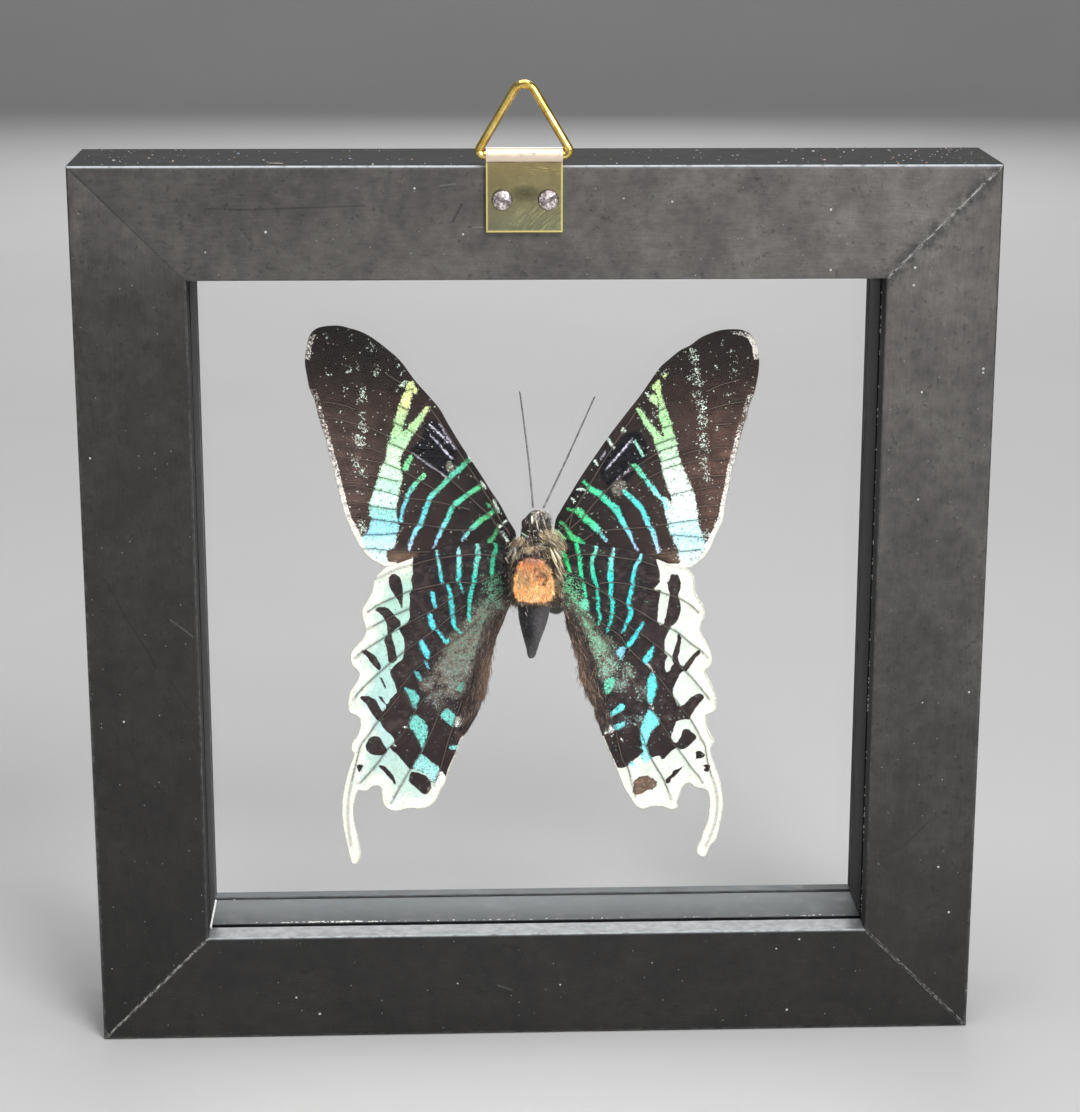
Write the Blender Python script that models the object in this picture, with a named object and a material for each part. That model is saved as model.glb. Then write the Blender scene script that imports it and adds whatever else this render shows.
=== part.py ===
"""Tailed urania moth, set underside-out between the two panes of a small square double-glass frame.

Metres, +Z up. The frame stands on its bottom rail: the origin is the centre of that rail's underside.
-Y is the hanger's side of the frame (its back), +Y the display side, +X to the right seen from the hanger's side.
"""

import math

import bmesh
import bpy
from mathutils import Matrix, Vector

MM = 0.001

# ---- driving dimensions, in millimetres ----
FRAME_SIDE = 152.0  # outer width and height
FRAME_DEPTH = 24.0
RAIL_WIDTH = 18.7  # face width of a rail
OUTER_ROUND = 0.7  # radius of the outer long edges
INNER_ROUND = 0.35  # radius of the edges round the opening
MITRE_GAP = 0.12  # half the joint's width, across each mitre

GLASS = 2.0
GROOVE_DEPTH = 4.0
GROOVE_PLAY = 0.3  # all round a pane's edge
BACK_LIP = 5.2  # wood behind the back pane
FRONT_LIP = 2.7  # wood in front of the front pane
GROOVE_WIDTH = 2.3

STRAP_WIDTH = 12.4
STRAP_THICK = 0.45
STRAP_X = -2.3  # centre of the hanger, a little off the frame's centre
STRAP_FOOT_Z = 141.3
STRAP_SLIT = 0.1  # between the strap's two layers
STRAP_OFF_WOOD = 0.1

WIRE_R = 0.7
RING_AXIS_Z = 153.6
RING_HALF_BASE = 7.90  # of the sharp triangle through the wire's centre line
RING_HEIGHT = 13.2
RING_BASE_R = 0.85
RING_APEX_R = 1.9
LOOP_PLAY = 0.12  # round the wire, in the strap's fold

SCREW_Z = 146.55
SCREW_X = (-5.9, 1.6)
SCREW_HEAD_R = 1.68
SCREW_HEAD_H = 0.95
SCREW_SHANK_R = 0.85
SCREW_LENGTH = 9.0
SCREW_SLOT = (0.62, 0.45)  # width, depth
SCREW_TURN = (-21.0, 28.0)  # how far each slot is turned, in degrees
PILOT_R = 1.15
SCREW_CLEAR_R = 1.15

FOREWING_Y = 1.35
HINDWING_Y = 0.65
WING_THICK = 0.4
ANTENNA_R = 0.2


# ---- small helpers ----
def clear_scene():
    for obj in list(bpy.data.objects):
        bpy.data.objects.remove(obj, do_unlink=True)


def material(name, colour, roughness, metallic=0.0, transmission=0.0):
    mat = bpy.data.materials.new(name)
    mat.use_nodes = True
    shader = mat.node_tree.nodes["Principled BSDF"]
    shader.inputs["Base Color"].default_value = (*colour, 1.0)
    shader.inputs["Roughness"].default_value = roughness
    shader.inputs["Metallic"].default_value = metallic
    shader.inputs["Transmission Weight"].default_value = transmission
    return mat


def add_object(name, data, mat=None):
    obj = bpy.data.objects.new(name, data)
    bpy.context.scene.collection.objects.link(obj)
    if mat:
        data.materials.append(mat)
    return obj


def mesh_object(name, bm, mat, smooth=False):
    bmesh.ops.recalc_face_normals(bm, faces=bm.faces)
    mesh = bpy.data.meshes.new(name)
    bm.to_mesh(mesh)
    bm.free()
    if smooth:
        mesh.shade_smooth()
        mesh.set_sharp_from_angle(angle=math.radians(35))
    return add_object(name, mesh, mat)


def arc(cx, cy, radius, start, end, steps):
    """Points on an arc, ends included, angles in degrees."""
    return [
        (
            cx + radius * math.cos(math.radians(start + (end - start) * i / steps)),
            cy + radius * math.sin(math.radians(start + (end - start) * i / steps)),
        )
        for i in range(steps + 1)
    ]


def lofted(rings, closed_ends=True):
    """A bmesh skinned over rings of equally many points, capped at both ends."""
    bm = bmesh.new()
    loops = [[bm.verts.new(Vector(p) * MM) for p in ring] for ring in rings]
    count = len(rings[0])
    for first, second in zip(loops, loops[1:]):
        for i in range(count):
            j = (i + 1) % count
            bm.faces.new((first[i], first[j], second[j], second[i]))
    if closed_ends:
        bm.faces.new(loops[0][::-1])
        bm.faces.new(loops[-1])
    return bm


def cut(obj, cutter, name):
    cutter.hide_render = True
    cutter.display_type = "WIRE"
    modifier = obj.modifiers.new(name, "BOOLEAN")
    modifier.operation = "DIFFERENCE"
    modifier.solver = "EXACT"
    modifier.object = cutter


def rod(name, radius, y_low, y_high, x, z, sides=20):
    rings = []
    for y in (y_low, y_high):
        rings.append(
            [(x + px, y, z + pz) for px, pz in arc(0, 0, radius, 0, 360, sides)[:-1]]
        )
    return mesh_object(name, lofted(rings), None)


# ---- the frame ----
def rail_profile():
    """The rail's section as (distance in from the outer edge, y): rounded long edges, two grooves on the inner face."""
    half, w, ro, ri = FRAME_DEPTH / 2, RAIL_WIDTH, OUTER_ROUND, INNER_ROUND
    back_groove = (-half + BACK_LIP, -half + BACK_LIP + GROOVE_WIDTH)
    front_groove = (half - FRONT_LIP - GROOVE_WIDTH, half - FRONT_LIP)
    points = arc(ro, -half + ro, ro, 180, 270, 3)
    points += arc(w - ri, -half + ri, ri, 270, 360, 2)
    for low, high in (back_groove, front_groove):
        points += [(w, low), (w - GROOVE_DEPTH, low), (w - GROOVE_DEPTH, high), (w, high)]
    points += arc(w - ri, half - ri, ri, 0, 90, 2)
    points += arc(ro, half - ro, ro, 90, 180, 3)
    return points


def make_rail(name, turn_degrees, mat):
    """A mitred rail: built as the bottom one, then turned about the frame's centre."""
    half = FRAME_SIDE / 2
    reach = half - MITRE_GAP
    profile = rail_profile()
    rings = [[(side * (reach - u), y, u - half) for u, y in profile] for side in (-1, 1)]
    obj = mesh_object(name, lofted(rings), mat, smooth=True)
    obj.rotation_euler = (0, math.radians(turn_degrees), 0)
    obj.location = (0, 0, half * MM)
    return obj


def make_pane(name, y_centre, mat):
    half = FRAME_SIDE / 2 - RAIL_WIDTH + GROOVE_DEPTH - GROOVE_PLAY
    bm = bmesh.new()
    bmesh.ops.create_cube(bm, size=1.0)
    bmesh.ops.scale(bm, vec=(2 * half * MM, GLASS * MM, 2 * half * MM), verts=bm.verts)
    obj = mesh_object(name, bm, mat)
    obj.location = (0, y_centre * MM, FRAME_SIDE / 2 * MM)
    return obj


# ---- the hanger ----
def strap_profile():
    """The folded strip's section as (y, z) round the ring's axis: up the front layer, round the fold, down the back layer."""
    thick = STRAP_THICK
    leg = STRAP_SLIT / 2 + thick / 2
    loop = WIRE_R + LOOP_PLAY + thick / 2
    fillet = 0.7
    drop = math.sqrt((loop + fillet) ** 2 - (leg + fillet) ** 2)
    foot = STRAP_FOOT_Z - RING_AXIS_Z
    lean = math.degrees(math.atan2(drop, leg + fillet))
    inner, outer = loop - thick / 2, loop + thick / 2
    near, far = leg - thick / 2, leg + thick / 2
    # Each side of the strip is run as the back half (+y) first, then mirrored for the front half.
    outside = [(far, foot)] + arc(leg + fillet, -drop, fillet - thick / 2, 180, 180 - lean, 3)
    outside += arc(0, 0, outer, -lean, 90, 9)
    inside = [(near, foot)] + arc(leg + fillet, -drop, fillet + thick / 2, 180, 180 - lean, 3)
    inside += arc(0, 0, inner, -lean, 90, 9)
    whole_outside = outside + [(-y, z) for y, z in reversed(outside[:-1])]
    whole_inside = inside + [(-y, z) for y, z in reversed(inside[:-1])]
    return whole_outside + whole_inside[::-1]


def strap_mid_y():
    return -FRAME_DEPTH / 2 - STRAP_OFF_WOOD - STRAP_THICK - STRAP_SLIT / 2


def make_strap(mat):
    mid = strap_mid_y()
    rings = [
        [(STRAP_X + side * STRAP_WIDTH / 2, mid + y, RING_AXIS_Z + z) for y, z in strap_profile()]
        for side in (-1, 1)
    ]
    strap = mesh_object("hanger_strap", lofted(rings), mat, smooth=True)
    for i, x in enumerate(SCREW_X):
        cut(
            strap,
            rod(f"strap_hole_{i}", SCREW_CLEAR_R, mid - 3, mid + 3, x, SCREW_Z),
            f"hole_{i}",
        )
    return strap


def ring_path():
    """The wire's centre line in (x, z) about the bar's middle: a triangle with rounded corners, run anticlockwise."""
    b, h = RING_HALF_BASE, RING_HEIGHT
    slope = math.degrees(math.atan2(h, b))
    inset = RING_BASE_R / math.tan(math.radians(slope / 2))
    apex_drop = RING_APEX_R / math.sin(math.radians(90 - slope))
    points = arc(b - inset, RING_BASE_R, RING_BASE_R, -90, 90 - slope, 6)
    points += arc(0, h - apex_drop, RING_APEX_R, 90 - slope, 90 + slope, 9)
    points += arc(inset - b, RING_BASE_R, RING_BASE_R, 90 + slope, 270, 6)
    return points


def make_ring(mat):
    sides = 12
    path = ring_path()
    count = len(path)
    bm = bmesh.new()
    loops = []
    for i, (x, z) in enumerate(path):
        before, after = Vector(path[i - 1]), Vector(path[(i + 1) % count])
        here = Vector((x, z))
        step_in, step_out = (here - before).normalized(), (after - here).normalized()
        along = (step_in + step_out).normalized()
        outward = Vector((along.y, -along.x))
        widen = 1 / max(0.6, math.cos(step_in.angle(step_out) / 2))
        loop = []
        for k in range(sides):
            a = 2 * math.pi * k / sides
            radial = WIRE_R * math.cos(a) * widen
            loop.append(
                bm.verts.new(
                    Vector((x + outward.x * radial, WIRE_R * math.sin(a), z + outward.y * radial)) * MM
                )
            )
        loops.append(loop)
    for i in range(count):
        first, second = loops[i], loops[(i + 1) % count]
        for k in range(sides):
            m = (k + 1) % sides
            bm.faces.new((first[k], first[m], second[m], second[k]))
    ring = mesh_object("hanger_ring", bm, mat, smooth=True)
    axis = bpy.data.objects.new("ring_swing_axis", None)
    bpy.context.scene.collection.objects.link(axis)
    axis.location = (STRAP_X * MM, strap_mid_y() * MM, RING_AXIS_Z * MM)
    ring.parent = axis
    return ring


def make_screw(name, x, turn, mat):
    """A slotted dome-head screw, driven along +Y: shank, point, and a head proud of the strap."""
    seat = strap_mid_y() - STRAP_SLIT / 2 - STRAP_THICK - 0.05
    profile = [(0.25, SCREW_LENGTH), (SCREW_SHANK_R, SCREW_LENGTH - 1.6), (SCREW_SHANK_R, 0.0)]
    profile += [(SCREW_HEAD_R, 0.0), (SCREW_HEAD_R, -0.3)]
    dome = SCREW_HEAD_H - 0.3
    profile += [
        (SCREW_HEAD_R * math.cos(a), -0.3 - dome * math.sin(a))
        for a in (math.radians(d) for d in (22, 44, 66))
    ]
    sides = 24
    rings = [
        [(r * math.cos(2 * math.pi * k / sides), y, r * math.sin(2 * math.pi * k / sides)) for k in range(sides)]
        for r, y in profile
    ]
    screw = mesh_object(name, lofted(rings), mat, smooth=True)
    width, depth = SCREW_SLOT
    bm = bmesh.new()
    bmesh.ops.create_cube(bm, size=1.0)
    bmesh.ops.scale(bm, vec=(6 * MM, 2 * depth * MM, width * MM), verts=bm.verts)
    bmesh.ops.translate(bm, vec=(0, -SCREW_HEAD_H * MM, 0), verts=bm.verts)
    bmesh.ops.rotate(bm, matrix=Matrix.Rotation(math.radians(-turn), 3, "Y"), verts=bm.verts)
    slot = mesh_object(f"{name}_slot", bm, None)
    for obj in (screw, slot):
        obj.location = (x * MM, seat * MM, SCREW_Z * MM)
    cut(screw, slot, "slot")
    return screw


# ---- the specimen ----
# Wing outlines: (x, z) of a few turning points, millimetres, in order round the wing from its root.
LEFT_FOREWING = [
    (-5.4, 80.4), (-5.3, 86.2), (-6.6, 92.5), (-11.0, 100.7), (-16.9, 109.8), (-23.4, 118.0),
    (-29.2, 122.1), (-34.0, 123.6), (-37.6, 122.2), (-38.9, 118.5), (-38.3, 113.4), (-36.3, 106.2),
    (-33.8, 95.6), (-31.6, 88.6), (-28.6, 83.9), (-25.3, 82.0), (-19.0, 80.9), (-11.0, 80.4),
]  # fmt: skip
RIGHT_FOREWING = [
    (5.0, 80.4), (5.1, 86.2), (6.2, 93.0), (10.5, 100.6), (16.4, 109.7), (23.2, 117.9),
    (29.9, 121.9), (34.6, 122.6), (37.0, 121.2), (38.0, 117.5), (37.3, 111.6), (35.4, 105.0),
    (33.2, 97.6), (31.6, 89.4), (29.6, 84.6), (26.7, 81.3), (18.6, 80.8), (10.8, 80.4),
]  # fmt: skip
LEFT_HINDWING = [
    (-5.4, 76.5), (-5.3, 85.6), (-10.6, 85.8), (-15.3, 85.2), (-20.2, 84.0), (-25.2, 82.2),
    (-27.7, 79.4), (-29.8, 74.6), (-29.4, 71.0), (-31.9, 66.2), (-30.9, 62.8), (-32.6, 57.6),
    (-30.7, 53.6), (-31.6, 49.6), (-33.1, 44.2), (-34.0, 38.4), (-33.5, 32.0), (-32.3, 27.9),
    (-31.0, 29.2), (-31.8, 34.6), (-32.1, 38.6), (-31.0, 41.6), (-28.6, 42.1), (-26.8, 39.2),
    (-24.6, 37.7), (-20.4, 37.7), (-17.9, 39.0), (-15.9, 43.3), (-12.4, 52.1), (-9.4, 58.6),
    (-7.9, 66.0), (-6.1, 71.4),
]  # fmt: skip
RIGHT_HINDWING = [
    (5.0, 76.5), (5.1, 85.6), (10.0, 86.0), (14.6, 85.4), (19.2, 84.1), (24.1, 82.2),
    (27.0, 79.4), (29.3, 73.4), (28.6, 70.4), (30.7, 64.9), (29.7, 62.2), (31.6, 57.0),
    (29.9, 54.6), (31.3, 49.6), (32.3, 43.8), (33.1, 38.8), (32.4, 33.6), (30.2, 28.2),
    (28.6, 29.2), (30.0, 33.2), (30.5, 38.6), (29.2, 41.6), (26.4, 41.4), (25.0, 38.2),
    (22.8, 37.2), (18.8, 37.3), (16.6, 39.8), (14.4, 44.6), (11.6, 52.1), (9.2, 59.4),
    (7.3, 66.0), (5.7, 71.4),
]  # fmt: skip

# Body stations from the head's front to the abdomen's tip: z, x, y of the centre, half width, half depth.
BODY = [
    (91.7, 0.1, 0.5, 0.6, 0.6), (91.0, 0.1, 0.4, 1.5, 1.4), (89.6, 0.1, 0.2, 2.3, 2.1),
    (88.0, 0.1, 0.1, 2.5, 2.3), (86.7, 0.0, 0.1, 2.4, 2.4), (85.4, 0.0, 0.1, 3.6, 3.4),
    (83.6, 0.0, 0.1, 4.4, 3.9), (81.2, 0.0, 0.1, 4.7, 4.05), (78.4, 0.0, 0.2, 4.5, 4.0),
    (76.4, -0.1, 0.3, 3.7, 3.4), (75.0, -0.2, 0.4, 2.9, 2.8), (72.0, -0.4, 0.5, 2.5, 2.5),
    (69.4, -0.6, 0.5, 1.7, 1.8), (67.4, -0.8, 0.5, 1.0, 1.1), (66.2, -0.9, 0.5, 0.45, 0.5),
]  # fmt: skip


def smooth_loop(points, per_span):
    """A closed Catmull-Rom curve through the points."""
    found, count = [], len(points)
    for i in range(count):
        p0, p1, p2, p3 = (Vector(points[(i + k) % count]) for k in (-1, 0, 1, 2))
        for s in range(per_span):
            t = s / per_span
            found.append(
                0.5
                * (
                    2 * p1
                    + (p2 - p0) * t
                    + (2 * p0 - 5 * p1 + 4 * p2 - p3) * t * t
                    + (3 * p1 - p0 - 3 * p2 + p3) * t**3
                )
            )
    return found


def make_wing(name, points, y, mat):
    outline = smooth_loop(points, 3)
    rings = [[(p.x, y + side * WING_THICK / 2, p.y) for p in outline] for side in (-1, 1)]
    return mesh_object(name, lofted(rings), mat)


def make_body(mat):
    sides = 24
    rings = []
    for z, x, y, half_w, half_d in BODY:
        ring = []
        for k in range(sides):
            a = 2 * math.pi * k / sides
            c, s = math.cos(a), math.sin(a)
            # the underside (-y) is flattened where the thorax is pressed to the pane
            ring.append((x + half_w * c, max(y + half_d * s, -3.85), z))
        rings.append(ring)
    return mesh_object("moth_body", lofted(rings), mat, smooth=True)


def make_glue(mat):
    """A thin irregular cake of dried glue between the thorax and the back pane."""
    inner_face = -FRAME_DEPTH / 2 + BACK_LIP + GROOVE_WIDTH / 2 + GLASS / 2
    low, high = inner_face + 0.05, inner_face + 0.5
    outline = []
    for k in range(28):
        a = 2 * math.pi * k / 28
        square = 1 / max(abs(math.cos(a)), abs(math.sin(a)))
        reach = 3.45 * (0.62 + 0.38 * min(square, 1.28)) * (1 + 0.035 * math.sin(5 * a) + 0.02 * math.cos(9 * a))
        outline.append((-0.3 + reach * math.cos(a), 79.9 + 1.12 * reach * math.sin(a)))
    rings = [[(x, y, z) for x, z in outline] for y in (low, high)]
    return mesh_object("glue_patch", lofted(rings), mat, smooth=True)


def make_antenna(name, route, mat):
    curve = bpy.data.curves.new(name, "CURVE")
    curve.dimensions = "3D"
    curve.bevel_depth = ANTENNA_R * MM
    curve.bevel_resolution = 1
    curve.use_fill_caps = True
    spline = curve.splines.new("POLY")
    (x0, y0, z0), (x1, y1, z1), (x2, y2, z2) = route
    steps = 10
    spline.points.add(steps)
    for i in range(steps + 1):
        t = i / steps
        weights = ((1 - t) ** 2, 2 * t * (1 - t), t * t)
        spline.points[i].co = (
            sum(w * v for w, v in zip(weights, (x0, x1, x2))) * MM,
            sum(w * v for w, v in zip(weights, (y0, y1, y2))) * MM,
            sum(w * v for w, v in zip(weights, (z0, z1, z2))) * MM,
            1.0,
        )
        spline.points[i].radius = 1.0 - 0.45 * t
    return add_object(name, curve, mat)


def main():
    clear_scene()
    black_wood = material("black painted wood", (0.020, 0.020, 0.022), 0.5)
    glass = material("clear glass", (0.97, 0.985, 0.98), 0.02, transmission=1.0)
    brass = material("brass plate", (0.52, 0.43, 0.19), 0.3, metallic=1.0)
    brass_wire = material("brass wire", (0.86, 0.66, 0.28), 0.2, metallic=1.0)
    plated = material("bright plated steel", (0.78, 0.77, 0.76), 0.25, metallic=1.0)
    body_mat = material("dried moth body", (0.06, 0.045, 0.035), 0.8)
    wing_mat = material("banded wing scales", (0.045, 0.035, 0.032), 0.6)
    antenna_mat = material("antenna", (0.10, 0.10, 0.10), 0.6)
    glue_mat = material("dried amber glue", (0.62, 0.27, 0.06), 0.3)

    make_rail("bottom_rail", 0, black_wood)
    make_rail("left_stile", 90, black_wood)
    top = make_rail("top_rail", 180, black_wood)
    make_rail("right_stile", 270, black_wood)
    back = -FRAME_DEPTH / 2
    for i, x in enumerate(SCREW_X):
        cut(top, rod(f"pilot_{i}", PILOT_R, back - 2, back + SCREW_LENGTH - 0.6, x, SCREW_Z), f"pilot_{i}")

    make_pane("back_glass", back + BACK_LIP + GROOVE_WIDTH / 2, glass)
    make_pane("front_glass", -back - FRONT_LIP - GROOVE_WIDTH / 2, glass)

    make_strap(brass)
    make_ring(brass_wire)
    make_screw("screw_left", SCREW_X[0], SCREW_TURN[0], plated)
    make_screw("screw_right", SCREW_X[1], SCREW_TURN[1], plated)

    make_body(body_mat)
    make_glue(glue_mat)
    make_wing("left_forewing", LEFT_FOREWING, FOREWING_Y, wing_mat)
    make_wing("right_forewing", RIGHT_FOREWING, FOREWING_Y, wing_mat)
    make_wing("left_hindwing", LEFT_HINDWING, HINDWING_Y, wing_mat)
    make_wing("right_hindwing", RIGHT_HINDWING, HINDWING_Y, wing_mat)
    make_antenna("left_antenna", [(-0.5, 0.4, 92.3), (-0.9, 0.2, 99.0), (-2.75, -0.3, 112.6)], antenna_mat)
    make_antenna("right_antenna", [(1.3, 0.4, 92.2), (5.2, 0.2, 100.5), (9.95, -0.3, 111.7)], antenna_mat)


main()
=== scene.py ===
"""Looks of a tailed urania moth set underside-out between the two panes of a small black double-glass frame.

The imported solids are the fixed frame. Everything below is in metres, in that same frame: +Z up, -Y the hanger's side.
Shapes on the wings are given as control points (x, z) in millimetres and are worked out as distances, per vertex.
"""

import math

import bpy
import numpy as np
from mathutils import Matrix, Vector, geometry, noise


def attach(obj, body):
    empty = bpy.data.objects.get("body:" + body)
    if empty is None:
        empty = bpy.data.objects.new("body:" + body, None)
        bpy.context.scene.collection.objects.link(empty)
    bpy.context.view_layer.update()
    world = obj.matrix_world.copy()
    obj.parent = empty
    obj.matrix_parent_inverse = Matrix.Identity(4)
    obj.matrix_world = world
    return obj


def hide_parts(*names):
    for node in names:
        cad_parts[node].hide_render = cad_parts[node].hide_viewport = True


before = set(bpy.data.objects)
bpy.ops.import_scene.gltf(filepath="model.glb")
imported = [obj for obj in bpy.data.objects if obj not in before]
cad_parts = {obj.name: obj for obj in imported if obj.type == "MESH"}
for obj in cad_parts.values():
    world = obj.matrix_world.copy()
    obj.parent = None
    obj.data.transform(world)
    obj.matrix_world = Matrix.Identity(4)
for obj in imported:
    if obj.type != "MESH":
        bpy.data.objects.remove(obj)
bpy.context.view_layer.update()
MM = 0.001
SCENE = bpy.context.scene
SCENE.view_settings.view_transform = "Standard"
SCENE.view_settings.look = "None"


# ======================================================= numbers and curves
def srgb(r, g, b):
    """A colour given in 0-255 display values, as linear light."""
    c = np.array([r, g, b], float) / 255
    return np.where(c <= 0.04045, c / 12.92, ((c + 0.055) / 1.055) ** 2.4)


def curve_through(points, step, closed=False):
    """Points about every `step` mm along a smooth curve through the given ones; extra columns ride along."""
    p = np.array(points, float)
    if closed:
        p = np.vstack([p[-1:], p, p[:2]])
    else:
        p = np.vstack([2 * p[0] - p[1], p, 2 * p[-1] - p[-2]])
    out = []
    for i in range(1, len(p) - 2):
        a, b, c, d = p[i - 1 : i + 3]
        count = max(1, math.ceil(math.dist(b[:2], c[:2]) / step))
        t = (np.arange(count) / count)[:, None]
        out.append(
            0.5 * (2 * b + (c - a) * t + (2 * a - 5 * b + 4 * c - d) * t**2 + (3 * b - a - 3 * c + d) * t**3)
        )
    if not closed:
        out.append(p[-2:-1])
    return np.vstack(out)


def segment_gap(P, A, B, WA=None, WB=None):
    """The least distance from each point to the segments A-B, less the half width found there."""
    best = np.full(len(P), 1e9)
    d = B - A
    length2 = (d**2).sum(1) + 1e-12
    for s in range(0, len(P), 3000):
        Q = P[s : s + 3000]
        t = (((Q[:, None] - A) * d).sum(2) / length2).clip(0, 1)
        gap = np.linalg.norm(Q[:, None] - (A + t[..., None] * d), axis=2)
        if WA is not None:
            gap = gap - 0.5 * (WA + (WB - WA) * t)
        best[s : s + 3000] = gap.min(1)
    return best


def near_box(P, Q, reach):
    low, high = Q.min(0) - reach, Q.max(0) + reach
    return ((P >= low) & (P <= high)).all(1)


def shape_gap(P, polygon, reach=2.5):
    """Signed distance to a closed shape in mm, below zero inside, never more than `reach`."""
    Q = curve_through(polygon, 0.7, closed=True)
    out = np.full(len(P), reach)
    near = near_box(P, Q, reach)
    N = P[near]
    if not len(N):
        return out
    A, B = Q, np.roll(Q, -1, axis=0)
    gap = segment_gap(N, A, B)
    x, z = N[:, 0, None], N[:, 1, None]
    crosses = (A[:, 1] > z) != (B[:, 1] > z)
    with np.errstate(divide="ignore", invalid="ignore"):
        at = A[:, 0] + (z - A[:, 1]) * (B[:, 0] - A[:, 0]) / (B[:, 1] - A[:, 1])
    within = (crosses & (x < at)).sum(1) % 2 == 1
    out[near] = np.where(within, -gap, np.minimum(gap, reach))
    return out


def streak_gap(P, line, reach=2.5):
    """Signed distance to a line whose points carry a width: (x, z, width)."""
    Q = curve_through(line, 0.5)
    out = np.full(len(P), reach)
    near = near_box(P, Q[:, :2], reach)
    if near.any():
        A, B = Q[:-1], Q[1:]
        out[near] = np.minimum(reach, segment_gap(P[near], A[:, :2], B[:, :2], A[:, 2], B[:, 2]))
    return out


def fade(value, stops):
    """A colour for each value, from (value, colour) stops in rising order."""
    at = [s[0] for s in stops]
    return np.stack([np.interp(value, at, [s[1][k] for s in stops]) for k in range(3)], axis=-1)


def lumps(P, size, seed=0.0, octaves=3):
    """Smooth noise about zero at each row of P, features `size` mm across."""
    P = np.asarray(P, float)
    if P.shape[1] == 2:
        P = np.column_stack([P[:, 0], np.full(len(P), 0.0), P[:, 1]])
    out = np.empty(len(P))
    for i, p in enumerate(P / size + seed * 17.31):
        out[i] = noise.fractal(Vector(p), 0.9, 2.1, octaves)
    return out


# ======================================================= meshes
def mesh_object(name, V, faces, materials, material_index=None, colours=None, values=None, smooth=True):
    """A mesh from arrays: V in mm, faces as lists of index arrays (n, 3) or (n, 4)."""
    blocks = [np.asarray(f, np.int32) for f in faces if len(f)]
    mesh = bpy.data.meshes.new(name)
    mesh.vertices.add(len(V))
    mesh.vertices.foreach_set("co", (np.asarray(V, float) * MM).astype(np.float32).ravel())
    loops = np.concatenate([b.ravel() for b in blocks])
    sizes = np.concatenate([np.full(len(b), b.shape[1], np.int32) for b in blocks])
    mesh.loops.add(len(loops))
    mesh.loops.foreach_set("vertex_index", loops)
    mesh.polygons.add(len(sizes))
    mesh.polygons.foreach_set("loop_start", np.concatenate([[0], np.cumsum(sizes)[:-1]]).astype(np.int32))
    if material_index is not None:
        mesh.polygons.foreach_set("material_index", np.asarray(material_index, np.int32))
    mesh.polygons.foreach_set("use_smooth", np.full(len(sizes), smooth, bool))
    mesh.update(calc_edges=True)
    mesh.validate()
    for key, data in (colours or {}).items():
        attribute = mesh.attributes.new(key, "FLOAT_COLOR", "POINT")
        data = np.asarray(data, float)
        attribute.data.foreach_set(
            "color", np.column_stack([data, np.ones(len(data))]).astype(np.float32).ravel()
        )
    for key, data in (values or {}).items():
        attribute = mesh.attributes.new(key, "FLOAT", "POINT")
        attribute.data.foreach_set("value", np.asarray(data, np.float32))
    for mat in materials:
        mesh.materials.append(mat)
    obj = bpy.data.objects.new(name, mesh)
    SCENE.collection.objects.link(obj)
    return obj


def unit(v):
    return v / np.maximum(np.linalg.norm(v, axis=-1, keepdims=True), 1e-9)


def hairs(roots, tips, radius, bend=None, middle=0.7):
    """Closed three-sided hairs that taper to a point: (V, F, owner of each vertex)."""
    roots, tips = np.asarray(roots, float), np.asarray(tips, float)
    count = len(roots)
    radius = np.broadcast_to(np.asarray(radius, float), (count,))
    along = unit(tips - roots)
    ref = np.where(np.abs(along[:, 1:2]) < 0.9, [[0.0, 1.0, 0.0]], [[1.0, 0.0, 0.0]])
    u = unit(np.cross(along, ref))
    v = np.cross(along, u)
    mid = roots + 0.55 * (tips - roots) + (0 if bend is None else bend)
    V = np.empty((count, 7, 3))
    for k in range(3):
        a = 2 * math.pi * k / 3
        ring = math.cos(a) * u + math.sin(a) * v
        V[:, k] = roots + ring * radius[:, None]
        V[:, 3 + k] = mid + ring * radius[:, None] * middle
    V[:, 6] = tips
    pattern = []
    for k in range(3):
        m = (k + 1) % 3
        pattern += [(k, m, 3 + m), (k, 3 + m, 3 + k), (3 + k, 3 + m, 6)]
    pattern.append((2, 1, 0))
    F = (np.array(pattern)[None] + 7 * np.arange(count)[:, None, None]).reshape(-1, 3)
    return V.reshape(-1, 3), F, np.repeat(np.arange(count), 7)


def tube(path, radii, sides=8):
    """A closed round tube along a path, with rounded ends: (V, F)."""
    path, radii = np.asarray(path, float), np.broadcast_to(np.asarray(radii, float), (len(path),))
    along = unit(np.gradient(path, axis=0))
    ref = np.where(np.abs(along[:, 1:2]) < 0.9, [[0.0, 1.0, 0.0]], [[1.0, 0.0, 0.0]])
    u = unit(np.cross(along, ref))
    v = np.cross(along, u)
    a = 2 * math.pi * np.arange(sides) / sides
    ring = np.cos(a)[None, :, None] * u[:, None] + np.sin(a)[None, :, None] * v[:, None]
    V = (path[:, None] + ring * radii[:, None, None]).reshape(-1, 3)
    n = len(path)
    F = []
    k = np.arange(sides)
    m = (k + 1) % sides
    for i in range(n - 1):
        a0, b0 = i * sides, (i + 1) * sides
        F.append(np.column_stack([a0 + k, a0 + m, b0 + m]))
        F.append(np.column_stack([a0 + k, b0 + m, b0 + k]))
    V = np.vstack([V, path[:1] - along[:1] * radii[0] * 0.5, path[-1:] + along[-1:] * radii[-1] * 0.5])
    s, e = n * sides, n * sides + 1
    F.append(np.column_stack([np.full(sides, s), m, k]))
    F.append(np.column_stack([np.full(sides, e), (n - 1) * sides + k, (n - 1) * sides + m]))
    return V, np.vstack(F)


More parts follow.
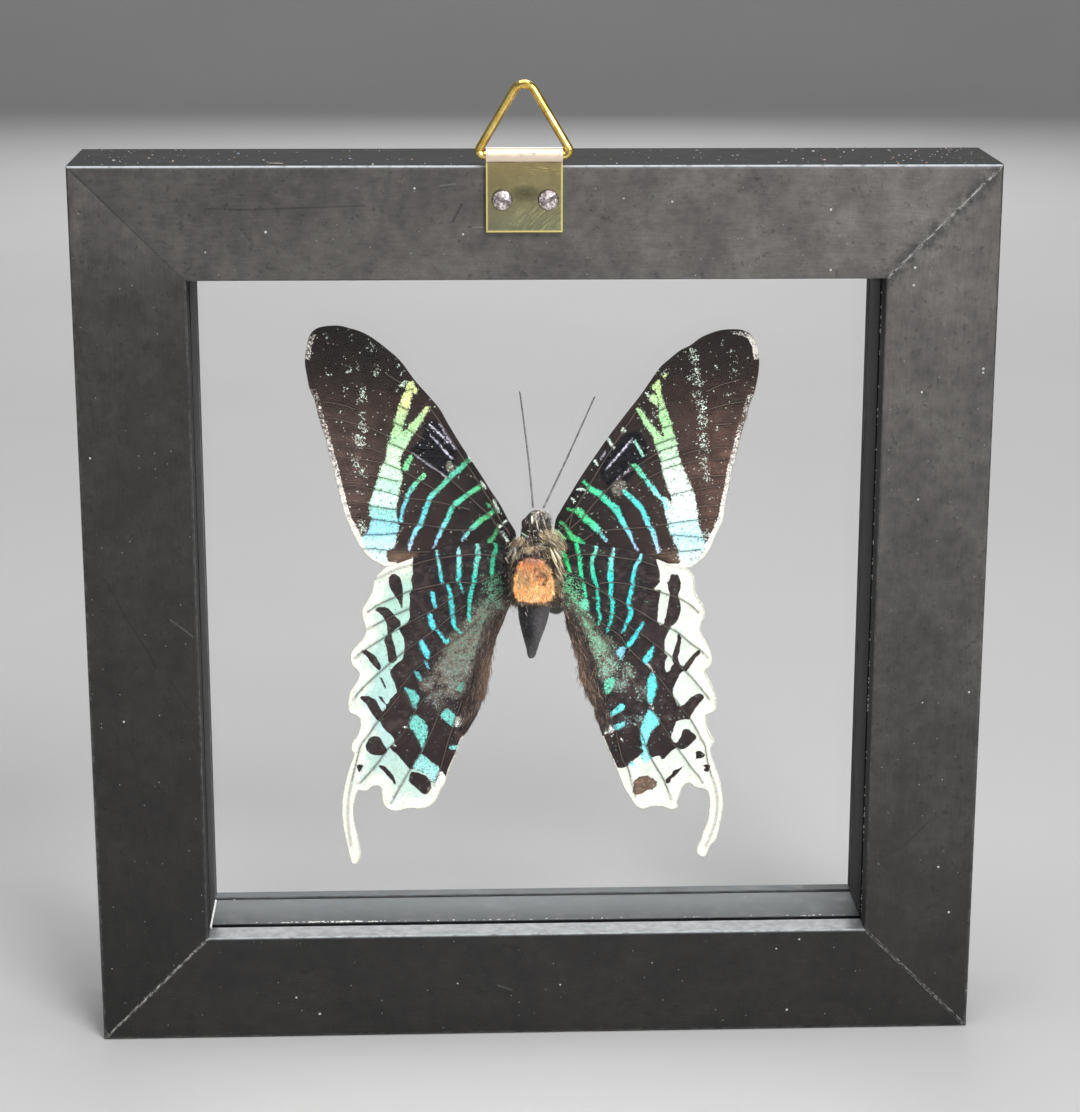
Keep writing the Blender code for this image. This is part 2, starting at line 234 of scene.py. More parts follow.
def joined(parts):
    """Several (V, F) as one, with the index of the part that each vertex came from."""
    V, F, owner, base = [], [], [], 0
    for i, (v, f) in enumerate(parts):
        V.append(v)
        F.append(f + base)
        owner.append(np.full(len(v), i))
        base += len(v)
    return np.vstack(V), np.vstack(F), np.concatenate(owner)


# ======================================================= material nodes
class Shader:
    """A short way to write a node material."""

    def __init__(self, name, **constants):
        self.mat = bpy.data.materials.new(name)
        self.mat.use_nodes = True
        self.tree = self.mat.node_tree
        self.bsdf = self.tree.nodes["Principled BSDF"]
        for key, value in constants.items():
            socket = self.bsdf.inputs[key.replace("_", " ")]
            socket.default_value = (*value, 1.0) if isinstance(value, (tuple, list, np.ndarray)) and len(value) == 3 and socket.type == "RGBA" else value

    def add(self, kind, inputs=None, **settings):
        node = self.tree.nodes.new(kind)
        for key, value in settings.items():
            setattr(node, key, value)
        for key, value in (inputs or {}).items():
            self.set(node.inputs[key], value)
        return node

    def set(self, socket, value):
        if isinstance(value, bpy.types.NodeSocket):
            self.tree.links.new(value, socket)
        elif isinstance(value, (tuple, list, np.ndarray)) and len(value) == 3 and socket.type == "RGBA":
            socket.default_value = (*[float(v) for v in value], 1.0)
        else:
            socket.default_value = value

    def out(self, name, value):
        self.set(self.bsdf.inputs[name], value)

    def place(self, scale=(1, 1, 1), turn=(0, 0, 0)):
        """Object coordinates in millimetres, scaled by axis."""
        coords = self.add("ShaderNodeTexCoord").outputs["Object"]
        return self.add(
            "ShaderNodeMapping",
            {"Vector": coords, "Scale": tuple(1000 * s for s in scale), "Rotation": tuple(math.radians(t) for t in turn)},
        ).outputs["Vector"]

    def math(self, operation, a, b=0.0, clamp=False):
        node = self.add("ShaderNodeMath", operation=operation, use_clamp=clamp)
        self.set(node.inputs[0], a)
        self.set(node.inputs[1], b)
        return node.outputs[0]

    def band(self, value, low, high, to_low=0.0, to_high=1.0, smooth=False):
        """Runs from to_low at `low` to to_high at `high`, and holds outside."""
        return self.add(
            "ShaderNodeMapRange",
            {"Value": value, "From Min": low, "From Max": high, "To Min": to_low, "To Max": to_high},
            interpolation_type="SMOOTHSTEP" if smooth else "LINEAR",
            clamp=True,
        ).outputs["Result"]

    def noise(self, vector, scale, detail=3.0, rough=0.55, distortion=0.0):
        return self.add(
            "ShaderNodeTexNoise",
            {"Vector": vector, "Scale": scale, "Detail": detail, "Roughness": rough, "Distortion": distortion},
        ).outputs["Fac"]

    def cells(self, vector, scale, feature="F1", randomness=1.0):
        node = self.add(
            "ShaderNodeTexVoronoi", {"Vector": vector, "Scale": scale, "Randomness": randomness}, feature=feature
        )
        return node

    def split(self, colour):
        node = self.add("ShaderNodeSeparateColor", {"Color": colour})
        return node.outputs

    def mix(self, factor, a, b, kind="MIX"):
        node = self.add("ShaderNodeMix", data_type="RGBA", blend_type=kind)
        self.set(node.inputs[0], factor)
        self.set(node.inputs[6], a)
        self.set(node.inputs[7], b)
        return node.outputs[2]

    def blend(self, factor, a, b):
        node = self.add("ShaderNodeMix", data_type="FLOAT")
        self.set(node.inputs[0], factor)
        self.set(node.inputs[2], a)
        self.set(node.inputs[3], b)
        return node.outputs[0]

    def value(self, name):
        return self.add("ShaderNodeAttribute", attribute_name=name, attribute_type="GEOMETRY").outputs["Fac"]

    def colour(self, name):
        return self.add("ShaderNodeAttribute", attribute_name=name, attribute_type="GEOMETRY").outputs["Color"]

    def shade(self, colour, factor):
        """The colour times a factor."""
        grey = self.add("ShaderNodeCombineColor", {"Red": factor, "Green": factor, "Blue": factor}).outputs[0]
        return self.mix(1.0, colour, grey, "MULTIPLY")

    def bump(self, height, strength, distance_mm, normal=None):
        node = self.add("ShaderNodeBump", {"Height": height, "Strength": strength, "Distance": distance_mm * MM})
        if normal is not None:
            self.set(node.inputs["Normal"], normal)
        return node.outputs["Normal"]


# ======================================================= wing control points, (x, z) in mm
# ---- left forewing ----
LEFT_FOREWING_OUTLINE = [(-3.37, 87.34), (-3.88, 88.58), (-4.74, 90.00), (-6.10, 92.66), (-7.81, 95.31), (-9.50, 98.13), (-11.20, 100.76), (-12.88,
    103.39), (-14.90, 106.87), (-16.23, 109.30), (-17.91, 111.39), (-19.58, 113.29), (-21.08, 115.19), (-22.24, 116.91), (-23.40,
    118.28), (-24.57, 119.31), (-26.23, 120.69), (-27.90, 121.89), (-29.56, 122.74), (-31.23, 123.26), (-32.90, 123.69), (-34.58,
    123.70), (-36.26, 123.45), (-37.27, 122.95), (-37.87, 122.27), (-38.32, 121.26), (-38.59, 120.06), (-38.79, 118.87), (-38.90,
    117.51), (-38.76, 116.14), (-38.54, 114.77), (-38.32, 113.39), (-37.92, 112.19), (-37.44, 111.15), (-37.13, 109.77), (-36.90,
    108.57), (-36.58, 107.53), (-36.35, 106.49), (-35.95, 105.27), (-35.63, 104.23), (-35.33, 102.67), (-35.02, 101.10), (-34.54,
    99.35), (-34.15, 97.60), (-33.84, 96.03), (-33.45, 94.27), (-32.97, 92.34), (-32.49, 90.57), (-31.83, 88.98), (-31.01, 87.21),
    (-30.18, 85.61), (-29.34, 84.36), (-28.50, 83.46), (-27.48, 82.74), (-26.29, 82.11), (-25.43, 81.84)]
LEFT_FOREWING_SHAPES = {
    "band_main": [(-21.43, 114.07), (-21.95, 113.47), (-22.13, 112.44), (-22.64, 111.76), (-22.83, 110.72), (-23.35, 109.87),
        (-23.36, 109.00), (-23.88, 107.97), (-24.23, 107.10), (-24.07, 106.41), (-24.60, 105.03), (-24.78, 104.33), (-25.12,
        103.64), (-25.31, 102.60), (-25.50, 101.38), (-25.68, 100.34), (-26.37, 99.65), (-26.56, 98.77), (-26.91, 97.55),
        (-27.28, 96.15), (-27.63, 95.28), (-27.99, 94.23), (-28.35, 93.18), (-28.53, 92.13), (-28.38, 91.24), (-28.22, 90.36),
        (-28.41, 89.31), (-28.59, 88.42), (-28.94, 87.90), (-29.63, 87.64), (-29.82, 86.84), (-29.66, 85.78), (-29.16, 84.89),
        (-28.49, 84.17), (-27.64, 83.28), (-26.79, 82.74), (-25.94, 82.29), (-25.42, 82.37), (-25.58, 83.44), (-25.57, 84.33),
        (-25.04, 84.85), (-24.35, 85.20), (-24.00, 86.09), (-23.99, 86.97), (-23.81, 87.68), (-23.45, 88.38), (-23.44, 89.44),
        (-23.77, 90.50), (-23.75, 91.56), (-23.74, 92.62), (-23.56, 93.67), (-23.37, 94.72), (-23.19, 95.77), (-22.83, 96.82),
        (-22.82, 98.22), (-22.97, 99.27), (-23.13, 100.32), (-22.77, 101.54), (-22.25, 102.41), (-21.90, 103.10), (-21.38,
        104.14), (-20.69, 105.00), (-20.17, 105.87), (-19.48, 106.90), (-18.79, 108.11), (-18.10, 109.14), (-17.92, 109.83),
        (-18.60, 109.84), (-19.46, 108.81), (-20.32, 107.77), (-21.18, 106.91), (-21.87, 106.05), (-22.39, 105.36), (-22.72,
        105.54), (-22.37, 106.92), (-22.01, 108.13), (-21.49, 109.16), (-21.31, 110.20), (-21.13, 111.23), (-20.87, 111.92),
        (-20.77, 112.78), (-20.42, 113.47), (-20.75, 114.15)],
    "patch": [(-20.60, 113.12), (-19.93, 112.77), (-20.27, 111.92), (-20.94, 112.44)],
    "short": [(-21.24, 101.53), (-20.91, 101.00), (-21.26, 100.13), (-21.61, 99.26), (-22.13, 98.57), (-22.81, 98.92), (-22.45,
        99.79), (-21.93, 100.84)],
    "stripe2": [(-19.23, 98.37), (-18.73, 98.02), (-18.90, 97.32), (-19.59, 96.97), (-20.11, 96.45), (-20.80, 95.41), (-21.50,
        94.53), (-21.67, 93.83), (-22.20, 92.61), (-22.56, 91.55), (-22.74, 90.50), (-22.92, 89.62), (-23.44, 89.80), (-23.25,
        90.85), (-23.06, 92.08), (-22.54, 93.31), (-22.35, 94.19), (-21.83, 95.24), (-21.13, 96.29), (-20.27, 97.33), (-19.58,
        97.68)],
    "stripe6": [(-6.63, 88.78), (-6.29, 87.89), (-6.81, 87.01), (-7.33, 86.13), (-8.19, 85.78), (-8.36, 86.31), (-7.50, 87.01),
        (-6.98, 88.07)],
}
LEFT_FOREWING_STREAKS = {
    "stripe3": [(-11.37, 100.59, 0.77), (-12.06, 99.90, 0.94), (-12.91, 99.03, 1.02), (-13.77, 98.33, 1.02), (-14.63, 97.46,
        1.02), (-15.32, 96.77, 1.02), (-16.18, 95.90, 0.94), (-17.05, 95.03, 0.94), (-17.91, 94.16, 0.94), (-18.43, 93.10,
        0.94), (-18.79, 92.05, 0.94), (-19.14, 91.17, 0.94), (-19.49, 90.12, 0.85), (-19.85, 89.06, 0.85), (-20.37, 88.53,
        0.85), (-20.89, 87.48, 0.77), (-21.42, 86.07, 0.68), (-21.78, 84.83, 0.51)],
    "stripe4": [(-9.34, 96.02, 0.85), (-10.20, 95.33, 0.94), (-11.23, 94.81, 0.94), (-12.09, 94.11, 0.94), (-12.78, 93.59,
        0.94), (-13.64, 92.89, 0.94), (-14.33, 92.19, 0.85), (-14.68, 91.31, 0.85), (-15.03, 90.44, 0.85), (-15.56, 89.38,
        0.85), (-16.08, 88.50, 0.77), (-16.43, 87.62, 0.68), (-16.96, 86.56, 0.60), (-17.31, 85.50, 0.43), (-17.66, 84.97,
        0.26)],
    "stripe5": [(-7.31, 91.43, 0.85), (-8.17, 90.73, 1.02), (-9.20, 90.04, 1.02), (-10.07, 89.34, 1.02), (-11.10, 88.37, 0.85)],
    "bit5": [(-8.33, 92.85, 0.43), (-7.82, 92.14, 0.43)],
    "blue5": [(-11.62, 87.76, 0.60), (-12.14, 87.05, 0.60), (-12.66, 86.35, 0.51)],
    "tick1": [(-11.53, 101.99, 0.43), (-11.20, 100.41, 0.43)],
    "tick2": [(-9.34, 96.73, 0.37), (-8.66, 95.67, 0.37)],
    "tick3": [(-7.13, 93.20, 0.43), (-6.28, 91.43, 0.43)],
    "tick4": [(-6.12, 88.77, 0.51), (-5.08, 89.83, 0.43)],
    "tick5": [(-5.60, 87.71, 0.43), (-4.92, 86.28, 0.51)],
}
LEFT_FOREWING_VEINS = [
    [(-37.02, 110.81), (-34.83, 110.62), (-32.31, 110.09), (-30.63, 109.39)],
    [(-36.40, 108.04), (-34.04, 107.86), (-31.51, 107.15), (-28.14, 106.26), (-25.11, 104.68)],
    [(-34.98, 103.19), (-30.74, 102.90), (-28.20, 102.62), (-26.17, 101.91)],
    [(-35.01, 101.27), (-31.62, 101.08), (-28.23, 100.53), (-25.69, 99.99), (-22.81, 98.75), (-20.61, 97.51), (-18.91, 96.44),
        (-17.21, 95.38)],
    [(-33.71, 98.47), (-30.82, 98.10), (-26.91, 97.73), (-23.52, 96.83)],
    [(-33.41, 96.02), (-30.85, 96.18), (-28.31, 95.64), (-25.76, 95.09), (-22.01, 94.01), (-18.09, 93.45), (-14.67, 92.72),
        (-11.25, 91.82)],
    [(-32.62, 93.04), (-30.91, 93.02), (-28.35, 92.65), (-23.75, 91.91)],
    [(-32.31, 90.92), (-30.09, 90.73), (-25.83, 89.99), (-23.27, 89.62), (-18.13, 89.05), (-14.71, 88.31), (-11.27, 88.28)],
    [(-29.80, 87.55), (-26.72, 87.53), (-23.98, 87.68)],
    [(-30.19, 85.07), (-27.62, 85.05), (-23.33, 84.48), (-18.18, 84.44)],
    [(-22.13, 112.62), (-20.77, 112.78)],
    [(-23.17, 110.04), (-21.49, 109.16)],
    [(-24.06, 107.10), (-22.37, 106.23), (-20.52, 105.18), (-18.83, 104.12)],
    [(-25.12, 103.64), (-22.25, 102.41), (-20.90, 101.70), (-18.87, 100.47), (-14.98, 97.47), (-12.09, 94.82), (-9.54, 92.33),
        (-7.49, 90.20), (-5.61, 86.47)],
    [(-25.46, 115.72), (-24.29, 114.86), (-21.95, 113.47)],
    [(-4.23, 86.99), (-6.11, 90.01), (-7.82, 93.55), (-9.35, 95.85), (-11.21, 99.19), (-14.24, 104.09), (-17.93, 109.66)],
    [(-4.23, 86.99), (-6.62, 91.61), (-8.66, 95.32), (-11.20, 99.89), (-12.89, 102.87), (-14.90, 106.35), (-16.24, 108.44)],
]
LEFT_FOREWING_WINDOW = [(-21.24, 101.53), (-19.68, 104.13), (-18.29, 107.59), (-16.26, 106.71), (-13.74, 102.35), (-14.29, 97.99), (-15.49, 97.47)]
LEFT_FOREWING_SCUFF = [(-15.30, 99.92), (-14.61, 100.26), (-13.93, 99.56), (-14.11, 98.69), (-14.80, 98.34), (-15.30, 99.04)]
LEFT_FOREWING_TAN = [(-25.05, 84.50), (-20.76, 84.29), (-20.94, 83.04), (-23.70, 82.53), (-25.26, 82.01)]
LEFT_FOREWING_SPECKLE_LINE = [(-27.42, 120.01), (-26.98, 115.90), (-29.39, 112.66), (-29.59, 111.11), (-29.46, 108.52), (-29.66, 106.79), (-29.16, 105.92),
    (-30.20, 104.72), (-29.72, 103.15), (-30.61, 100.72), (-30.29, 99.50), (-29.80, 98.27), (-30.12, 89.32), (-29.96, 88.61),
    (-29.80, 87.90)]
LEFT_FOREWING_SPECKS = [(-35.46, 121.58), (-35.07, 115.43), (-31.35, 116.61), (-30.51, 116.27), (-31.37, 115.59), (-32.26, 112.84), (-27.85, 103.31),
    (-30.36, 94.95), (-23.65, 112.28), (-23.26, 116.57), (-22.43, 115.54), (-21.60, 114.50)]
LEFT_FOREWING_SCRATCHES = [
    ([(-20.90, 101.70), (-18.03, 99.59), (-14.98, 97.47)], 2),
    ([(-17.97, 104.99), (-15.95, 102.71), (-14.27, 100.78)], 2),
    ([(-18.13, 106.72), (-16.44, 105.15), (-14.92, 103.58)], 2.5),
    ([(-16.26, 106.71), (-14.92, 104.44), (-13.74, 102.52)], 2),
]
# ---- right forewing ----
RIGHT_FOREWING_OUTLINE = [(3.34, 89.41), (4.32, 91.57), (5.91, 94.33), (7.61, 97.20), (9.32, 99.82), (10.84, 102.06), (12.71, 104.79), (14.40, 107.04),
    (16.09, 109.28), (17.77, 111.46), (19.45, 113.93), (21.12, 116.33), (22.81, 117.87), (24.49, 119.24), (26.18, 120.09), (27.86,
    121.35), (29.54, 122.12), (31.23, 122.63), (32.93, 122.79), (34.63, 122.72), (35.72, 122.37), (36.58, 121.80), (37.09,
    121.06), (37.58, 119.96), (37.77, 118.72), (37.96, 117.28), (37.83, 115.04), (37.55, 113.31), (37.28, 111.93), (36.81,
    110.72), (36.42, 109.61), (36.02, 107.60), (35.56, 106.38), (35.22, 104.89), (34.88, 103.42), (34.52, 101.90), (34.16,
    100.15), (33.79, 98.70), (33.48, 96.94), (33.20, 94.89), (32.90, 93.42), (32.59, 91.66), (32.26, 89.89), (31.83, 88.58),
    (31.23, 87.30), (30.67, 85.92), (30.05, 84.52), (29.32, 83.26), (28.12, 82.26), (27.09, 81.49), (26.13, 81.21)]
RIGHT_FOREWING_SHAPES = {
    "band_main": [(21.28, 113.40), (21.29, 112.54), (21.53, 111.16), (21.94, 109.94), (22.31, 108.95), (22.70, 107.68), (23.19,
        106.71), (23.25, 105.77), (23.72, 104.47), (24.10, 102.73), (24.50, 100.97), (25.11, 99.46), (25.89, 97.46), (26.53,
        96.19), (27.18, 94.42), (27.62, 92.65), (27.82, 90.63), (28.12, 88.86), (28.74, 87.07), (29.16, 85.82), (29.30, 84.58),
        (28.34, 82.80), (27.37, 81.73), (26.12, 81.50), (25.53, 81.75), (24.87, 82.78), (24.63, 83.79), (24.73, 84.44), (23.97,
        85.58), (23.73, 86.58), (23.07, 87.65), (22.83, 89.02), (22.42, 90.43), (22.16, 91.68), (21.75, 92.98), (21.05, 93.58),
        (20.28, 94.47), (19.41, 95.46), (18.66, 96.52), (17.91, 97.51), (17.16, 98.52), (16.35, 99.52), (17.27, 99.64), (18.14,
        98.51), (19.12, 97.12), (19.89, 96.11), (20.76, 95.10), (21.51, 93.97), (22.38, 93.68), (23.01, 92.97), (23.48, 92.17),
        (23.24, 93.95), (22.99, 94.45), (22.47, 95.72), (22.10, 96.97), (21.68, 98.49), (21.44, 100.01), (20.96, 101.49),
        (20.43, 102.75), (20.07, 103.99), (19.67, 104.87), (19.03, 105.74), (18.44, 106.49), (18.05, 107.48), (17.57, 108.23),
        (17.11, 108.98), (17.11, 109.35), (17.79, 109.34), (18.31, 108.47), (19.01, 107.60), (19.53, 106.73), (20.39, 105.85),
        (21.02, 105.08), (21.61, 104.38), (21.95, 104.38), (21.60, 105.48), (21.36, 106.72), (20.99, 107.69), (20.92, 108.96),
        (21.08, 109.95), (20.85, 110.99), (20.44, 111.92), (20.32, 112.37), (19.80, 112.90), (20.14, 113.58), (20.91, 114.27)],
    "prong": [(19.31, 111.34), (19.98, 111.86), (20.57, 111.34), (20.96, 110.47), (20.59, 109.71), (20.00, 110.20), (19.49,
        110.58)],
    "patch": [(21.48, 114.78), (22.15, 115.64), (22.33, 115.12), (21.83, 114.44)],
    "tickp": [(14.49, 106.00), (15.26, 105.82), (15.36, 105.12), (14.76, 105.04)],
}
RIGHT_FOREWING_STREAKS = {
    "small": [(17.00, 103.54, 0.51), (17.52, 102.66, 0.51), (18.04, 101.61, 0.51)],
    "smalldot": [(18.30, 101.14, 0.43), (18.39, 101.00, 0.43)],
    "stripe3": [(15.24, 94.89, 0.68), (15.48, 94.51, 0.85), (16.23, 93.90, 0.94), (17.10, 93.01, 1.02), (17.85, 92.12, 1.02),
        (18.49, 91.23, 1.02), (18.97, 90.17, 1.02), (19.38, 88.93, 0.94), (20.08, 87.91, 0.85), (20.49, 86.61, 0.85), (20.87,
        85.36, 0.77), (21.16, 84.11, 0.68)],
    "stripe4": [(8.23, 96.60, 0.51), (8.99, 95.82, 0.68), (9.86, 94.93, 1.19), (10.94, 94.54, 1.19), (11.81, 93.53, 1.19),
        (12.79, 92.64, 1.19), (13.78, 91.75, 1.36), (14.29, 90.74, 1.02), (14.89, 89.60, 1.02), (15.53, 88.42, 0.85), (16.17,
        87.30, 0.85), (16.64, 86.16, 0.51), (17.29, 84.85, 0.43), (17.70, 84.25, 0.34)],
    "stripe5": [(5.57, 91.81, 0.68), (6.54, 91.56, 0.68), (7.52, 91.32, 1.36), (8.38, 90.25, 1.36), (9.37, 89.36, 1.36), (10.36,
        88.47, 1.36), (10.86, 87.98, 1.02)],
    "blue5": [(11.11, 87.47, 0.68), (11.63, 86.86, 0.68), (12.15, 86.20, 0.60)],
    "stripe6": [(4.20, 89.58, 0.51), (5.19, 88.68, 0.51), (5.69, 87.79, 0.85), (6.45, 86.72, 1.19), (7.54, 86.11, 1.19), (8.28,
        85.82, 0.51)],
    "stripe7": [(3.59, 87.92, 0.68), (4.21, 87.27, 0.68), (4.95, 86.74, 0.68)],
    "tick1": [(7.19, 95.20, 0.43), (7.79, 95.20, 0.43)],
    "tick2": [(8.14, 95.28, 0.43), (8.57, 95.10, 0.43)],
    "tick3": [(6.17, 93.62, 0.44), (6.69, 93.09, 0.44)],
    "tick4": [(10.08, 100.27, 0.44), (10.52, 99.56, 0.44)],
    "tick5": [(12.46, 103.92, 0.44), (12.89, 103.13, 0.51), (13.32, 102.52, 0.44)],
    "tick6": [(18.79, 111.86, 0.37), (19.14, 111.52, 0.37)],
}
RIGHT_FOREWING_VEINS = [
    [(34.17, 102.38), (29.87, 102.32), (27.47, 101.90), (25.08, 101.22)],
    [(33.51, 100.46), (29.05, 100.31), (26.82, 99.98), (24.93, 99.46)],
    [(32.71, 97.48), (30.47, 97.49), (29.09, 97.33), (25.83, 97.00)],
    [(32.05, 95.72), (29.13, 95.29), (26.89, 94.88)],
    [(31.60, 92.19), (29.87, 92.21), (27.63, 92.05)],
    [(31.63, 89.96), (27.83, 89.74), (22.83, 89.08), (19.73, 88.57), (15.41, 88.25), (11.10, 87.93)],
    [(33.57, 106.57), (30.66, 106.42)],
    [(20.70, 108.74), (22.23, 109.42)],
    [(21.59, 105.95), (23.13, 106.29)],
    [(20.43, 102.99), (23.67, 104.19)],
    [(20.96, 101.77), (24.03, 102.80)],
    [(21.49, 100.01), (24.74, 101.04)],
    [(22.19, 98.78), (25.44, 99.81)],
    [(23.46, 94.20), (27.06, 95.05)],
    [(23.55, 87.12), (28.92, 86.54)],
    [(24.80, 84.08), (28.44, 84.40)],
    [(16.39, 94.78), (17.75, 96.18), (20.32, 97.74), (21.85, 98.43)],
    [(19.43, 99.68), (21.48, 100.54)],
    [(4.21, 88.16), (6.44, 91.33), (9.33, 96.24), (13.07, 102.52), (17.12, 108.76)],
    [(6.44, 91.33), (5.69, 88.50)],
    [(8.18, 86.18), (9.90, 87.40)],
    [(4.55, 87.27), (7.65, 89.90), (11.07, 93.94), (14.14, 96.91), (16.53, 98.65), (18.74, 100.21), (21.30, 101.77)],
    [(19.26, 83.59), (24.28, 84.08)],
    [(34.79, 114.19), (31.74, 113.35), (29.02, 112.15)],
    [(35.55, 110.38), (32.31, 109.88), (29.42, 109.03)],
]
RIGHT_FOREWING_WINDOW = [(11.70, 101.48), (16.81, 105.46), (19.24, 101.78), (16.54, 97.24), (13.12, 95.51), (11.04, 97.63)]
RIGHT_FOREWING_SCUFF = [(13.11, 96.21), (14.14, 96.91), (15.35, 96.37), (15.53, 95.14), (14.50, 94.09), (13.30, 94.45)]
RIGHT_FOREWING_TAN = [(24.28, 84.17), (25.15, 83.72), (25.27, 81.57), (23.61, 82.30), (22.21, 83.39), (20.64, 84.02)]
RIGHT_FOREWING_SPECKLE_LINE = [(26.36, 119.06), (26.89, 117.68), (27.26, 115.61), (26.60, 114.58), (27.80, 113.89), (27.50, 111.64), (28.03, 110.43), (28.56,
    109.38), (28.07, 107.65), (28.95, 106.43), (28.64, 104.16), (29.17, 102.94), (28.67, 102.42), (29.05, 100.31), (29.24, 98.73),
    (29.44, 97.15), (29.26, 87.07)]
RIGHT_FOREWING_SPECKS = [(20.20, 108.04), (19.84, 109.09), (31.61, 120.23), (33.17, 119.02), (30.48, 116.63), (33.91, 115.58), (32.80, 111.09), (30.85,
    105.54), (30.37, 93.26), (21.13, 115.65)]
RIGHT_FOREWING_SCRATCHES = [
    ([(16.48, 103.89), (14.27, 101.29), (12.13, 98.85)], 2.5),
    ([(16.30, 98.82), (15.16, 97.95), (13.96, 97.08)], 2),
    ([(11.87, 101.83), (11.20, 100.61)], 2),
]
# ---- left hindwing ----
LEFT_HINDWING_OUTLINE = [(-6.57, 85.93), (-7.86, 86.03), (-10.01, 85.96), (-12.16, 85.91), (-14.30, 85.71), (-16.02, 85.30), (-17.75, 84.60), (-19.90,
    83.91), (-22.06, 83.11), (-24.04, 82.46), (-25.07, 82.09), (-26.11, 81.59), (-27.24, 80.42), (-27.79, 79.54), (-28.09, 77.93),
    (-28.70, 76.60), (-29.37, 75.44), (-29.92, 74.48), (-30.02, 73.30), (-29.70, 72.13), (-29.37, 71.22), (-29.45, 70.33),
    (-30.01, 69.16), (-30.89, 68.09), (-31.77, 67.19), (-32.11, 66.11), (-32.01, 65.21), (-31.73, 64.30), (-30.96, 63.57),
    (-30.65, 62.76), (-30.91, 61.75), (-31.55, 60.67), (-32.16, 59.76), (-32.53, 58.49), (-32.64, 56.76), (-32.40, 55.84),
    (-31.54, 55.37), (-30.78, 54.91), (-30.59, 53.72), (-30.82, 52.43), (-31.26, 51.34), (-31.97, 50.61), (-32.16, 49.88),
    (-32.17, 48.84), (-31.76, 48.49), (-31.88, 47.57), (-32.46, 46.19), (-33.04, 44.35), (-33.51, 42.50), (-33.90, 40.46),
    (-34.06, 38.32), (-34.06, 36.46), (-33.86, 34.59), (-33.47, 32.24), (-33.06, 30.17), (-32.77, 28.66), (-32.66, 28.09),
    (-32.22, 27.80), (-31.48, 28.08), (-31.00, 29.20), (-30.91, 30.14), (-31.17, 31.46), (-31.48, 33.15), (-31.89, 34.84),
    (-32.08, 36.15), (-32.19, 37.83), (-31.91, 39.51), (-31.43, 41.08), (-31.00, 41.62), (-30.37, 41.35), (-29.58, 41.52),
    (-28.69, 42.25), (-27.82, 42.35), (-27.21, 41.96), (-27.05, 40.75), (-26.98, 39.44), (-26.55, 38.51), (-25.68, 37.86),
    (-24.46, 37.55), (-23.04, 37.94), (-21.72, 38.07), (-20.62, 37.91), (-19.35, 38.13), (-18.20, 38.77), (-17.39, 39.88),
    (-16.75, 41.36), (-16.18, 42.28), (-15.85, 43.10), (-15.60, 43.95), (-15.06, 45.52), (-14.17, 47.63), (-13.63, 48.92),
    (-13.09, 50.57), (-11.94, 52.21), (-11.06, 53.77), (-10.18, 55.32), (-9.56, 57.14), (-9.02, 59.33), (-8.95, 59.69), (-8.66,
    62.42), (-8.16, 65.14), (-7.51, 67.40), (-6.89, 68.93), (-6.19, 70.55), (-5.49, 72.16), (-5.15, 73.24)]
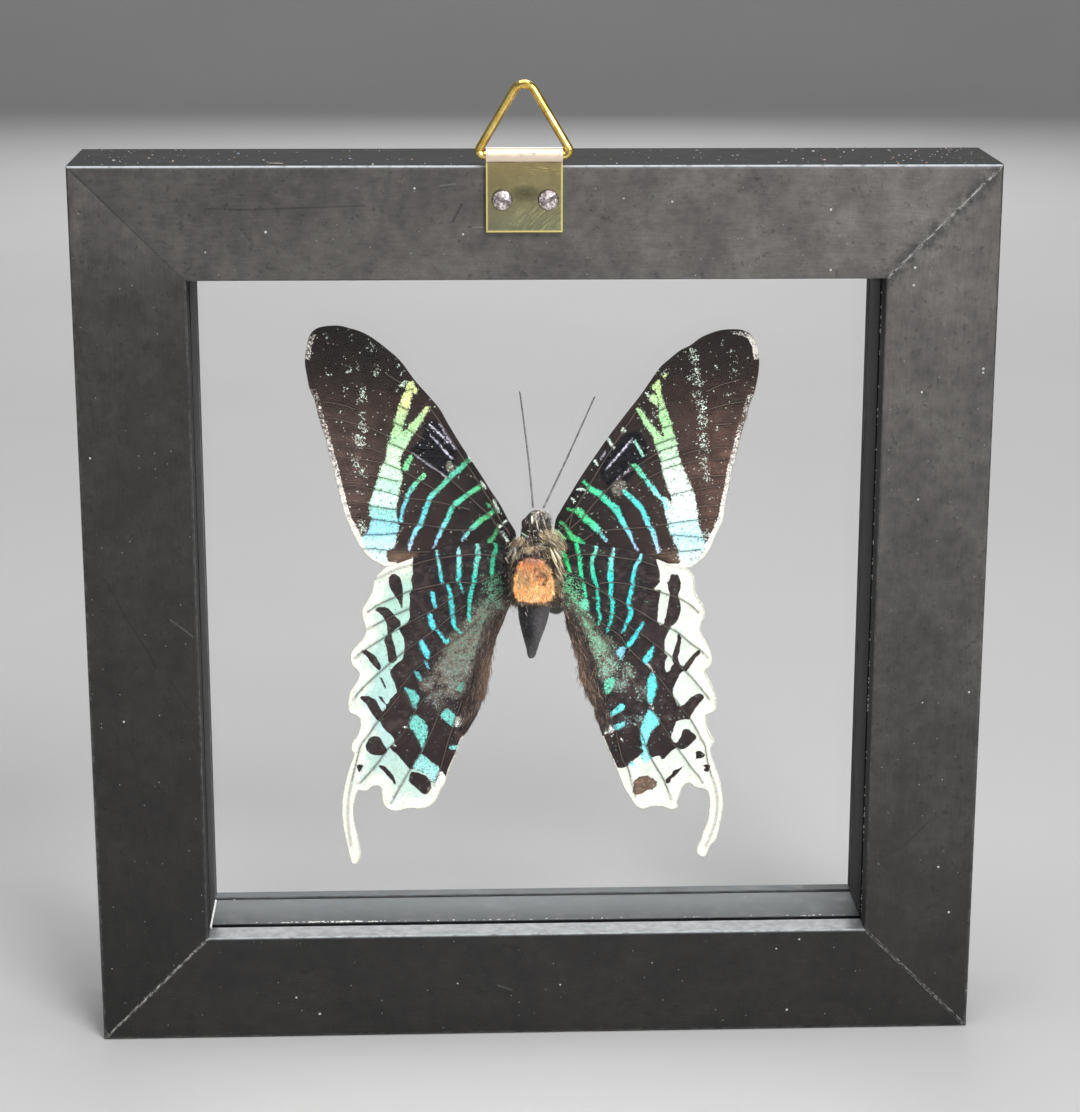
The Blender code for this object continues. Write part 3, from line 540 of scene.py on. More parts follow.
LEFT_HINDWING_SHAPES = {
    "disc": [(-21.10, 83.92), (-21.22, 81.61), (-21.14, 80.99), (-21.50, 79.48), (-21.25, 78.32), (-21.35, 77.87), (-21.80,
        77.16), (-21.71, 76.09), (-21.84, 74.30), (-21.75, 72.95), (-22.45, 71.79), (-23.06, 71.43), (-23.67, 70.90), (-23.34,
        70.18), (-22.83, 68.91), (-22.79, 67.10), (-23.14, 65.48), (-23.75, 64.94), (-24.63, 64.22), (-25.34, 63.05), (-24.92,
        61.87), (-24.50, 60.77), (-24.17, 59.49), (-24.70, 58.95), (-25.41, 58.05), (-25.59, 57.50), (-25.94, 57.32), (-26.30,
        56.34), (-26.74, 55.96), (-27.64, 54.30), (-27.20, 54.23), (-26.87, 53.31), (-26.25, 52.45), (-25.49, 51.82), (-24.81,
        50.89), (-24.75, 49.97), (-25.52, 49.61), (-25.10, 48.69), (-24.23, 47.94), (-23.37, 46.82), (-22.77, 46.07), (-22.08,
        45.25), (-21.55, 45.32), (-21.38, 45.32), (-20.33, 44.93), (-19.02, 44.17), (-18.42, 43.24), (-17.89, 42.68), (-15.60,
        43.95), (-11.55, 45.94), (-2.74, 57.80), (0.74, 75.88), (-2.70, 86.61), (-21.07, 86.76)],
    "A": [(-24.92, 80.58), (-24.23, 80.75), (-23.38, 80.12), (-23.05, 78.96), (-22.89, 77.88), (-22.92, 76.10), (-23.11, 74.49),
        (-23.45, 75.21), (-23.95, 76.29), (-24.71, 77.45), (-25.23, 78.62), (-25.31, 79.87)],
    "B": [(-27.66, 74.71), (-26.72, 74.88), (-25.61, 74.69), (-25.01, 74.15), (-24.33, 73.24), (-23.48, 72.34), (-23.39, 71.44),
        (-23.93, 71.17), (-24.37, 70.73), (-24.89, 70.28), (-24.82, 68.93), (-24.41, 67.84), (-24.25, 66.66), (-24.09, 65.49),
        (-24.62, 64.86), (-25.31, 64.77), (-25.65, 65.50), (-25.72, 66.68), (-25.96, 67.86), (-26.29, 68.94), (-25.76, 69.66),
        (-25.66, 70.74), (-25.90, 72.09), (-26.49, 73.26), (-27.60, 74.17)],
    "C": [(-30.30, 67.00), (-29.26, 67.17), (-28.58, 66.62), (-27.72, 66.07), (-27.47, 65.34), (-26.94, 64.61), (-26.89, 63.70),
        (-27.24, 63.42), (-27.92, 63.99), (-28.67, 64.90), (-29.45, 66.08)],
    "Cs": [(-27.15, 62.25), (-26.74, 62.07), (-25.97, 60.33), (-26.25, 60.06)],
    "D": [(-30.61, 58.56), (-29.74, 58.82), (-28.70, 58.63), (-27.84, 58.07), (-27.16, 57.34), (-26.48, 56.23), (-26.50, 54.40),
        (-27.64, 54.30), (-28.23, 55.15), (-28.75, 55.80), (-29.34, 56.99)],
    "Dfinger": [(-27.48, 58.87), (-26.70, 58.52), (-26.28, 57.60), (-25.94, 57.32), (-25.60, 56.77), (-26.46, 57.42), (-27.31,
        58.43)],
    "E": [(-29.71, 50.03), (-28.99, 51.13), (-28.11, 51.48), (-27.25, 51.20), (-26.91, 50.55), (-26.40, 49.62), (-25.97, 48.88),
        (-26.42, 48.15), (-27.30, 47.86), (-28.34, 47.99), (-29.21, 48.37), (-29.72, 49.11)],
    "F": [(-31.35, 46.18), (-30.71, 46.35), (-30.21, 46.05), (-30.66, 45.24), (-31.02, 44.69)],
    "G": [(-27.67, 46.02), (-26.88, 46.12), (-26.02, 45.37), (-25.16, 44.44), (-24.73, 43.32), (-24.57, 42.28), (-25.09, 42.95),
        (-25.78, 43.80), (-26.47, 44.64), (-27.33, 45.57)],
    "H": [(-22.27, 43.75), (-21.91, 44.77), (-21.03, 44.76), (-19.90, 44.37), (-18.94, 43.71), (-18.42, 42.50), (-18.50, 41.38),
        (-19.32, 40.57), (-20.20, 40.85), (-20.80, 41.60), (-21.67, 42.35), (-22.21, 42.92)],
    "mint": [(-27.83, 58.53), (-27.32, 58.25), (-26.40, 56.96), (-26.30, 56.34), (-26.74, 55.96), (-27.17, 56.70), (-27.67,
        57.71)],
}
LEFT_HINDWING_VEINS = [
    [(-27.51, 79.89), (-23.36, 81.81), (-21.12, 82.32), (-18.19, 83.19), (-13.03, 83.94), (-10.45, 84.10), (-8.39, 83.99),
        (-6.67, 83.62), (-4.78, 82.18)],
    [(-28.98, 74.00), (-26.89, 75.42), (-24.12, 76.64), (-21.35, 77.78), (-17.03, 78.72), (-13.92, 79.23), (-10.48, 79.02),
        (-7.89, 80.07), (-5.64, 80.94)],
    [(-29.38, 70.77), (-26.42, 72.36), (-24.33, 73.42), (-21.90, 74.48)],
    [(-31.36, 65.74), (-29.61, 67.17), (-25.76, 69.66), (-24.37, 70.55), (-21.76, 72.14), (-19.15, 73.55), (-17.07, 74.61),
        (-15.33, 75.85), (-12.56, 77.43)],
    [(-31.84, 58.12), (-30.59, 59.74), (-28.83, 61.55), (-25.66, 64.42), (-22.69, 66.92), (-20.94, 68.17), (-17.10, 71.01),
        (-13.97, 73.68), (-12.06, 75.10)],
    [(-23.64, 60.22), (-20.99, 63.46), (-17.49, 66.14), (-15.05, 68.11), (-12.26, 70.16), (-9.65, 72.92)],
    [(-32.66, 31.29), (-33.08, 36.91), (-32.65, 41.56), (-31.33, 47.10), (-30.58, 49.86), (-29.51, 51.32), (-27.37, 54.41),
        (-25.43, 56.59), (-23.65, 58.94)],
    [(-30.88, 42.84), (-29.09, 44.85), (-27.31, 47.05), (-26.06, 48.88), (-24.64, 50.34), (-22.86, 52.53), (-21.08, 55.81),
        (-19.31, 58.53)],
    [(-25.49, 39.05), (-23.87, 42.01), (-22.08, 45.14), (-19.94, 48.81), (-18.51, 51.56), (-17.08, 55.21), (-16.18, 57.95)],
    [(-17.90, 42.30), (-16.82, 45.07), (-15.55, 49.68), (-14.11, 54.26), (-12.87, 57.91)],
]
LEFT_HINDWING_TAN = [(-19.05, 41.58), (-18.08, 41.84), (-17.03, 41.36), (-17.39, 40.07), (-18.46, 39.15), (-18.98, 39.90)]
LEFT_HINDWING_DUST = [
    ([(-9.63, 75.97), (-6.17, 78.63), (-5.83, 75.94), (-7.57, 72.36), (-9.68, 66.97), (-11.44, 63.00), (-12.85, 59.73), (-14.08,
        58.84), (-16.68, 59.78), (-17.17, 63.42), (-15.75, 67.03), (-14.00, 69.72), (-11.38, 72.76)], 0.42),
    ([(-8.75, 79.90), (-6.16, 79.88), (-6.18, 74.69), (-8.43, 75.25)], 0.6),
    ([(-18.43, 58.88), (-16.69, 58.86), (-16.54, 56.12), (-18.29, 56.32)], 0.35),
    ([(-19.45, 61.44), (-18.24, 61.25), (-18.25, 60.16), (-19.29, 60.35)], 0.5),
]
# ---- left hindwing patch ----
LEFT_HINDWING_PATCH_SHAPES = {
    "P0": [(-21.10, 63.28), (-20.48, 63.09), (-19.88, 62.18), (-19.71, 61.45), (-20.32, 61.45), (-20.83, 62.37)],
    "P1": [(-22.87, 60.21), (-21.90, 60.01), (-21.04, 59.64), (-20.28, 58.45), (-20.63, 57.08), (-20.97, 56.28), (-21.42,
        56.91), (-21.93, 58.01)],
    "P2": [(-22.07, 54.35), (-21.61, 55.15), (-20.98, 55.25), (-20.22, 54.79), (-19.36, 53.86), (-18.93, 52.66), (-18.86,
        51.56), (-19.39, 50.46), (-19.85, 48.99), (-20.27, 49.92), (-20.96, 51.40), (-21.56, 52.33), (-22.16, 53.25)],
    "P3": [(-20.12, 48.07), (-19.25, 47.42), (-18.12, 46.48), (-17.16, 45.82), (-16.82, 44.89), (-17.27, 43.97), (-17.89,
        42.77), (-18.42, 43.24), (-19.02, 44.17), (-20.33, 44.93), (-21.38, 45.32), (-21.54, 46.06), (-21.01, 46.98), (-20.47,
        47.71)],
    "P3w": [(-16.82, 44.89), (-16.47, 44.70), (-15.85, 43.67), (-15.96, 42.74), (-16.67, 41.55), (-17.73, 41.56), (-17.90,
        42.49), (-17.27, 43.78)],
    "P4": [(-16.62, 55.02), (-15.84, 56.30), (-15.08, 56.10), (-13.93, 55.18), (-14.22, 54.08), (-14.30, 52.98), (-15.00,
        53.35), (-16.04, 54.28)],
    "P4w": [(-13.76, 54.81), (-12.37, 54.42), (-12.48, 53.32), (-13.43, 52.97), (-14.12, 53.23)],
    "Pb": [(-15.20, 49.49), (-13.63, 49.55), (-13.72, 48.74), (-15.12, 48.94)],
    "teal": [(-13.54, 60.84), (-12.84, 61.01), (-12.50, 60.10), (-13.03, 59.37), (-13.72, 59.74)],
    "s5a": [(-20.07, 68.88), (-19.63, 68.98), (-19.04, 67.79), (-18.25, 66.60), (-18.36, 65.97), (-18.89, 65.25), (-19.23,
        65.98), (-19.91, 67.07), (-20.18, 68.16)],
    "s4a": [(-18.63, 73.55), (-18.11, 73.81), (-17.78, 72.91), (-17.34, 71.56), (-17.28, 70.84), (-17.89, 70.48), (-18.41,
        71.57), (-18.64, 72.65)],
    "s4b": [(-17.10, 70.83), (-16.42, 70.20), (-15.63, 69.02), (-14.87, 68.83), (-15.57, 68.11), (-16.17, 68.84), (-17.03,
        69.93)],
    "s4u": [(-18.08, 77.48), (-17.49, 77.39), (-17.30, 76.04), (-17.07, 74.70), (-17.52, 74.36), (-17.84, 75.33), (-18.08,
        76.77)],
}
LEFT_HINDWING_PATCH_STREAKS = {
    "s5b": [(-19.24, 65.07, 0.43), (-18.90, 64.35, 0.43), (-18.56, 63.62, 0.34)],
    "s3a": [(-17.06, 84.78, 0.51), (-16.81, 83.35, 0.60), (-16.57, 81.75, 0.68), (-16.33, 80.32, 0.68), (-16.08, 78.98, 0.60)],
    "s3b": [(-15.22, 78.71, 0.68), (-14.80, 77.45, 0.85), (-14.64, 76.02, 1.02), (-14.48, 74.58, 1.02), (-14.40, 73.15, 0.94),
        (-14.24, 71.71, 0.85), (-13.82, 70.80, 0.68), (-12.95, 70.07, 0.51)],
    "s2": [(-13.28, 85.10, 0.51), (-13.24, 83.86, 0.85), (-13.25, 82.26, 1.02), (-13.26, 80.65, 0.94), (-13.41, 79.23, 0.68)],
    "s2b": [(-13.07, 78.87, 0.51), (-12.81, 78.06, 0.51), (-12.56, 77.25, 0.43)],
    "s1": [(-10.10, 85.78, 0.68), (-9.93, 85.07, 0.85), (-9.93, 83.83, 1.02), (-10.20, 82.59, 1.11), (-10.38, 81.16, 1.02),
        (-10.56, 79.92, 0.94), (-10.74, 78.85, 0.94), (-11.09, 77.78, 0.85), (-11.36, 76.53, 0.85), (-11.45, 75.09, 0.77),
        (-11.55, 73.84, 0.68), (-11.55, 72.76, 0.68), (-11.38, 72.04, 0.51)],
    "s0": [(-7.00, 85.93, 0.68), (-6.83, 85.05, 0.85), (-7.18, 83.98, 0.94), (-7.44, 82.74, 1.02), (-7.54, 81.49, 0.94), (-7.54,
        80.07, 0.68)],
    "w1": [(-23.03, 53.08, 0.34), (-22.68, 53.07, 0.34)],
    "w2": [(-24.91, 49.86, 0.34), (-24.65, 49.68, 0.34)],
    "b2": [(-19.40, 50.09, 0.37), (-19.67, 49.17, 0.37), (-19.94, 48.44, 0.34)],
}
# ---- right hindwing ----
RIGHT_HINDWING_OUTLINE = [(4.53, 85.48), (6.25, 85.82), (7.80, 85.81), (11.26, 85.25), (14.54, 84.90), (16.70, 84.31), (18.87, 83.76), (21.04, 82.85),
    (23.22, 81.94), (24.96, 81.39), (26.49, 80.93), (27.38, 79.44), (27.52, 77.43), (28.17, 75.84), (28.97, 74.72), (29.32,
    73.36), (29.23, 72.23), (28.70, 70.93), (28.71, 69.75), (29.40, 68.39), (29.96, 67.29), (30.53, 65.87), (30.70, 64.74),
    (30.46, 63.65), (29.77, 63.15), (29.60, 62.75), (30.05, 61.56), (30.69, 60.40), (31.20, 59.07), (31.54, 57.64), (31.58,
    55.80), (30.78, 55.13), (29.90, 54.68), (29.85, 53.76), (30.12, 52.37), (30.78, 50.98), (31.36, 49.86), (30.88, 48.94),
    (30.72, 48.20), (31.19, 46.34), (31.84, 44.48), (32.48, 42.60), (32.79, 40.73), (33.09, 38.86), (33.12, 37.21), (32.88,
    35.58), (32.62, 34.17), (32.31, 32.76), (31.89, 31.35), (31.01, 30.42), (30.50, 29.01), (30.05, 28.35), (29.26, 28.44),
    (28.72, 29.03), (28.63, 29.73), (28.87, 30.68), (29.39, 31.61), (29.72, 33.08), (30.17, 34.20), (30.57, 35.61), (30.73,
    37.01), (30.77, 38.42), (30.65, 39.64), (30.40, 40.58), (29.95, 40.88), (29.06, 41.15), (28.17, 41.35), (27.45, 41.96),
    (26.83, 42.12), (26.18, 41.75), (25.70, 40.82), (25.43, 39.71), (25.00, 38.85), (25.01, 38.25), (25.12, 37.65), (24.47,
    37.32), (23.79, 37.33), (23.08, 37.58), (22.19, 37.88), (21.12, 37.89), (20.03, 37.72), (18.91, 37.39), (18.25, 37.65),
    (17.58, 38.12), (17.13, 38.88), (16.46, 40.01), (15.78, 41.17), (15.33, 42.11), (14.98, 43.05), (14.42, 44.50), (13.87,
    45.63), (13.19, 47.30), (12.52, 48.88), (11.97, 50.28), (11.47, 51.67), (11.07, 53.05), (10.57, 54.90), (10.28, 56.55), (9.29,
    58.12), (8.41, 59.96), (7.91, 61.79), (7.62, 64.29), (6.95, 66.35), (6.07, 68.62), (5.52, 70.43), (5.26, 72.24)]
RIGHT_HINDWING_SHAPES = {
    "disc": [(20.77, 84.28), (20.78, 82.85), (21.05, 81.96), (21.39, 80.88), (21.48, 79.72), (21.42, 78.83), (20.99, 78.20),
        (20.46, 77.71), (20.67, 77.38), (21.54, 77.48), (21.55, 76.58), (21.36, 75.24), (21.23, 73.89), (21.16, 72.54), (21.07,
        71.91), (21.62, 71.07), (22.14, 71.28), (23.79, 71.16), (23.37, 70.48), (23.16, 70.15), (22.68, 69.18), (22.42, 68.00),
        (22.43, 66.86), (22.44, 66.10), (22.99, 65.55), (22.57, 64.64), (22.48, 63.46), (22.93, 62.54), (23.46, 62.99), (23.63,
        63.72), (24.11, 64.12), (24.85, 64.25), (25.31, 63.89), (25.87, 63.42), (25.88, 62.86), (25.39, 62.52), (25.22, 62.28),
        (24.80, 61.37), (24.27, 60.25), (24.04, 59.33), (23.95, 58.88), (24.19, 57.96), (24.59, 57.04), (25.31, 56.22), (26.18,
        56.38), (26.89, 53.90), (26.22, 54.17), (25.45, 53.81), (24.64, 53.47), (24.37, 52.72), (24.13, 51.80), (23.79, 50.88),
        (23.96, 50.14), (24.52, 49.67), (25.19, 49.66), (25.06, 48.64), (24.97, 48.85), (24.09, 48.28), (23.22, 47.37), (22.58,
        46.67), (22.09, 46.45), (21.90, 47.20), (21.19, 47.21), (20.32, 46.85), (20.03, 47.22), (19.25, 47.88), (18.16, 47.24),
        (17.06, 46.33), (16.27, 45.60), (15.53, 45.14), (14.42, 45.06), (11.32, 46.58), (4.23, 68.64), (1.60, 83.02), (5.04,
        88.32), (17.98, 86.44)],
    "A": [(23.76, 80.26), (24.54, 80.14), (24.88, 79.46), (25.10, 78.56), (25.01, 77.45), (24.68, 76.38), (24.94, 75.47),
        (25.16, 74.30), (25.07, 73.17), (24.74, 72.27), (24.40, 71.60), (23.79, 70.98), (23.02, 70.62), (22.31, 70.99), (22.14,
        71.28), (22.47, 72.29), (22.78, 73.87), (22.96, 75.22), (23.18, 76.57), (22.93, 77.47), (22.72, 78.82), (23.05, 79.08),
        (23.41, 80.37)],
    "B": [(24.91, 69.70), (25.31, 68.65), (25.15, 67.34), (25.06, 66.16), (24.74, 65.26), (25.20, 63.89), (24.51, 63.53),
        (23.77, 64.81), (23.95, 66.17), (24.28, 67.35), (24.60, 68.44), (24.60, 69.34)],
    "C": [(28.56, 66.58), (28.84, 66.40), (28.46, 65.67), (27.81, 64.99), (27.13, 63.87), (26.53, 62.96), (25.88, 62.69),
        (25.38, 63.34), (25.64, 63.52), (26.24, 64.33), (26.93, 65.23), (27.59, 65.90), (28.12, 66.48)],
    "D": [(25.31, 56.22), (26.18, 56.78), (26.83, 57.69), (27.70, 58.27), (28.58, 58.59), (29.23, 58.47), (29.46, 57.90),
        (28.81, 56.99), (27.95, 55.84), (27.26, 54.71), (26.89, 53.90), (26.22, 53.99), (25.51, 53.99)],
    "E": [(25.81, 51.96), (26.68, 52.17), (27.31, 51.59), (28.13, 51.01), (28.14, 50.31), (27.34, 49.39), (26.73, 48.83),
        (25.86, 48.37), (25.06, 48.64), (24.78, 49.66), (25.38, 50.58), (25.71, 51.50)],
    "G": [(26.24, 45.29), (25.47, 44.55), (24.60, 43.45), (23.90, 42.94), (23.73, 42.25), (23.02, 42.16), (22.84, 42.72),
        (23.27, 43.30), (23.89, 43.64), (24.14, 44.38), (25.02, 44.78)],
    "F1": [(28.18, 47.88), (28.95, 48.04), (29.74, 47.40), (29.41, 46.74), (28.62, 46.60), (28.09, 46.38), (28.26, 47.12)],
    "F2": [(29.52, 45.43), (30.65, 45.53), (30.67, 44.71), (30.24, 44.14), (29.54, 44.50), (29.89, 44.97)],
}
RIGHT_HINDWING_VEINS = [
    [(4.37, 82.32), (5.23, 83.20), (6.35, 83.76), (8.07, 83.96), (10.88, 83.83), (13.25, 83.47), (15.59, 83.11), (17.81, 82.77),
        (19.54, 82.19), (20.79, 81.78)],
    [(11.12, 78.69), (12.42, 78.91), (14.59, 78.80), (16.76, 78.42), (18.93, 77.86), (20.67, 77.38), (22.42, 76.79), (24.60,
        76.02), (25.70, 75.47), (26.79, 74.74), (27.67, 73.94), (28.20, 73.37)],
    [(4.85, 81.42), (6.58, 80.12), (8.70, 78.94), (10.70, 77.79), (12.44, 76.67), (14.61, 75.57), (16.80, 74.38), (18.98,
        73.01), (21.17, 71.63), (23.15, 70.62), (24.68, 69.79), (26.01, 68.64), (27.33, 67.50), (28.66, 66.58), (29.99, 65.20)],
    [(11.81, 73.98), (13.56, 73.06), (15.08, 71.96), (16.83, 70.54), (18.58, 69.40), (20.34, 68.02), (21.84, 66.87), (23.43,
        65.54), (24.76, 64.11), (25.88, 62.97), (27.43, 61.35), (28.95, 59.50), (30.35, 57.65)],
    [(11.17, 71.82), (12.91, 70.54), (14.66, 69.26), (15.55, 67.84), (16.87, 66.25), (18.19, 64.87), (19.96, 63.25), (20.84,
        62.33), (22.18, 60.73), (23.51, 58.88), (25.48, 56.11), (26.88, 54.25), (28.00, 52.40), (29.09, 50.30), (29.82, 48.96),
        (30.02, 47.29), (30.41, 45.42), (30.97, 43.56), (31.83, 40.97), (32.13, 37.93), (31.66, 34.18), (30.30, 30.43)],
    [(15.59, 63.08), (16.92, 61.06), (18.25, 59.40), (19.68, 57.00), (21.47, 54.08), (22.51, 52.46), (23.62, 50.60), (24.08,
        49.43), (25.20, 48.27), (26.32, 46.63), (27.41, 45.00), (28.58, 43.59), (29.49, 42.18)],
    [(17.06, 54.82), (18.32, 51.86), (19.41, 49.08), (20.03, 47.41), (20.59, 46.29), (21.22, 45.07), (22.39, 43.20), (23.95,
        39.20)],
    [(13.92, 52.56), (14.62, 49.14), (15.29, 46.54), (16.18, 45.13), (16.64, 43.55), (17.19, 41.40), (17.56, 39.81)],
    [(4.38, 77.46), (6.38, 75.38), (8.73, 72.66), (10.74, 70.83), (12.41, 68.38), (13.82, 65.64), (15.59, 63.08)],
]
RIGHT_HINDWING_TAN = [(17.18, 42.33), (17.71, 43.01), (18.58, 43.52), (19.73, 43.58), (20.62, 42.98), (21.41, 42.18), (21.08, 41.35), (20.20, 41.00),
    (19.32, 40.55), (18.44, 40.09), (17.56, 40.10), (17.19, 40.93), (17.17, 41.68)]
RIGHT_HINDWING_DUST = [
    ([(5.49, 80.31), (6.26, 79.86), (6.37, 77.62), (7.67, 76.03), (7.85, 74.01), (9.60, 71.30), (11.19, 68.79), (12.94, 66.29),
        (12.54, 61.74), (11.33, 62.67), (10.77, 64.95), (10.33, 66.31), (9.45, 68.59), (8.35, 71.31), (7.25, 73.57), (5.94,
        75.65), (4.86, 77.63)], 0.75),
    ([(11.19, 68.03), (12.41, 68.56), (14.01, 64.46), (13.85, 62.18), (12.44, 63.47)], 0.5),
    ([(17.72, 59.77), (19.12, 59.94), (19.31, 58.10), (17.91, 58.30)], 0.4),
    ([(6.10, 79.77), (7.66, 79.04), (7.85, 76.17), (6.45, 77.62)], 0.35),
    ([(15.76, 63.62), (16.65, 61.97), (16.13, 60.88), (15.09, 60.16), (14.21, 59.99), (14.21, 60.72), (15.26, 61.07), (15.77,
        61.98)], 0.6),
    ([(18.29, 55.36), (19.17, 55.17), (18.83, 53.89), (18.13, 53.89)], 0.4),
    ([(15.49, 53.74), (16.72, 54.28), (16.55, 53.73), (15.50, 53.19)], 0.5),
]
# ---- right hindwing patch ----
RIGHT_HINDWING_PATCH_SHAPES = {
    "P0": [(20.44, 67.57), (20.68, 67.39), (20.45, 66.21), (20.11, 65.07), (19.74, 64.40), (19.08, 64.06), (18.53, 64.76),
        (19.06, 65.59), (19.71, 66.49)],
    "P1": [(20.30, 62.57), (20.85, 61.93), (20.96, 61.01), (21.39, 60.28), (20.98, 59.59), (20.89, 58.67), (20.55, 57.54),
        (20.12, 56.63), (19.58, 57.55), (19.47, 58.69), (19.45, 59.84), (19.44, 61.03), (19.76, 61.94)],
    "P2": [(19.60, 55.53), (20.38, 55.60), (21.11, 54.78), (21.71, 53.96), (21.62, 53.30), (20.96, 52.48), (20.26, 51.56),
        (19.75, 50.41), (19.56, 49.49), (19.23, 48.92), (18.68, 49.50), (18.33, 50.94), (18.32, 52.05), (18.64, 53.19), (19.07,
        54.34)],
    "P3": [(18.35, 48.82), (19.41, 49.08), (19.68, 48.34), (20.13, 47.22), (20.58, 46.47), (20.52, 44.62), (20.35, 43.69),
        (19.73, 44.07), (19.07, 44.17), (18.41, 43.53), (17.71, 43.01), (17.18, 42.80), (16.81, 43.73), (16.27, 45.60), (17.06,
        46.33), (18.16, 47.24), (18.89, 47.98)],
    "P4": [(13.13, 55.33), (14.07, 56.24), (14.94, 56.91), (15.54, 56.68), (15.65, 56.13), (14.78, 55.31), (13.90, 54.97),
        (13.21, 54.32), (13.03, 54.69)],
    "P5w": [(11.82, 51.94), (11.95, 52.69), (13.14, 53.03), (13.57, 52.10), (13.05, 51.56), (12.07, 51.42)],
    "P5": [(13.57, 52.84), (14.79, 53.38), (15.67, 53.46), (15.24, 52.66), (13.92, 52.10)],
    "teal": [(12.11, 61.11), (13.41, 61.73), (13.86, 61.09), (13.52, 59.81), (12.46, 58.54), (11.90, 59.92)],
    "gpatch": [(7.67, 75.63), (8.37, 76.02), (9.06, 75.80), (9.24, 74.72), (9.07, 73.82), (8.20, 74.19), (7.50, 74.74)],
    "lil": [(13.82, 66.37), (14.85, 67.35), (15.73, 67.07), (15.48, 66.17), (14.87, 64.90), (14.35, 65.64)],
}
RIGHT_HINDWING_PATCH_STREAKS = {
    "s0": [(4.53, 84.95, 0.43), (4.88, 84.06, 0.77), (5.23, 82.99, 0.94), (5.57, 81.92, 0.94), (5.92, 80.84, 0.43)],
    "s1": [(7.03, 85.82, 0.85), (7.29, 84.30, 0.85), (7.61, 82.97, 0.77), (7.61, 81.72, 0.94), (7.83, 80.65, 0.77), (8.00,
        79.66, 0.51)],
    "s1b": [(8.27, 78.86, 0.60), (8.45, 77.60, 0.68), (8.71, 76.52, 0.68)],
    "s2": [(10.39, 85.61, 0.51), (10.31, 84.37, 0.68), (9.80, 83.30, 0.85), (9.72, 81.88, 0.77), (9.87, 80.45, 0.85), (10.26,
        79.20, 0.85), (10.61, 77.94, 0.60), (10.70, 76.68, 0.68), (10.80, 75.43, 0.68), (10.80, 74.17, 0.68), (11.07, 73.26,
        0.51), (11.08, 72.36, 0.60), (10.82, 71.46, 0.43)],
    "s3": [(13.41, 85.05, 0.51), (13.34, 84.02, 0.68), (13.00, 82.92, 1.02), (12.94, 81.35, 1.11), (12.85, 79.80, 1.19), (13.03,
        78.90, 0.85), (12.97, 77.56, 0.85), (12.87, 76.56, 0.77), (13.31, 75.76, 0.85), (13.32, 74.68, 0.85), (13.22, 73.28,
        0.85), (13.08, 72.16, 0.68), (12.70, 71.09, 0.60), (12.38, 70.02, 0.51)],
    "s4": [(18.18, 83.77, 0.68), (17.91, 82.88, 0.77), (17.26, 81.99, 0.85), (16.96, 80.66, 0.85), (16.75, 79.53, 0.77), (16.76,
        78.64, 0.85), (16.51, 77.35, 0.85), (16.24, 76.18, 0.85), (16.01, 74.84, 0.77), (16.36, 74.15, 0.85), (16.54, 73.25,
        0.94), (16.03, 72.14, 0.85), (15.69, 71.45, 0.68), (15.32, 70.34, 0.51), (14.83, 69.80, 0.26)],
    "s5": [(18.65, 71.57, 0.51), (18.24, 70.76, 0.77), (17.79, 70.20, 0.85), (17.38, 69.41, 0.94), (16.85, 68.51, 1.02), (16.07,
        67.51, 1.19)],
    "wst": [(19.60, 64.05, 0.34), (19.96, 63.39, 0.34), (20.63, 62.57, 0.27)],
    "wst2": [(20.12, 56.63, 0.31), (20.57, 55.92, 0.34)],
    "q1": [(23.53, 70.89, 0.43), (24.06, 70.43, 0.43), (24.33, 69.89, 0.34)],
    "d1": [(14.82, 50.28, 0.34), (15.17, 50.28, 0.34)],
    "d2": [(13.30, 51.00, 0.31), (13.48, 51.00, 0.31)],
    "d3": [(17.26, 53.20, 0.31), (17.43, 53.20, 0.31)],
}


# ======================================================= the wings
GRID = 0.25  # spacing of a wing's points, mm
SKIN = 0.14  # thickness of a wing
RNG = np.random.default_rng(20260)

WHITE = srgb(246, 248, 242)
MINT = srgb(196, 232, 220)


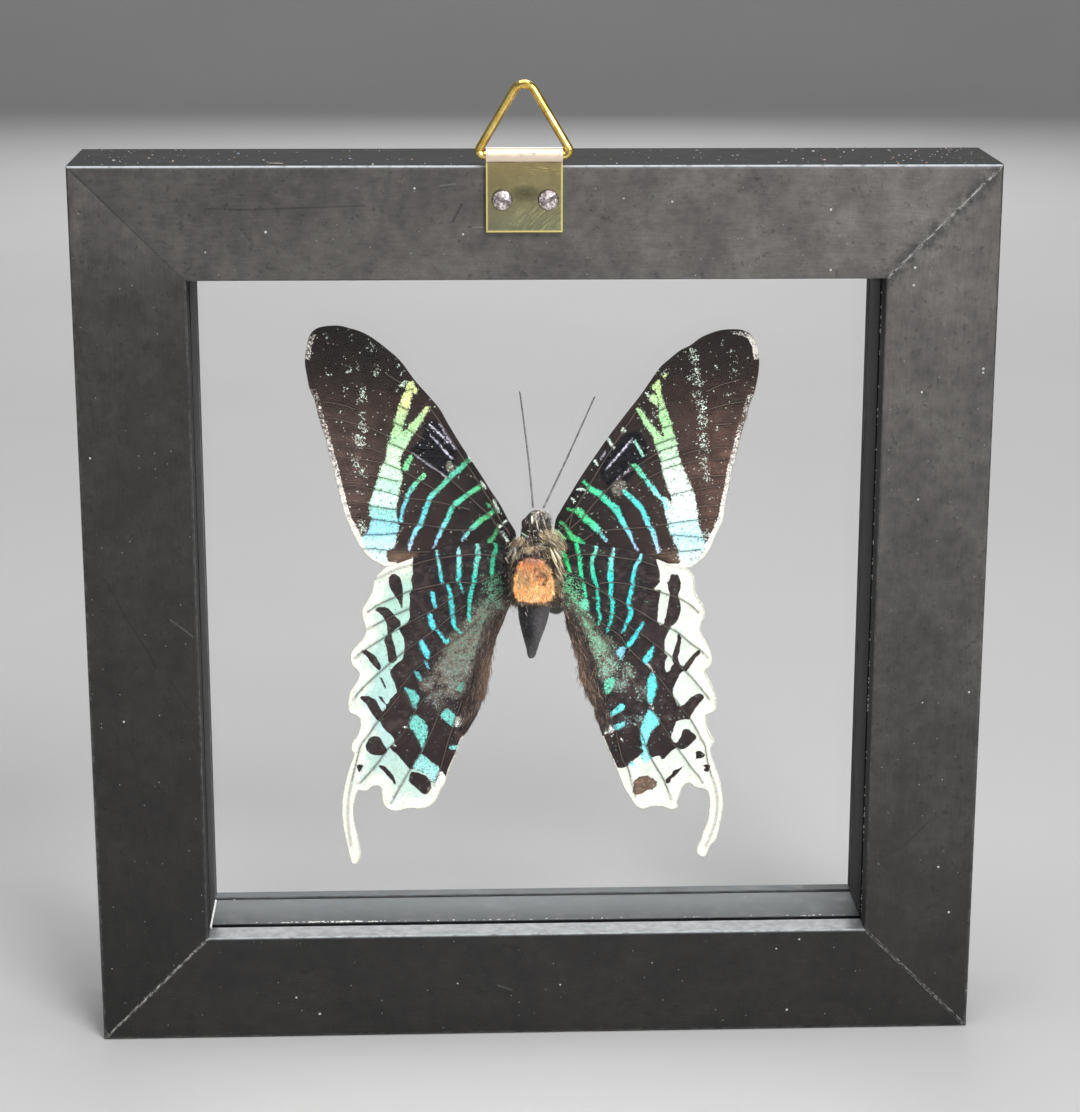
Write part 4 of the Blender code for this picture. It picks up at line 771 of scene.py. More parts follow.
def wing_shader():
    s = Shader("wing scales, underside", Specular_IOR_Level=0.12)
    at = s.place()
    cell = s.cells(at, 1 / 0.17)  # the single scales
    rnd = s.split(cell.outputs["Color"])
    clump = s.split(s.cells(at, 1 / 0.40).outputs["Color"])
    big = s.noise(at, 1.6, 2.0)
    small = s.noise(at, 4.2, 2.0)
    solid = s.value("solid")
    ragged = s.math("MULTIPLY", s.math("SUBTRACT", rnd[0], 0.5), 0.26)
    ragged = s.math("ADD", ragged, s.math("MULTIPLY", s.math("SUBTRACT", big, 0.5), 0.44))
    ragged = s.math("ADD", ragged, s.math("MULTIPLY", s.math("SUBTRACT", small, 0.5), 0.62))
    mark = s.value("mark")
    edge = s.math("ADD", mark, s.math("MULTIPLY", ragged, s.blend(solid, 1.0, 0.4)))
    in_mark = s.band(edge, 0.04, -0.04)
    # scales lost from a marking show the dark ground
    worn_off = s.math("MULTIPLY", s.band(mark, -0.5, 0.0, 0.03, 0.30), s.blend(solid, 1.0, 0.08))
    lost = s.math("LESS_THAN", rnd[1], worn_off)
    patch = s.math("MULTIPLY", s.math("LESS_THAN", clump[0], 0.05), s.blend(solid, 0.5, 0.04))
    lost = s.math("MAXIMUM", s.math("MULTIPLY", lost, 0.72), patch)
    in_mark = s.math("MULTIPLY", in_mark, s.math("SUBTRACT", 1.0, lost))
    dust = s.math("LESS_THAN", rnd[1], s.value("dust"))
    worn = s.value("worn")
    ground = s.shade(s.colour("ground"), s.band(rnd[2], 0, 1, 0.62, 1.36))
    rows = s.noise(s.place((1, 1, 1)), 7.0, 2.0, 0.7)
    ground = s.shade(ground, s.band(rows, 0.25, 0.75, 0.7, 1.3))
    ground = s.shade(ground, s.band(s.noise(s.place((0.22, 1, 1.5), (0, 8, 0)), 1.5, 3.0), 0.35, 0.65, 0.82, 1.18))
    bare = s.mix(s.band(s.noise(s.place((1.0, 1, 3.2), (0, 38, 0)), 1.3, 3.0), 0.48, 0.70), srgb(5, 5, 8), srgb(34, 33, 42))
    ground = s.mix(worn, ground, bare)
    paint = s.shade(s.colour("paint"), s.blend(solid, s.band(rnd[2], 0, 1, 0.80, 1.5), s.band(rnd[2], 0, 1, 0.86, 1.06)))
    paint = s.shade(paint, s.blend(solid, s.band(small, 0.3, 0.7, 0.64, 1.46), s.band(big, 0.3, 0.7, 0.96, 1.06)))
    colour = s.mix(in_mark, ground, paint)
    colour = s.mix(dust, colour, s.shade(s.colour("dust_tint"), s.band(rnd[2], 0, 1, 0.5, 1.2)))
    # painted shade: darker beside the veins
    colour = s.shade(colour, s.value("crease"))
    s.out("Base Color", colour)
    s.out("Roughness", s.blend(worn, s.band(rnd[2], 0, 1, 0.45, 0.66), 0.2))
    height = s.math("MULTIPLY", cell.outputs["Distance"], s.blend(worn, 1.0, 0.15))
    s.out("Normal", s.bump(height, 0.35, 0.06))
    return s.mat


def dorsal_shader():
    s = Shader("wing scales, upper side", Specular_IOR_Level=0.5, Sheen_Weight=0.1)
    at = s.place()
    cell = s.cells(at, 1 / 0.17)
    rnd = s.split(cell.outputs["Color"])
    edge = s.math("ADD", s.value("mark"), s.math("MULTIPLY", s.math("SUBTRACT", rnd[0], 0.5), 0.2))
    in_mark = s.band(edge, 0.04, -0.04)
    velvet = s.shade(s.colour("ground"), s.band(rnd[2], 0, 1, 0.25, 0.55))
    gloss = s.shade(s.colour("upper"), s.band(rnd[2], 0, 1, 0.6, 1.25))
    gloss = s.shade(gloss, s.band(s.noise(at, 0.7, 4.0, 0.65), 0.3, 0.7, 0.6, 1.25))
    # painted shade beside the veins, as on the underside
    s.out("Base Color", s.shade(s.mix(in_mark, velvet, gloss), s.value("crease")))
    s.out("Metallic", s.math("MULTIPLY", in_mark, s.value("irid")))
    s.out("Roughness", s.band(rnd[2], 0, 1, 0.32, 0.5))
    s.out("Normal", s.bump(cell.outputs["Distance"], 0.4, 0.06))
    return s.mat


def vein_shader():
    s = Shader("wing veins", Specular_IOR_Level=0.4)
    s.out("Base Color", s.shade(s.colour("tint"), s.band(s.noise(s.place(), 4.0, 3.0), 0.3, 0.7, 0.7, 1.2)))
    s.out("Roughness", s.band(s.noise(s.place(), 6.0), 0.3, 0.7, 0.4, 0.65))
    return s.mat


def hair_shader(name, roughness=0.5, **constants):
    s = Shader(name, **constants)
    n = s.noise(s.place(), 3.0, 3.0)
    s.out("Base Color", s.shade(s.colour("tint"), s.band(n, 0.3, 0.7, 0.72, 1.2)))
    s.out("Roughness", s.band(n, 0.3, 0.7, roughness - 0.1, roughness + 0.12))
    return s.mat


UNDERSIDE = wing_shader()
UPPERSIDE = dorsal_shader()
VEIN = vein_shader()
FRINGE = hair_shader("fringe scales", 0.5, Specular_IOR_Level=0.35)
WING_HAIR = hair_shader("wing hair", 0.45, Specular_IOR_Level=0.4)


def wing_points(outline):
    """(points, triangles): a triangulated sheet whose first points are the outline, in order."""
    loop = curve_through(outline, GRID, closed=True)
    low, high = loop.min(0), loop.max(0)
    rows = np.arange(low[1], high[1], GRID * 0.866)
    P = []
    for i, z in enumerate(rows):
        x = np.arange(low[0] + (i % 2) * GRID / 2, high[0], GRID)
        P.append(np.column_stack([x, np.full(len(x), z)]))
    P = np.vstack(P)
    rng = np.random.default_rng(5)
    P += rng.uniform(-0.02, 0.02, P.shape)
    A, B = loop, np.roll(loop, -1, axis=0)
    x, z = P[:, 0, None], P[:, 1, None]
    within = np.zeros(len(P), bool)
    for s in range(0, len(P), 4000):
        xs, zs = x[s : s + 4000], z[s : s + 4000]
        crosses = (A[:, 1] > zs) != (B[:, 1] > zs)
        with np.errstate(divide="ignore", invalid="ignore"):
            at = A[:, 0] + (zs - A[:, 1]) * (B[:, 0] - A[:, 0]) / (B[:, 1] - A[:, 1])
        within[s : s + 4000] = (crosses & (xs < at)).sum(1) % 2 == 1
    P = P[within]
    P = P[segment_gap(P, A, B) > GRID * 0.45]
    n = len(loop)
    every = np.vstack([loop, P])
    edges = [(i, (i + 1) % n) for i in range(n)]
    found = geometry.delaunay_2d_cdt([Vector(p) for p in every], edges, [], 1, 1e-6)
    V = np.array([(v.x, v.y) for v in found[0]])
    F = np.array(found[2])
    # triangles anticlockwise in (x, z)
    a, b, c = V[F[:, 0]], V[F[:, 1]], V[F[:, 2]]
    turn = (b[:, 0] - a[:, 0]) * (c[:, 1] - a[:, 1]) - (b[:, 1] - a[:, 1]) * (c[:, 0] - a[:, 0])
    F = np.where((turn < 0)[:, None], F[:, ::-1], F)
    return V, F


def border_of(F):
    """The sheet's border edges, directed as their own triangle runs them."""
    ends = np.vstack([F[:, [0, 1]], F[:, [1, 2]], F[:, [2, 0]]])
    key = np.sort(ends, axis=1)
    _, index, count = np.unique(key, axis=0, return_inverse=True, return_counts=True)
    return ends[count[index.ravel()] == 1]


class Wing:
    """One wing: its sheet, its markings worked out at every point, and what grows on it."""

    def __init__(self, name, outline, y_front, veins, side):
        self.name, self.y_front, self.side = name, y_front, side
        self.outline = outline
        self.veins = [curve_through(v, 0.35) for v in veins]
        self.vein_a = np.vstack([v[:-1] for v in self.veins])
        self.vein_b = np.vstack([v[1:] for v in self.veins])
        self.P, self.F = wing_points(outline)

    def rise(self, P):
        """How far the membrane lies behind the wing's front plane, mm: pleats between veins and a slight waviness."""
        d = segment_gap(P, self.vein_a, self.vein_b)
        pleat = 0.13 * (1 - np.exp(-((d / 0.7) ** 2)))
        wave = 0.05 * lumps(P, 6.0, self.side, 2) + 0.02 * lumps(P, 1.7, self.side + 2, 2)
        return pleat + wave, d

    def build(self, mark, paint, ground, upper, dust, dust_tint, worn, irid, solid, upper_mark=None):
        P, F = self.P, self.F
        rise, vein_gap = self.rise(P)
        n = len(P)
        front = np.column_stack([P[:, 0], self.y_front + rise, P[:, 1]])
        rear = front + [0, SKIN, 0]
        V = np.vstack([front, rear])
        border = border_of(F)
        # seen from -Y, +X to the right and +Z up, an anticlockwise triangle faces -Y
        faces = [F, F[:, ::-1] + n, np.column_stack([border[:, 1], border[:, 0], border[:, 0] + n, border[:, 1] + n])]
        index = np.concatenate([np.zeros(len(F)), np.ones(len(F)), np.zeros(len(border))])
        # painted shade: the scales are painted darker in a thin line along each side of every vein
        crease = 1 - 0.52 * np.exp(-(((vein_gap - 0.13) / 0.14) ** 2))
        twice = lambda a: np.concatenate([a, a])
        upper_mark = mark if upper_mark is None else upper_mark
        # veins, standing a little proud of the underside; on the upper side they show only as the painted vein shade
        parts, tints = [], []
        for line in self.veins:
            inside = shape_gap(line, self.outline, 60) < np.where(line[:, 1] < 43, -1.3, np.where(line[:, 1] < 49, -0.95, -0.25))
            if inside.sum() < 4:
                continue
            line = line[inside]
            r, _ = self.rise(line)
            path = np.column_stack([line[:, 0], self.y_front + r - 0.01, line[:, 1]])
            reach = np.abs(line[:, 0]) / 36
            v, f = tube(path, 0.075 - 0.03 * reach, 6)
            parts.append((v, f))
            here = np.repeat(self.over(line), 6)
            tints.append(np.concatenate([here, here[:1], here[-1:]]))
        v, f, _ = joined(parts)
        over = np.concatenate(tints)[:, None]
        vein_tint = over * srgb(44, 48, 46) + (1 - over) * srgb(92, 78, 68)
        base = len(V)
        V = np.vstack([V, v])
        faces.append(f + base)
        index = np.concatenate([index, np.full(len(f), 2)])
        # mesh_object wants triangles and quads as separate blocks, materials in the same order
        m = len(v)
        zero3, zero = np.zeros((m, 3)), np.zeros(m)
        obj = mesh_object(
            self.name,
            V,
            faces,
            [UNDERSIDE, UPPERSIDE, VEIN],
            index,
            colours={
                "paint": np.vstack([paint, paint, zero3]),
                "ground": np.vstack([ground, ground, zero3]),
                "upper": np.vstack([upper, upper, zero3]),
                "dust_tint": np.vstack([dust_tint, dust_tint, zero3]),
                "tint": np.vstack([np.zeros((2 * n, 3)), vein_tint]),
            },
            values={
                "mark": np.concatenate([mark, upper_mark, zero]),
                "dust": np.concatenate([twice(dust), zero]),
                "worn": np.concatenate([twice(worn), zero]),
                "solid": np.concatenate([twice(solid), zero]),
                "irid": np.concatenate([twice(irid), zero]),
                "crease": np.concatenate([twice(crease), zero + 1]),
            },
        )
        return obj

    def fringe(self, chosen, length, colour, radius=0.07, spacing=0.11, lean=0.25, seed=1):
        """Fine scales standing out of the margin where chosen(P) is above zero."""
        rng = np.random.default_rng(seed)
        loop = curve_through(self.outline, spacing, closed=True)
        ahead = unit(np.roll(loop, -1, axis=0) - np.roll(loop, 1, axis=0))
        area = 0.5 * np.sum(loop[:, 0] * np.roll(loop[:, 1], -1) - np.roll(loop[:, 0], -1) * loop[:, 1])
        outward = np.column_stack([ahead[:, 1], -ahead[:, 0]]) * (1 if area > 0 else -1)
        keep = rng.random(len(loop)) < np.clip(chosen(loop), 0, 1)
        loop, ahead, outward = loop[keep], ahead[keep], outward[keep]
        n = len(loop)
        reach = (length(loop) if callable(length) else length * np.ones(n))[:, None] * rng.uniform(0.75, 1.15, n)[:, None]
        inner = loop - outward * reach * 0.75
        outer = loop + outward * reach * 0.22 + ahead * rng.normal(0, lean, n)[:, None] * reach
        y0 = self.y_front + 0.02 + rng.uniform(0, SKIN, n)
        roots = np.column_stack([inner[:, 0], y0, inner[:, 1]])
        tips = np.column_stack([outer[:, 0], y0 + rng.normal(0, 0.05, n), outer[:, 1]])
        v, f, owner = hairs(roots, tips, radius * rng.uniform(0.7, 1.2, n), middle=1.0)
        tint = colour(loop) * rng.uniform(0.8, 1.12, n)[:, None]
        return v, f, tint[owner]


def cell_of(P, veins):
    """Which cell of the wing a point lies in, counted by the veins above it."""
    count = np.zeros(len(P), int)
    for v in veins:
        order = np.argsort(v[:, 0])
        count += np.interp(P[:, 0], v[order, 0], v[order, 1]) > P[:, 1]
    return count


def by_cell(P, value, cell, seed, amount):
    """The value taken as one per cell, and a slightly different tone for each."""
    rng = np.random.default_rng(seed)
    out, tones = value.copy(), np.ones(len(P))
    for c in np.unique(cell):
        here = cell == c
        out[here] = 0.35 * value[here] + 0.65 * value[here].mean()
        tones[here] = 1 + amount * rng.uniform(-1, 1)
    return out, tones


def least(values):
    return np.min(np.stack(values), axis=0)


def most(values):
    return np.max(np.stack(values), axis=0)


def nearest_colour(gaps, colours):
    """At each point the colour of the marking that lies nearest."""
    pick = np.argmin(np.stack(gaps), axis=0)
    return np.stack(colours)[pick, np.arange(len(pick))]


def dots(P, centres, size, spread, count, seed):
    """Signed distance to scattered single scales round some places."""
    rng = np.random.default_rng(seed)
    C = np.repeat(np.array(centres, float), count, axis=0) + rng.normal(0, 1, (len(centres) * count, 2)) * spread
    r = size * rng.uniform(0.5, 1.0, len(C))
    out = np.full(len(P), 2.5)
    for c, rr in zip(C, r):
        near = near_box(P, c[None], 1.0)
        out[near] = np.minimum(out[near], np.linalg.norm(P[near] - c, axis=1) - rr)
    return out


def tone(P, base, amount, size, seed):
    return base * (1 + amount * lumps(P, size, seed, 3))[:, None]


def forewing(name, side, outline, shapes, streaks, veins, window, scuff, tan, scratches, line, specks, green, band_hues, earth):
    wing = Wing(name, outline, 1.15, veins, side)
    P = wing.P
    rim_tip = 0.13 if side == 2 else 0.05
    x, z = np.abs(P[:, 0]), P[:, 1]

    def band_gap(Q):
        big = [shape_gap(Q, shapes[k]) for k in shapes if k.startswith("band") or k in ("patch", "prong")]
        return least(big)

    bands = [shape_gap(P, s) for k, s in shapes.items()]
    names = list(shapes)
    lines = [streak_gap(P, [(a, b, w * 0.90) for a, b, w in s]) for s in streaks.values()]
    # colours of the pale band: yellow-green at the front edge, mint, near white, then sky blue at the hind corner
    cell = cell_of(P, wing.veins)
    in_band = least([shape_gap(P, shapes[k]) for k in shapes if k.startswith("band")]) < 0.3
    level = z.copy()
    level[in_band], tones = by_cell(P[in_band], z[in_band], cell[in_band], side + 90, 0.10)
    all_tones = np.ones(len(P))
    all_tones[in_band] = tones
    gain, lift = (0.90, 0.08) if side == 1 else (0.84, 0.05)
    band_colour = (gain * fade(-level, [(-top, colour) for top, colour in band_hues]) + lift) * all_tones[:, None]
    if side == 2:
        # a branch of the band runs down into it from the front, greener than the band
        branch = ((x < 20.4 + (100 - z) * 0.32) & (z < 101.2) & (z > 91.5))[:, None]
        band_colour = np.where(branch, fade(-z, [(-99.5, srgb(104, 206, 150)), (-96, srgb(96, 214, 196)), (-93.5, srgb(150, 236, 240))]), band_colour)
    stripe_colour = fade(x, [(6, green[0]), (10, green[1]), (16, green[2]), (21, green[3]), (25, green[4])])
    low = fade(-z, [(-92, green[3]), (-86, srgb(150, 196, 232)), (-84, srgb(176, 196, 230))])
    down = np.clip((91 - z) / 5, 0, 1)[:, None] * np.clip((x - 9) / 4, 0, 1)[:, None]
    stripe_colour = stripe_colour * (1 - down) + low * down
    # the short streaks near the band are green at their upper ends
    fresh = np.clip((z - 93) / 5, 0, 1)[:, None] * np.clip((x - 14) / 3, 0, 1)[:, None]
    stripe_colour = stripe_colour * (1 - fresh) + (srgb(112, 196, 136) if side == 1 else srgb(160, 224, 200)) * fresh
    tick_colour = np.broadcast_to(srgb(214, 234, 220), (len(P), 3))
    gaps, colours = [], []
    for key, gap in zip(names, bands):
        gaps.append(gap)
        colours.append(band_colour if key.startswith(("band", "patch", "prong")) else tick_colour if key.startswith("tick") else stripe_colour)
    for key, gap in zip(streaks, lines):
        gaps.append(gap)
        colours.append(tick_colour if key.startswith("tick") else stripe_colour)
    scratch = least([streak_gap(P, [(a, b, w * 0.10) for a, b in l]) for l, w in scratches])
    gaps.append(scratch)
    colours.append(np.broadcast_to(srgb(206, 204, 220), (len(P), 3)))
    speck = least([dots(P, line, 0.13, 0.42, 9, side + 11), dots(P, specks, 0.12, 0.3, 3, side + 12)])
    gaps.append(speck)
    colours.append(np.broadcast_to(srgb(196, 214, 204), (len(P), 3)))
    mark = least(gaps)
    paint = nearest_colour(gaps, colours)
    # the ground: warm brown in the middle of the outer part, darker at the tip and almost black by the body
    ground = fade(x, [(4, srgb(34, 28, 30)), (12, srgb(46, 38, 39)), (19, srgb(56, 46, 44)), (26, earth[0]), (36, earth[1])])
    tip = np.clip((z - 108) / 12, 0, 1)[:, None]
    ground = ground * (1 - tip) + earth[2] * tip
    ground = ground * np.array([0.60, 0.52, 0.49])
    # painted light: lighter and warmer along the lower outer margin; darker still towards the tip
    painted_margin_light = np.exp(-(((z - 95) / 9) ** 2)) * np.clip((x - 24) / 6, 0, 1)
    ground = ground * (1 + 0.75 * painted_margin_light)[:, None] * (1 - 0.5 * np.clip((z - 107) / 9, 0, 1))[:, None]
    ground = tone(P, ground, 0.4, 2.2, side + 3)
    tan_gap = shape_gap(P, tan)
    t = np.clip(0.5 - tan_gap / 1.3 + 0.3 * lumps(P, 0.7, side + 77, 2), 0, 1)[:, None]
    ground = ground * (1 - t) + srgb(104, 84, 70) * t
    rim_gap = -shape_gap(P, outline, 60)
    rim = np.clip(1 - np.abs(rim_gap - 0.55) / 0.35, 0, 1)[:, None]
    front_edge = ((z > 84 + 0.9 * x) & (z < 116))[:, None] * rim
    ground = ground * (1 - 0.7 * front_edge) + srgb(124, 104, 92) * 0.7 * front_edge
    worn = np.clip(0.5 - shape_gap(P, window) / 0.6, 0, 1)
    scuffed = np.clip(0.5 - shape_gap(P, scuff) / 0.4, 0, 1)
    smear = (scuffed * np.clip(0.55 + 0.9 * lumps(P, 0.5, side + 8, 3), 0, 1))[:, None]
    ground = ground * (1 - smear) + srgb(132, 126, 116) * smear
    worn = worn * (1 - scuffed)
    dust = 0.006 + 0.05 * np.exp(-((least([band_gap(P), np.full(len(P), 2.5)]) / 0.35) ** 2)) + 0.10 * scuffed
    along_line = dots(P, line, 0.7, 0.25, 2, side + 21)
    dust += 0.16 * np.clip(0.5 - along_line / 0.6, 0, 1)
    dust_tint = np.broadcast_to(srgb(206, 218, 200), (len(P), 3))
    upper = fade(x, [(6, srgb(60, 190, 70)), (20, srgb(90, 210, 90)), (30, srgb(50, 190, 150))])
    wing.over = lambda Q: (band_gap(Q) < 0).astype(float)

    def pale_rim(Q):
        """How wide the white line along the outer margin is, mm: a thread near the tip, broader towards the hind corner."""
        qx, qz = np.abs(Q[:, 0]), Q[:, 1]
        outer = (qx > np.where(qz > 103, 30.5, 24.0)) | ((qz < 84) & (qx > 20))
        wide = 0.02 + 0.13 * np.clip((107 - qz) / 20, 0, 1)
        wide = wide * np.clip((115.5 - qz) / 5.0, 0, 1)
        wide = np.where((qz > 117.4) & (qz < 122.8) & (qx > 33), rim_tip * np.clip((122.8 - qz) / 2.5, 0, 1) * np.clip((qz - 117.4) / 2.0, 0, 1), wide)
        wide = np.where(qz > 122.8, 0.0, wide)
        return np.where(outer, wide * (1 + 0.45 * lumps(Q, 0.7, side + 61, 2)), 0.0)

    solid = np.zeros(len(P))
    edge_mark = np.where(pale_rim(P) > 0.01, rim_gap - pale_rim(P) + 0.05, 2.0)
    edge_paint = np.broadcast_to(srgb(232, 228, 220), (len(P), 3))
    paint = np.where((edge_mark < mark)[:, None], edge_paint, paint)
    solid = np.where(edge_mark < mark, 1.0, solid)
    upper_mark = mark
    mark = np.minimum(mark, edge_mark)
    obj = wing.build(mark, paint, ground, upper, dust, dust_tint, worn, np.full(len(P), 0.7), solid, upper_mark)

    def margin(Q):
        qx, qz = np.abs(Q[:, 0]), Q[:, 1]
        outer = (qx > 24.5) & (qz < 117)
        return np.where(outer, 1.0, 0.55) * (qz < 122.6 + 0 * qx) * ((qx > 22) | (qz < 84))

    def margin_colour(Q):
        pale = np.clip(pale_rim(Q) / 0.14, 0, 1)[:, None]
        patchy = (lumps(Q, 1.1, side + 5, 2) > 0.5)[:, None] * (Q[:, 1:] > 96)
        return np.where(patchy, 0.55, 1.0) * pale * srgb(244, 240, 232) + (1 - pale) * srgb(84, 72, 66)

    v, f, tint = wing.fringe(margin, lambda Q: 0.13 + 0.9 * pale_rim(Q), margin_colour, radius=0.05, spacing=0.06, seed=side + 31)
    tufts = mesh_object(name + "_fringe", v, [f], [FRINGE], colours={"tint": tint})
    return wing, [obj, tufts]


def hindwing(name, side, outline, shapes, patches, streaks, veins, tan, dust_areas, hue, hair_line, mintness):
    wing = Wing(name, outline, 0.45, veins, side)
    P = wing.P
    x, z = np.abs(P[:, 0]), P[:, 1]

    def margin_gap(Q):
        """The pale margin: outside the dark disc, less its dark bars and spots."""
        found = -shape_gap(Q, shapes["disc"])
        for key, s in shapes.items():
            if key not in ("disc", "mint"):
                found = np.maximum(found, -shape_gap(Q, s))
        if "mint" in shapes:
            found = np.minimum(found, shape_gap(Q, shapes["mint"]))
        return found

    gap = margin_gap(P)
    rim = -shape_gap(P, outline, 60)
    # white towards the rim and on the tail, mint or pale blue where it meets the disc
    inward = np.clip((rim - 0.3 + 1.1 * lumps(P, 1.4, side + 13, 3)) / 2.6, 0, 1)[:, None] * mintness
    inner = fade(-z, [(-82, srgb(172, 206, 190)), (-70, srgb(170, 208, 194)), (-62, srgb(172, 208, 200)), (-52, srgb(174, 206, 202)), (-42, srgb(184, 210, 196)), (-38, srgb(194, 220, 218))])
    cream = srgb(233, 233, 219)
    margin_colour = cream * (1 - inward) + inner * inward
    margin_colour = margin_colour * (1 + 0.10 * lumps(P, 1.2, side + 1, 3))[:, None]
    gaps, colours = [gap], [margin_colour]
    stripe_colour = fade(x, [(5, hue[0]), (9, hue[1]), (14, hue[2]), (19, hue[3]), (25, hue[4])])
    pale_top = np.clip((z - 80) / 5, 0, 1)[:, None] * np.clip((x - 7) / 5, 0, 1)[:, None] * 0.55
    stripe_colour = stripe_colour * (1 - pale_top) + srgb(186, 238, 232) * pale_top
    if side < 0:
        patch_colour = fade(-z, [(-75, hue[1]), (-66, srgb(78, 160, 166)), (-58, srgb(94, 170, 160)), (-50, srgb(110, 180, 170)), (-44, srgb(148, 202, 198))])
    else:
        patch_colour = fade(-z, [(-75, hue[1]), (-66, srgb(84, 202, 208)), (-58, srgb(92, 206, 212)), (-50, srgb(124, 214, 218)), (-44, srgb(164, 220, 220))])
    for group in (patches, streaks):
        for key, s in group.items():
            gaps.append(shape_gap(P, s) if group is patches else streak_gap(P, [(a, b, w * 0.80) for a, b, w in s]))
            if key.endswith("w") or key.startswith(("w", "d", "q")):
                colours.append(np.broadcast_to(WHITE, (len(P), 3)))
            elif key.startswith(("P", "b")):
                colours.append(patch_colour)
            elif key in ("teal", "gpatch"):
                colours.append(np.broadcast_to(srgb(76, 138, 120) if side < 0 else srgb(92, 176, 148), (len(P), 3)))
            elif key == "lil":
                colours.append(np.broadcast_to(srgb(112, 170, 186), (len(P), 3)))
            else:
                colours.append(stripe_colour)
    mark = least(gaps)
    paint = nearest_colour(gaps, colours)
    solid = (np.argmin(np.stack(gaps), axis=0) == 0).astype(float)
    tan_gap = shape_gap(P, tan) + 0.28 * lumps(P, 0.55, side + 67, 3)
    if side > 0:
        mark = np.maximum(mark, -tan_gap)
    ground = fade(x, [(4, srgb(26, 22, 27)), (10, srgb(34, 28, 34)), (18, srgb(46, 36, 40)), (30, srgb(54, 44, 44))])
    warm = np.clip((62 - z) / 12, 0, 1)[:, None]
    ground = ground * (1 - warm) + srgb(58, 46, 44) * warm
    ground = tone(P, ground * np.array([0.50, 0.45, 0.50]), 0.35, 2.0, side + 3)
    t = np.clip(0.5 - tan_gap / 0.4, 0, 1)[:, None]
    ground = ground * (1 - t) + ((srgb(106, 86, 73) if side > 0 else srgb(120, 110, 98)) * (1 + 0.35 * lumps(P, 0.5, side + 66, 3))[:, None]) * t
    # the inner margin is brown and hairy
    brown = np.clip(1.1 - (streak_gap(P, [(a, b, 0.1) for a, b in hair_line]) / 2.5) + 0.5 * lumps(P, 1.0, side + 19, 2), 0, 1)[:, None]
    brown = brown * np.clip((z - 49) / 4, 0, 1)[:, None]
    ground = ground * (1 - brown) + srgb(84, 72, 66) * brown
    dust = np.full(len(P), 0.01)
    for area, amount in dust_areas:
        dust = np.maximum(dust, amount * np.clip(0.5 - shape_gap(P, area) / 2.2, 0, 1))
    dust = dust * np.clip(0.9 + 0.8 * lumps(P, 1.6, side + 7, 2) + 0.6 * lumps(P, 0.45, side + 9, 2), 0.15, 1.7)
    dust_tint = fade(-z, [(-80, hue[5]), (-66, hue[6]), (-58, hue[7])])
    # the scattered scales lie on greyish, half-rubbed wing
    haze = np.clip(dust * 2.2, 0, 1)[:, None] * np.clip((78 - z) / 5, 0, 1)[:, None] * np.clip((z - 55) / 4, 0, 1)[:, None]
    ground = ground * (1 - 0.9 * haze) + srgb(124, 110, 99) * 0.9 * haze
    # on the upper side a glossy band crosses the wing, uneven and cut by the veins
    across = np.hypot(x - 4, z - 84) - 20 + 1.6 * lumps(P, 5.0, side + 70, 2) + 0.5 * lumps(P, 1.1, side + 71, 2)
    gloss_band = np.abs(across) - 1.9 - 1.2 * lumps(P, 2.6, side + 72, 2) + 0.9 * np.exp(-((segment_gap(P, wing.vein_a, wing.vein_b) / 0.4) ** 2))
    upper_mark = least([gap, least([shape_gap(P, s) for s in patches.values()]), gloss_band])
    upper = fade(-z, [(-82, srgb(40, 170, 150)), (-60, srgb(60, 190, 200)), (-45, srgb(200, 230, 220))])
    # its margin and tail are as pale above as below, and not glossy
    pale_edge = np.clip((1.9 + 1.0 * lumps(P, 1.3, side + 73, 2) - rim) / 0.45, 0, 1)
    pale_edge = (np.maximum(pale_edge, np.clip((46 - z) / 3, 0, 1)) * np.clip(0.5 - gap / 0.2, 0, 1))[:, None]
    upper = upper * (1 - pale_edge) + srgb(226, 224, 210) * pale_edge
    wing.over = lambda Q: (margin_gap(Q) < 0).astype(float)
    obj = wing.build(mark, paint, ground, upper, dust, dust_tint, np.zeros(len(P)), 0.6 * (1 - pale_edge[:, 0]), solid, upper_mark)

    def margin(Q):
        qx = np.abs(Q[:, 0])
        inner_side = (streak_gap(Q, [(a, b, 0.1) for a, b in hair_line]) < 1.0) & (Q[:, 1] > 46)
        return np.where(inner_side | ((Q[:, 1] > 82.5) & (qx < 22)) | (qx < 6.5), 0.0, 1.0)

    v, f, tint = wing.fringe(margin, lambda Q: 0.32 + 0.10 * lumps(Q, 0.9, side + 43, 2), lambda Q: np.broadcast_to(srgb(242, 240, 230), (len(Q), 3)), radius=0.055, spacing=0.07, seed=side + 41)
    tufts = mesh_object(name + "_fringe", v, [f], [FRINGE], colours={"tint": tint})
    # brown hair lying along the inner margin, tips running down and past the edge
    rng = np.random.default_rng(side + 51)
    path = curve_through(hair_line, 0.2)
    way = unit(np.gradient(path, axis=0))
    out = np.column_stack([way[:, 1], -way[:, 0]])
    out *= np.sign((out * np.array([[-side, 0.0]])).sum(1, keepdims=True) + 1e-9)  # towards the abdomen
    n = 4200
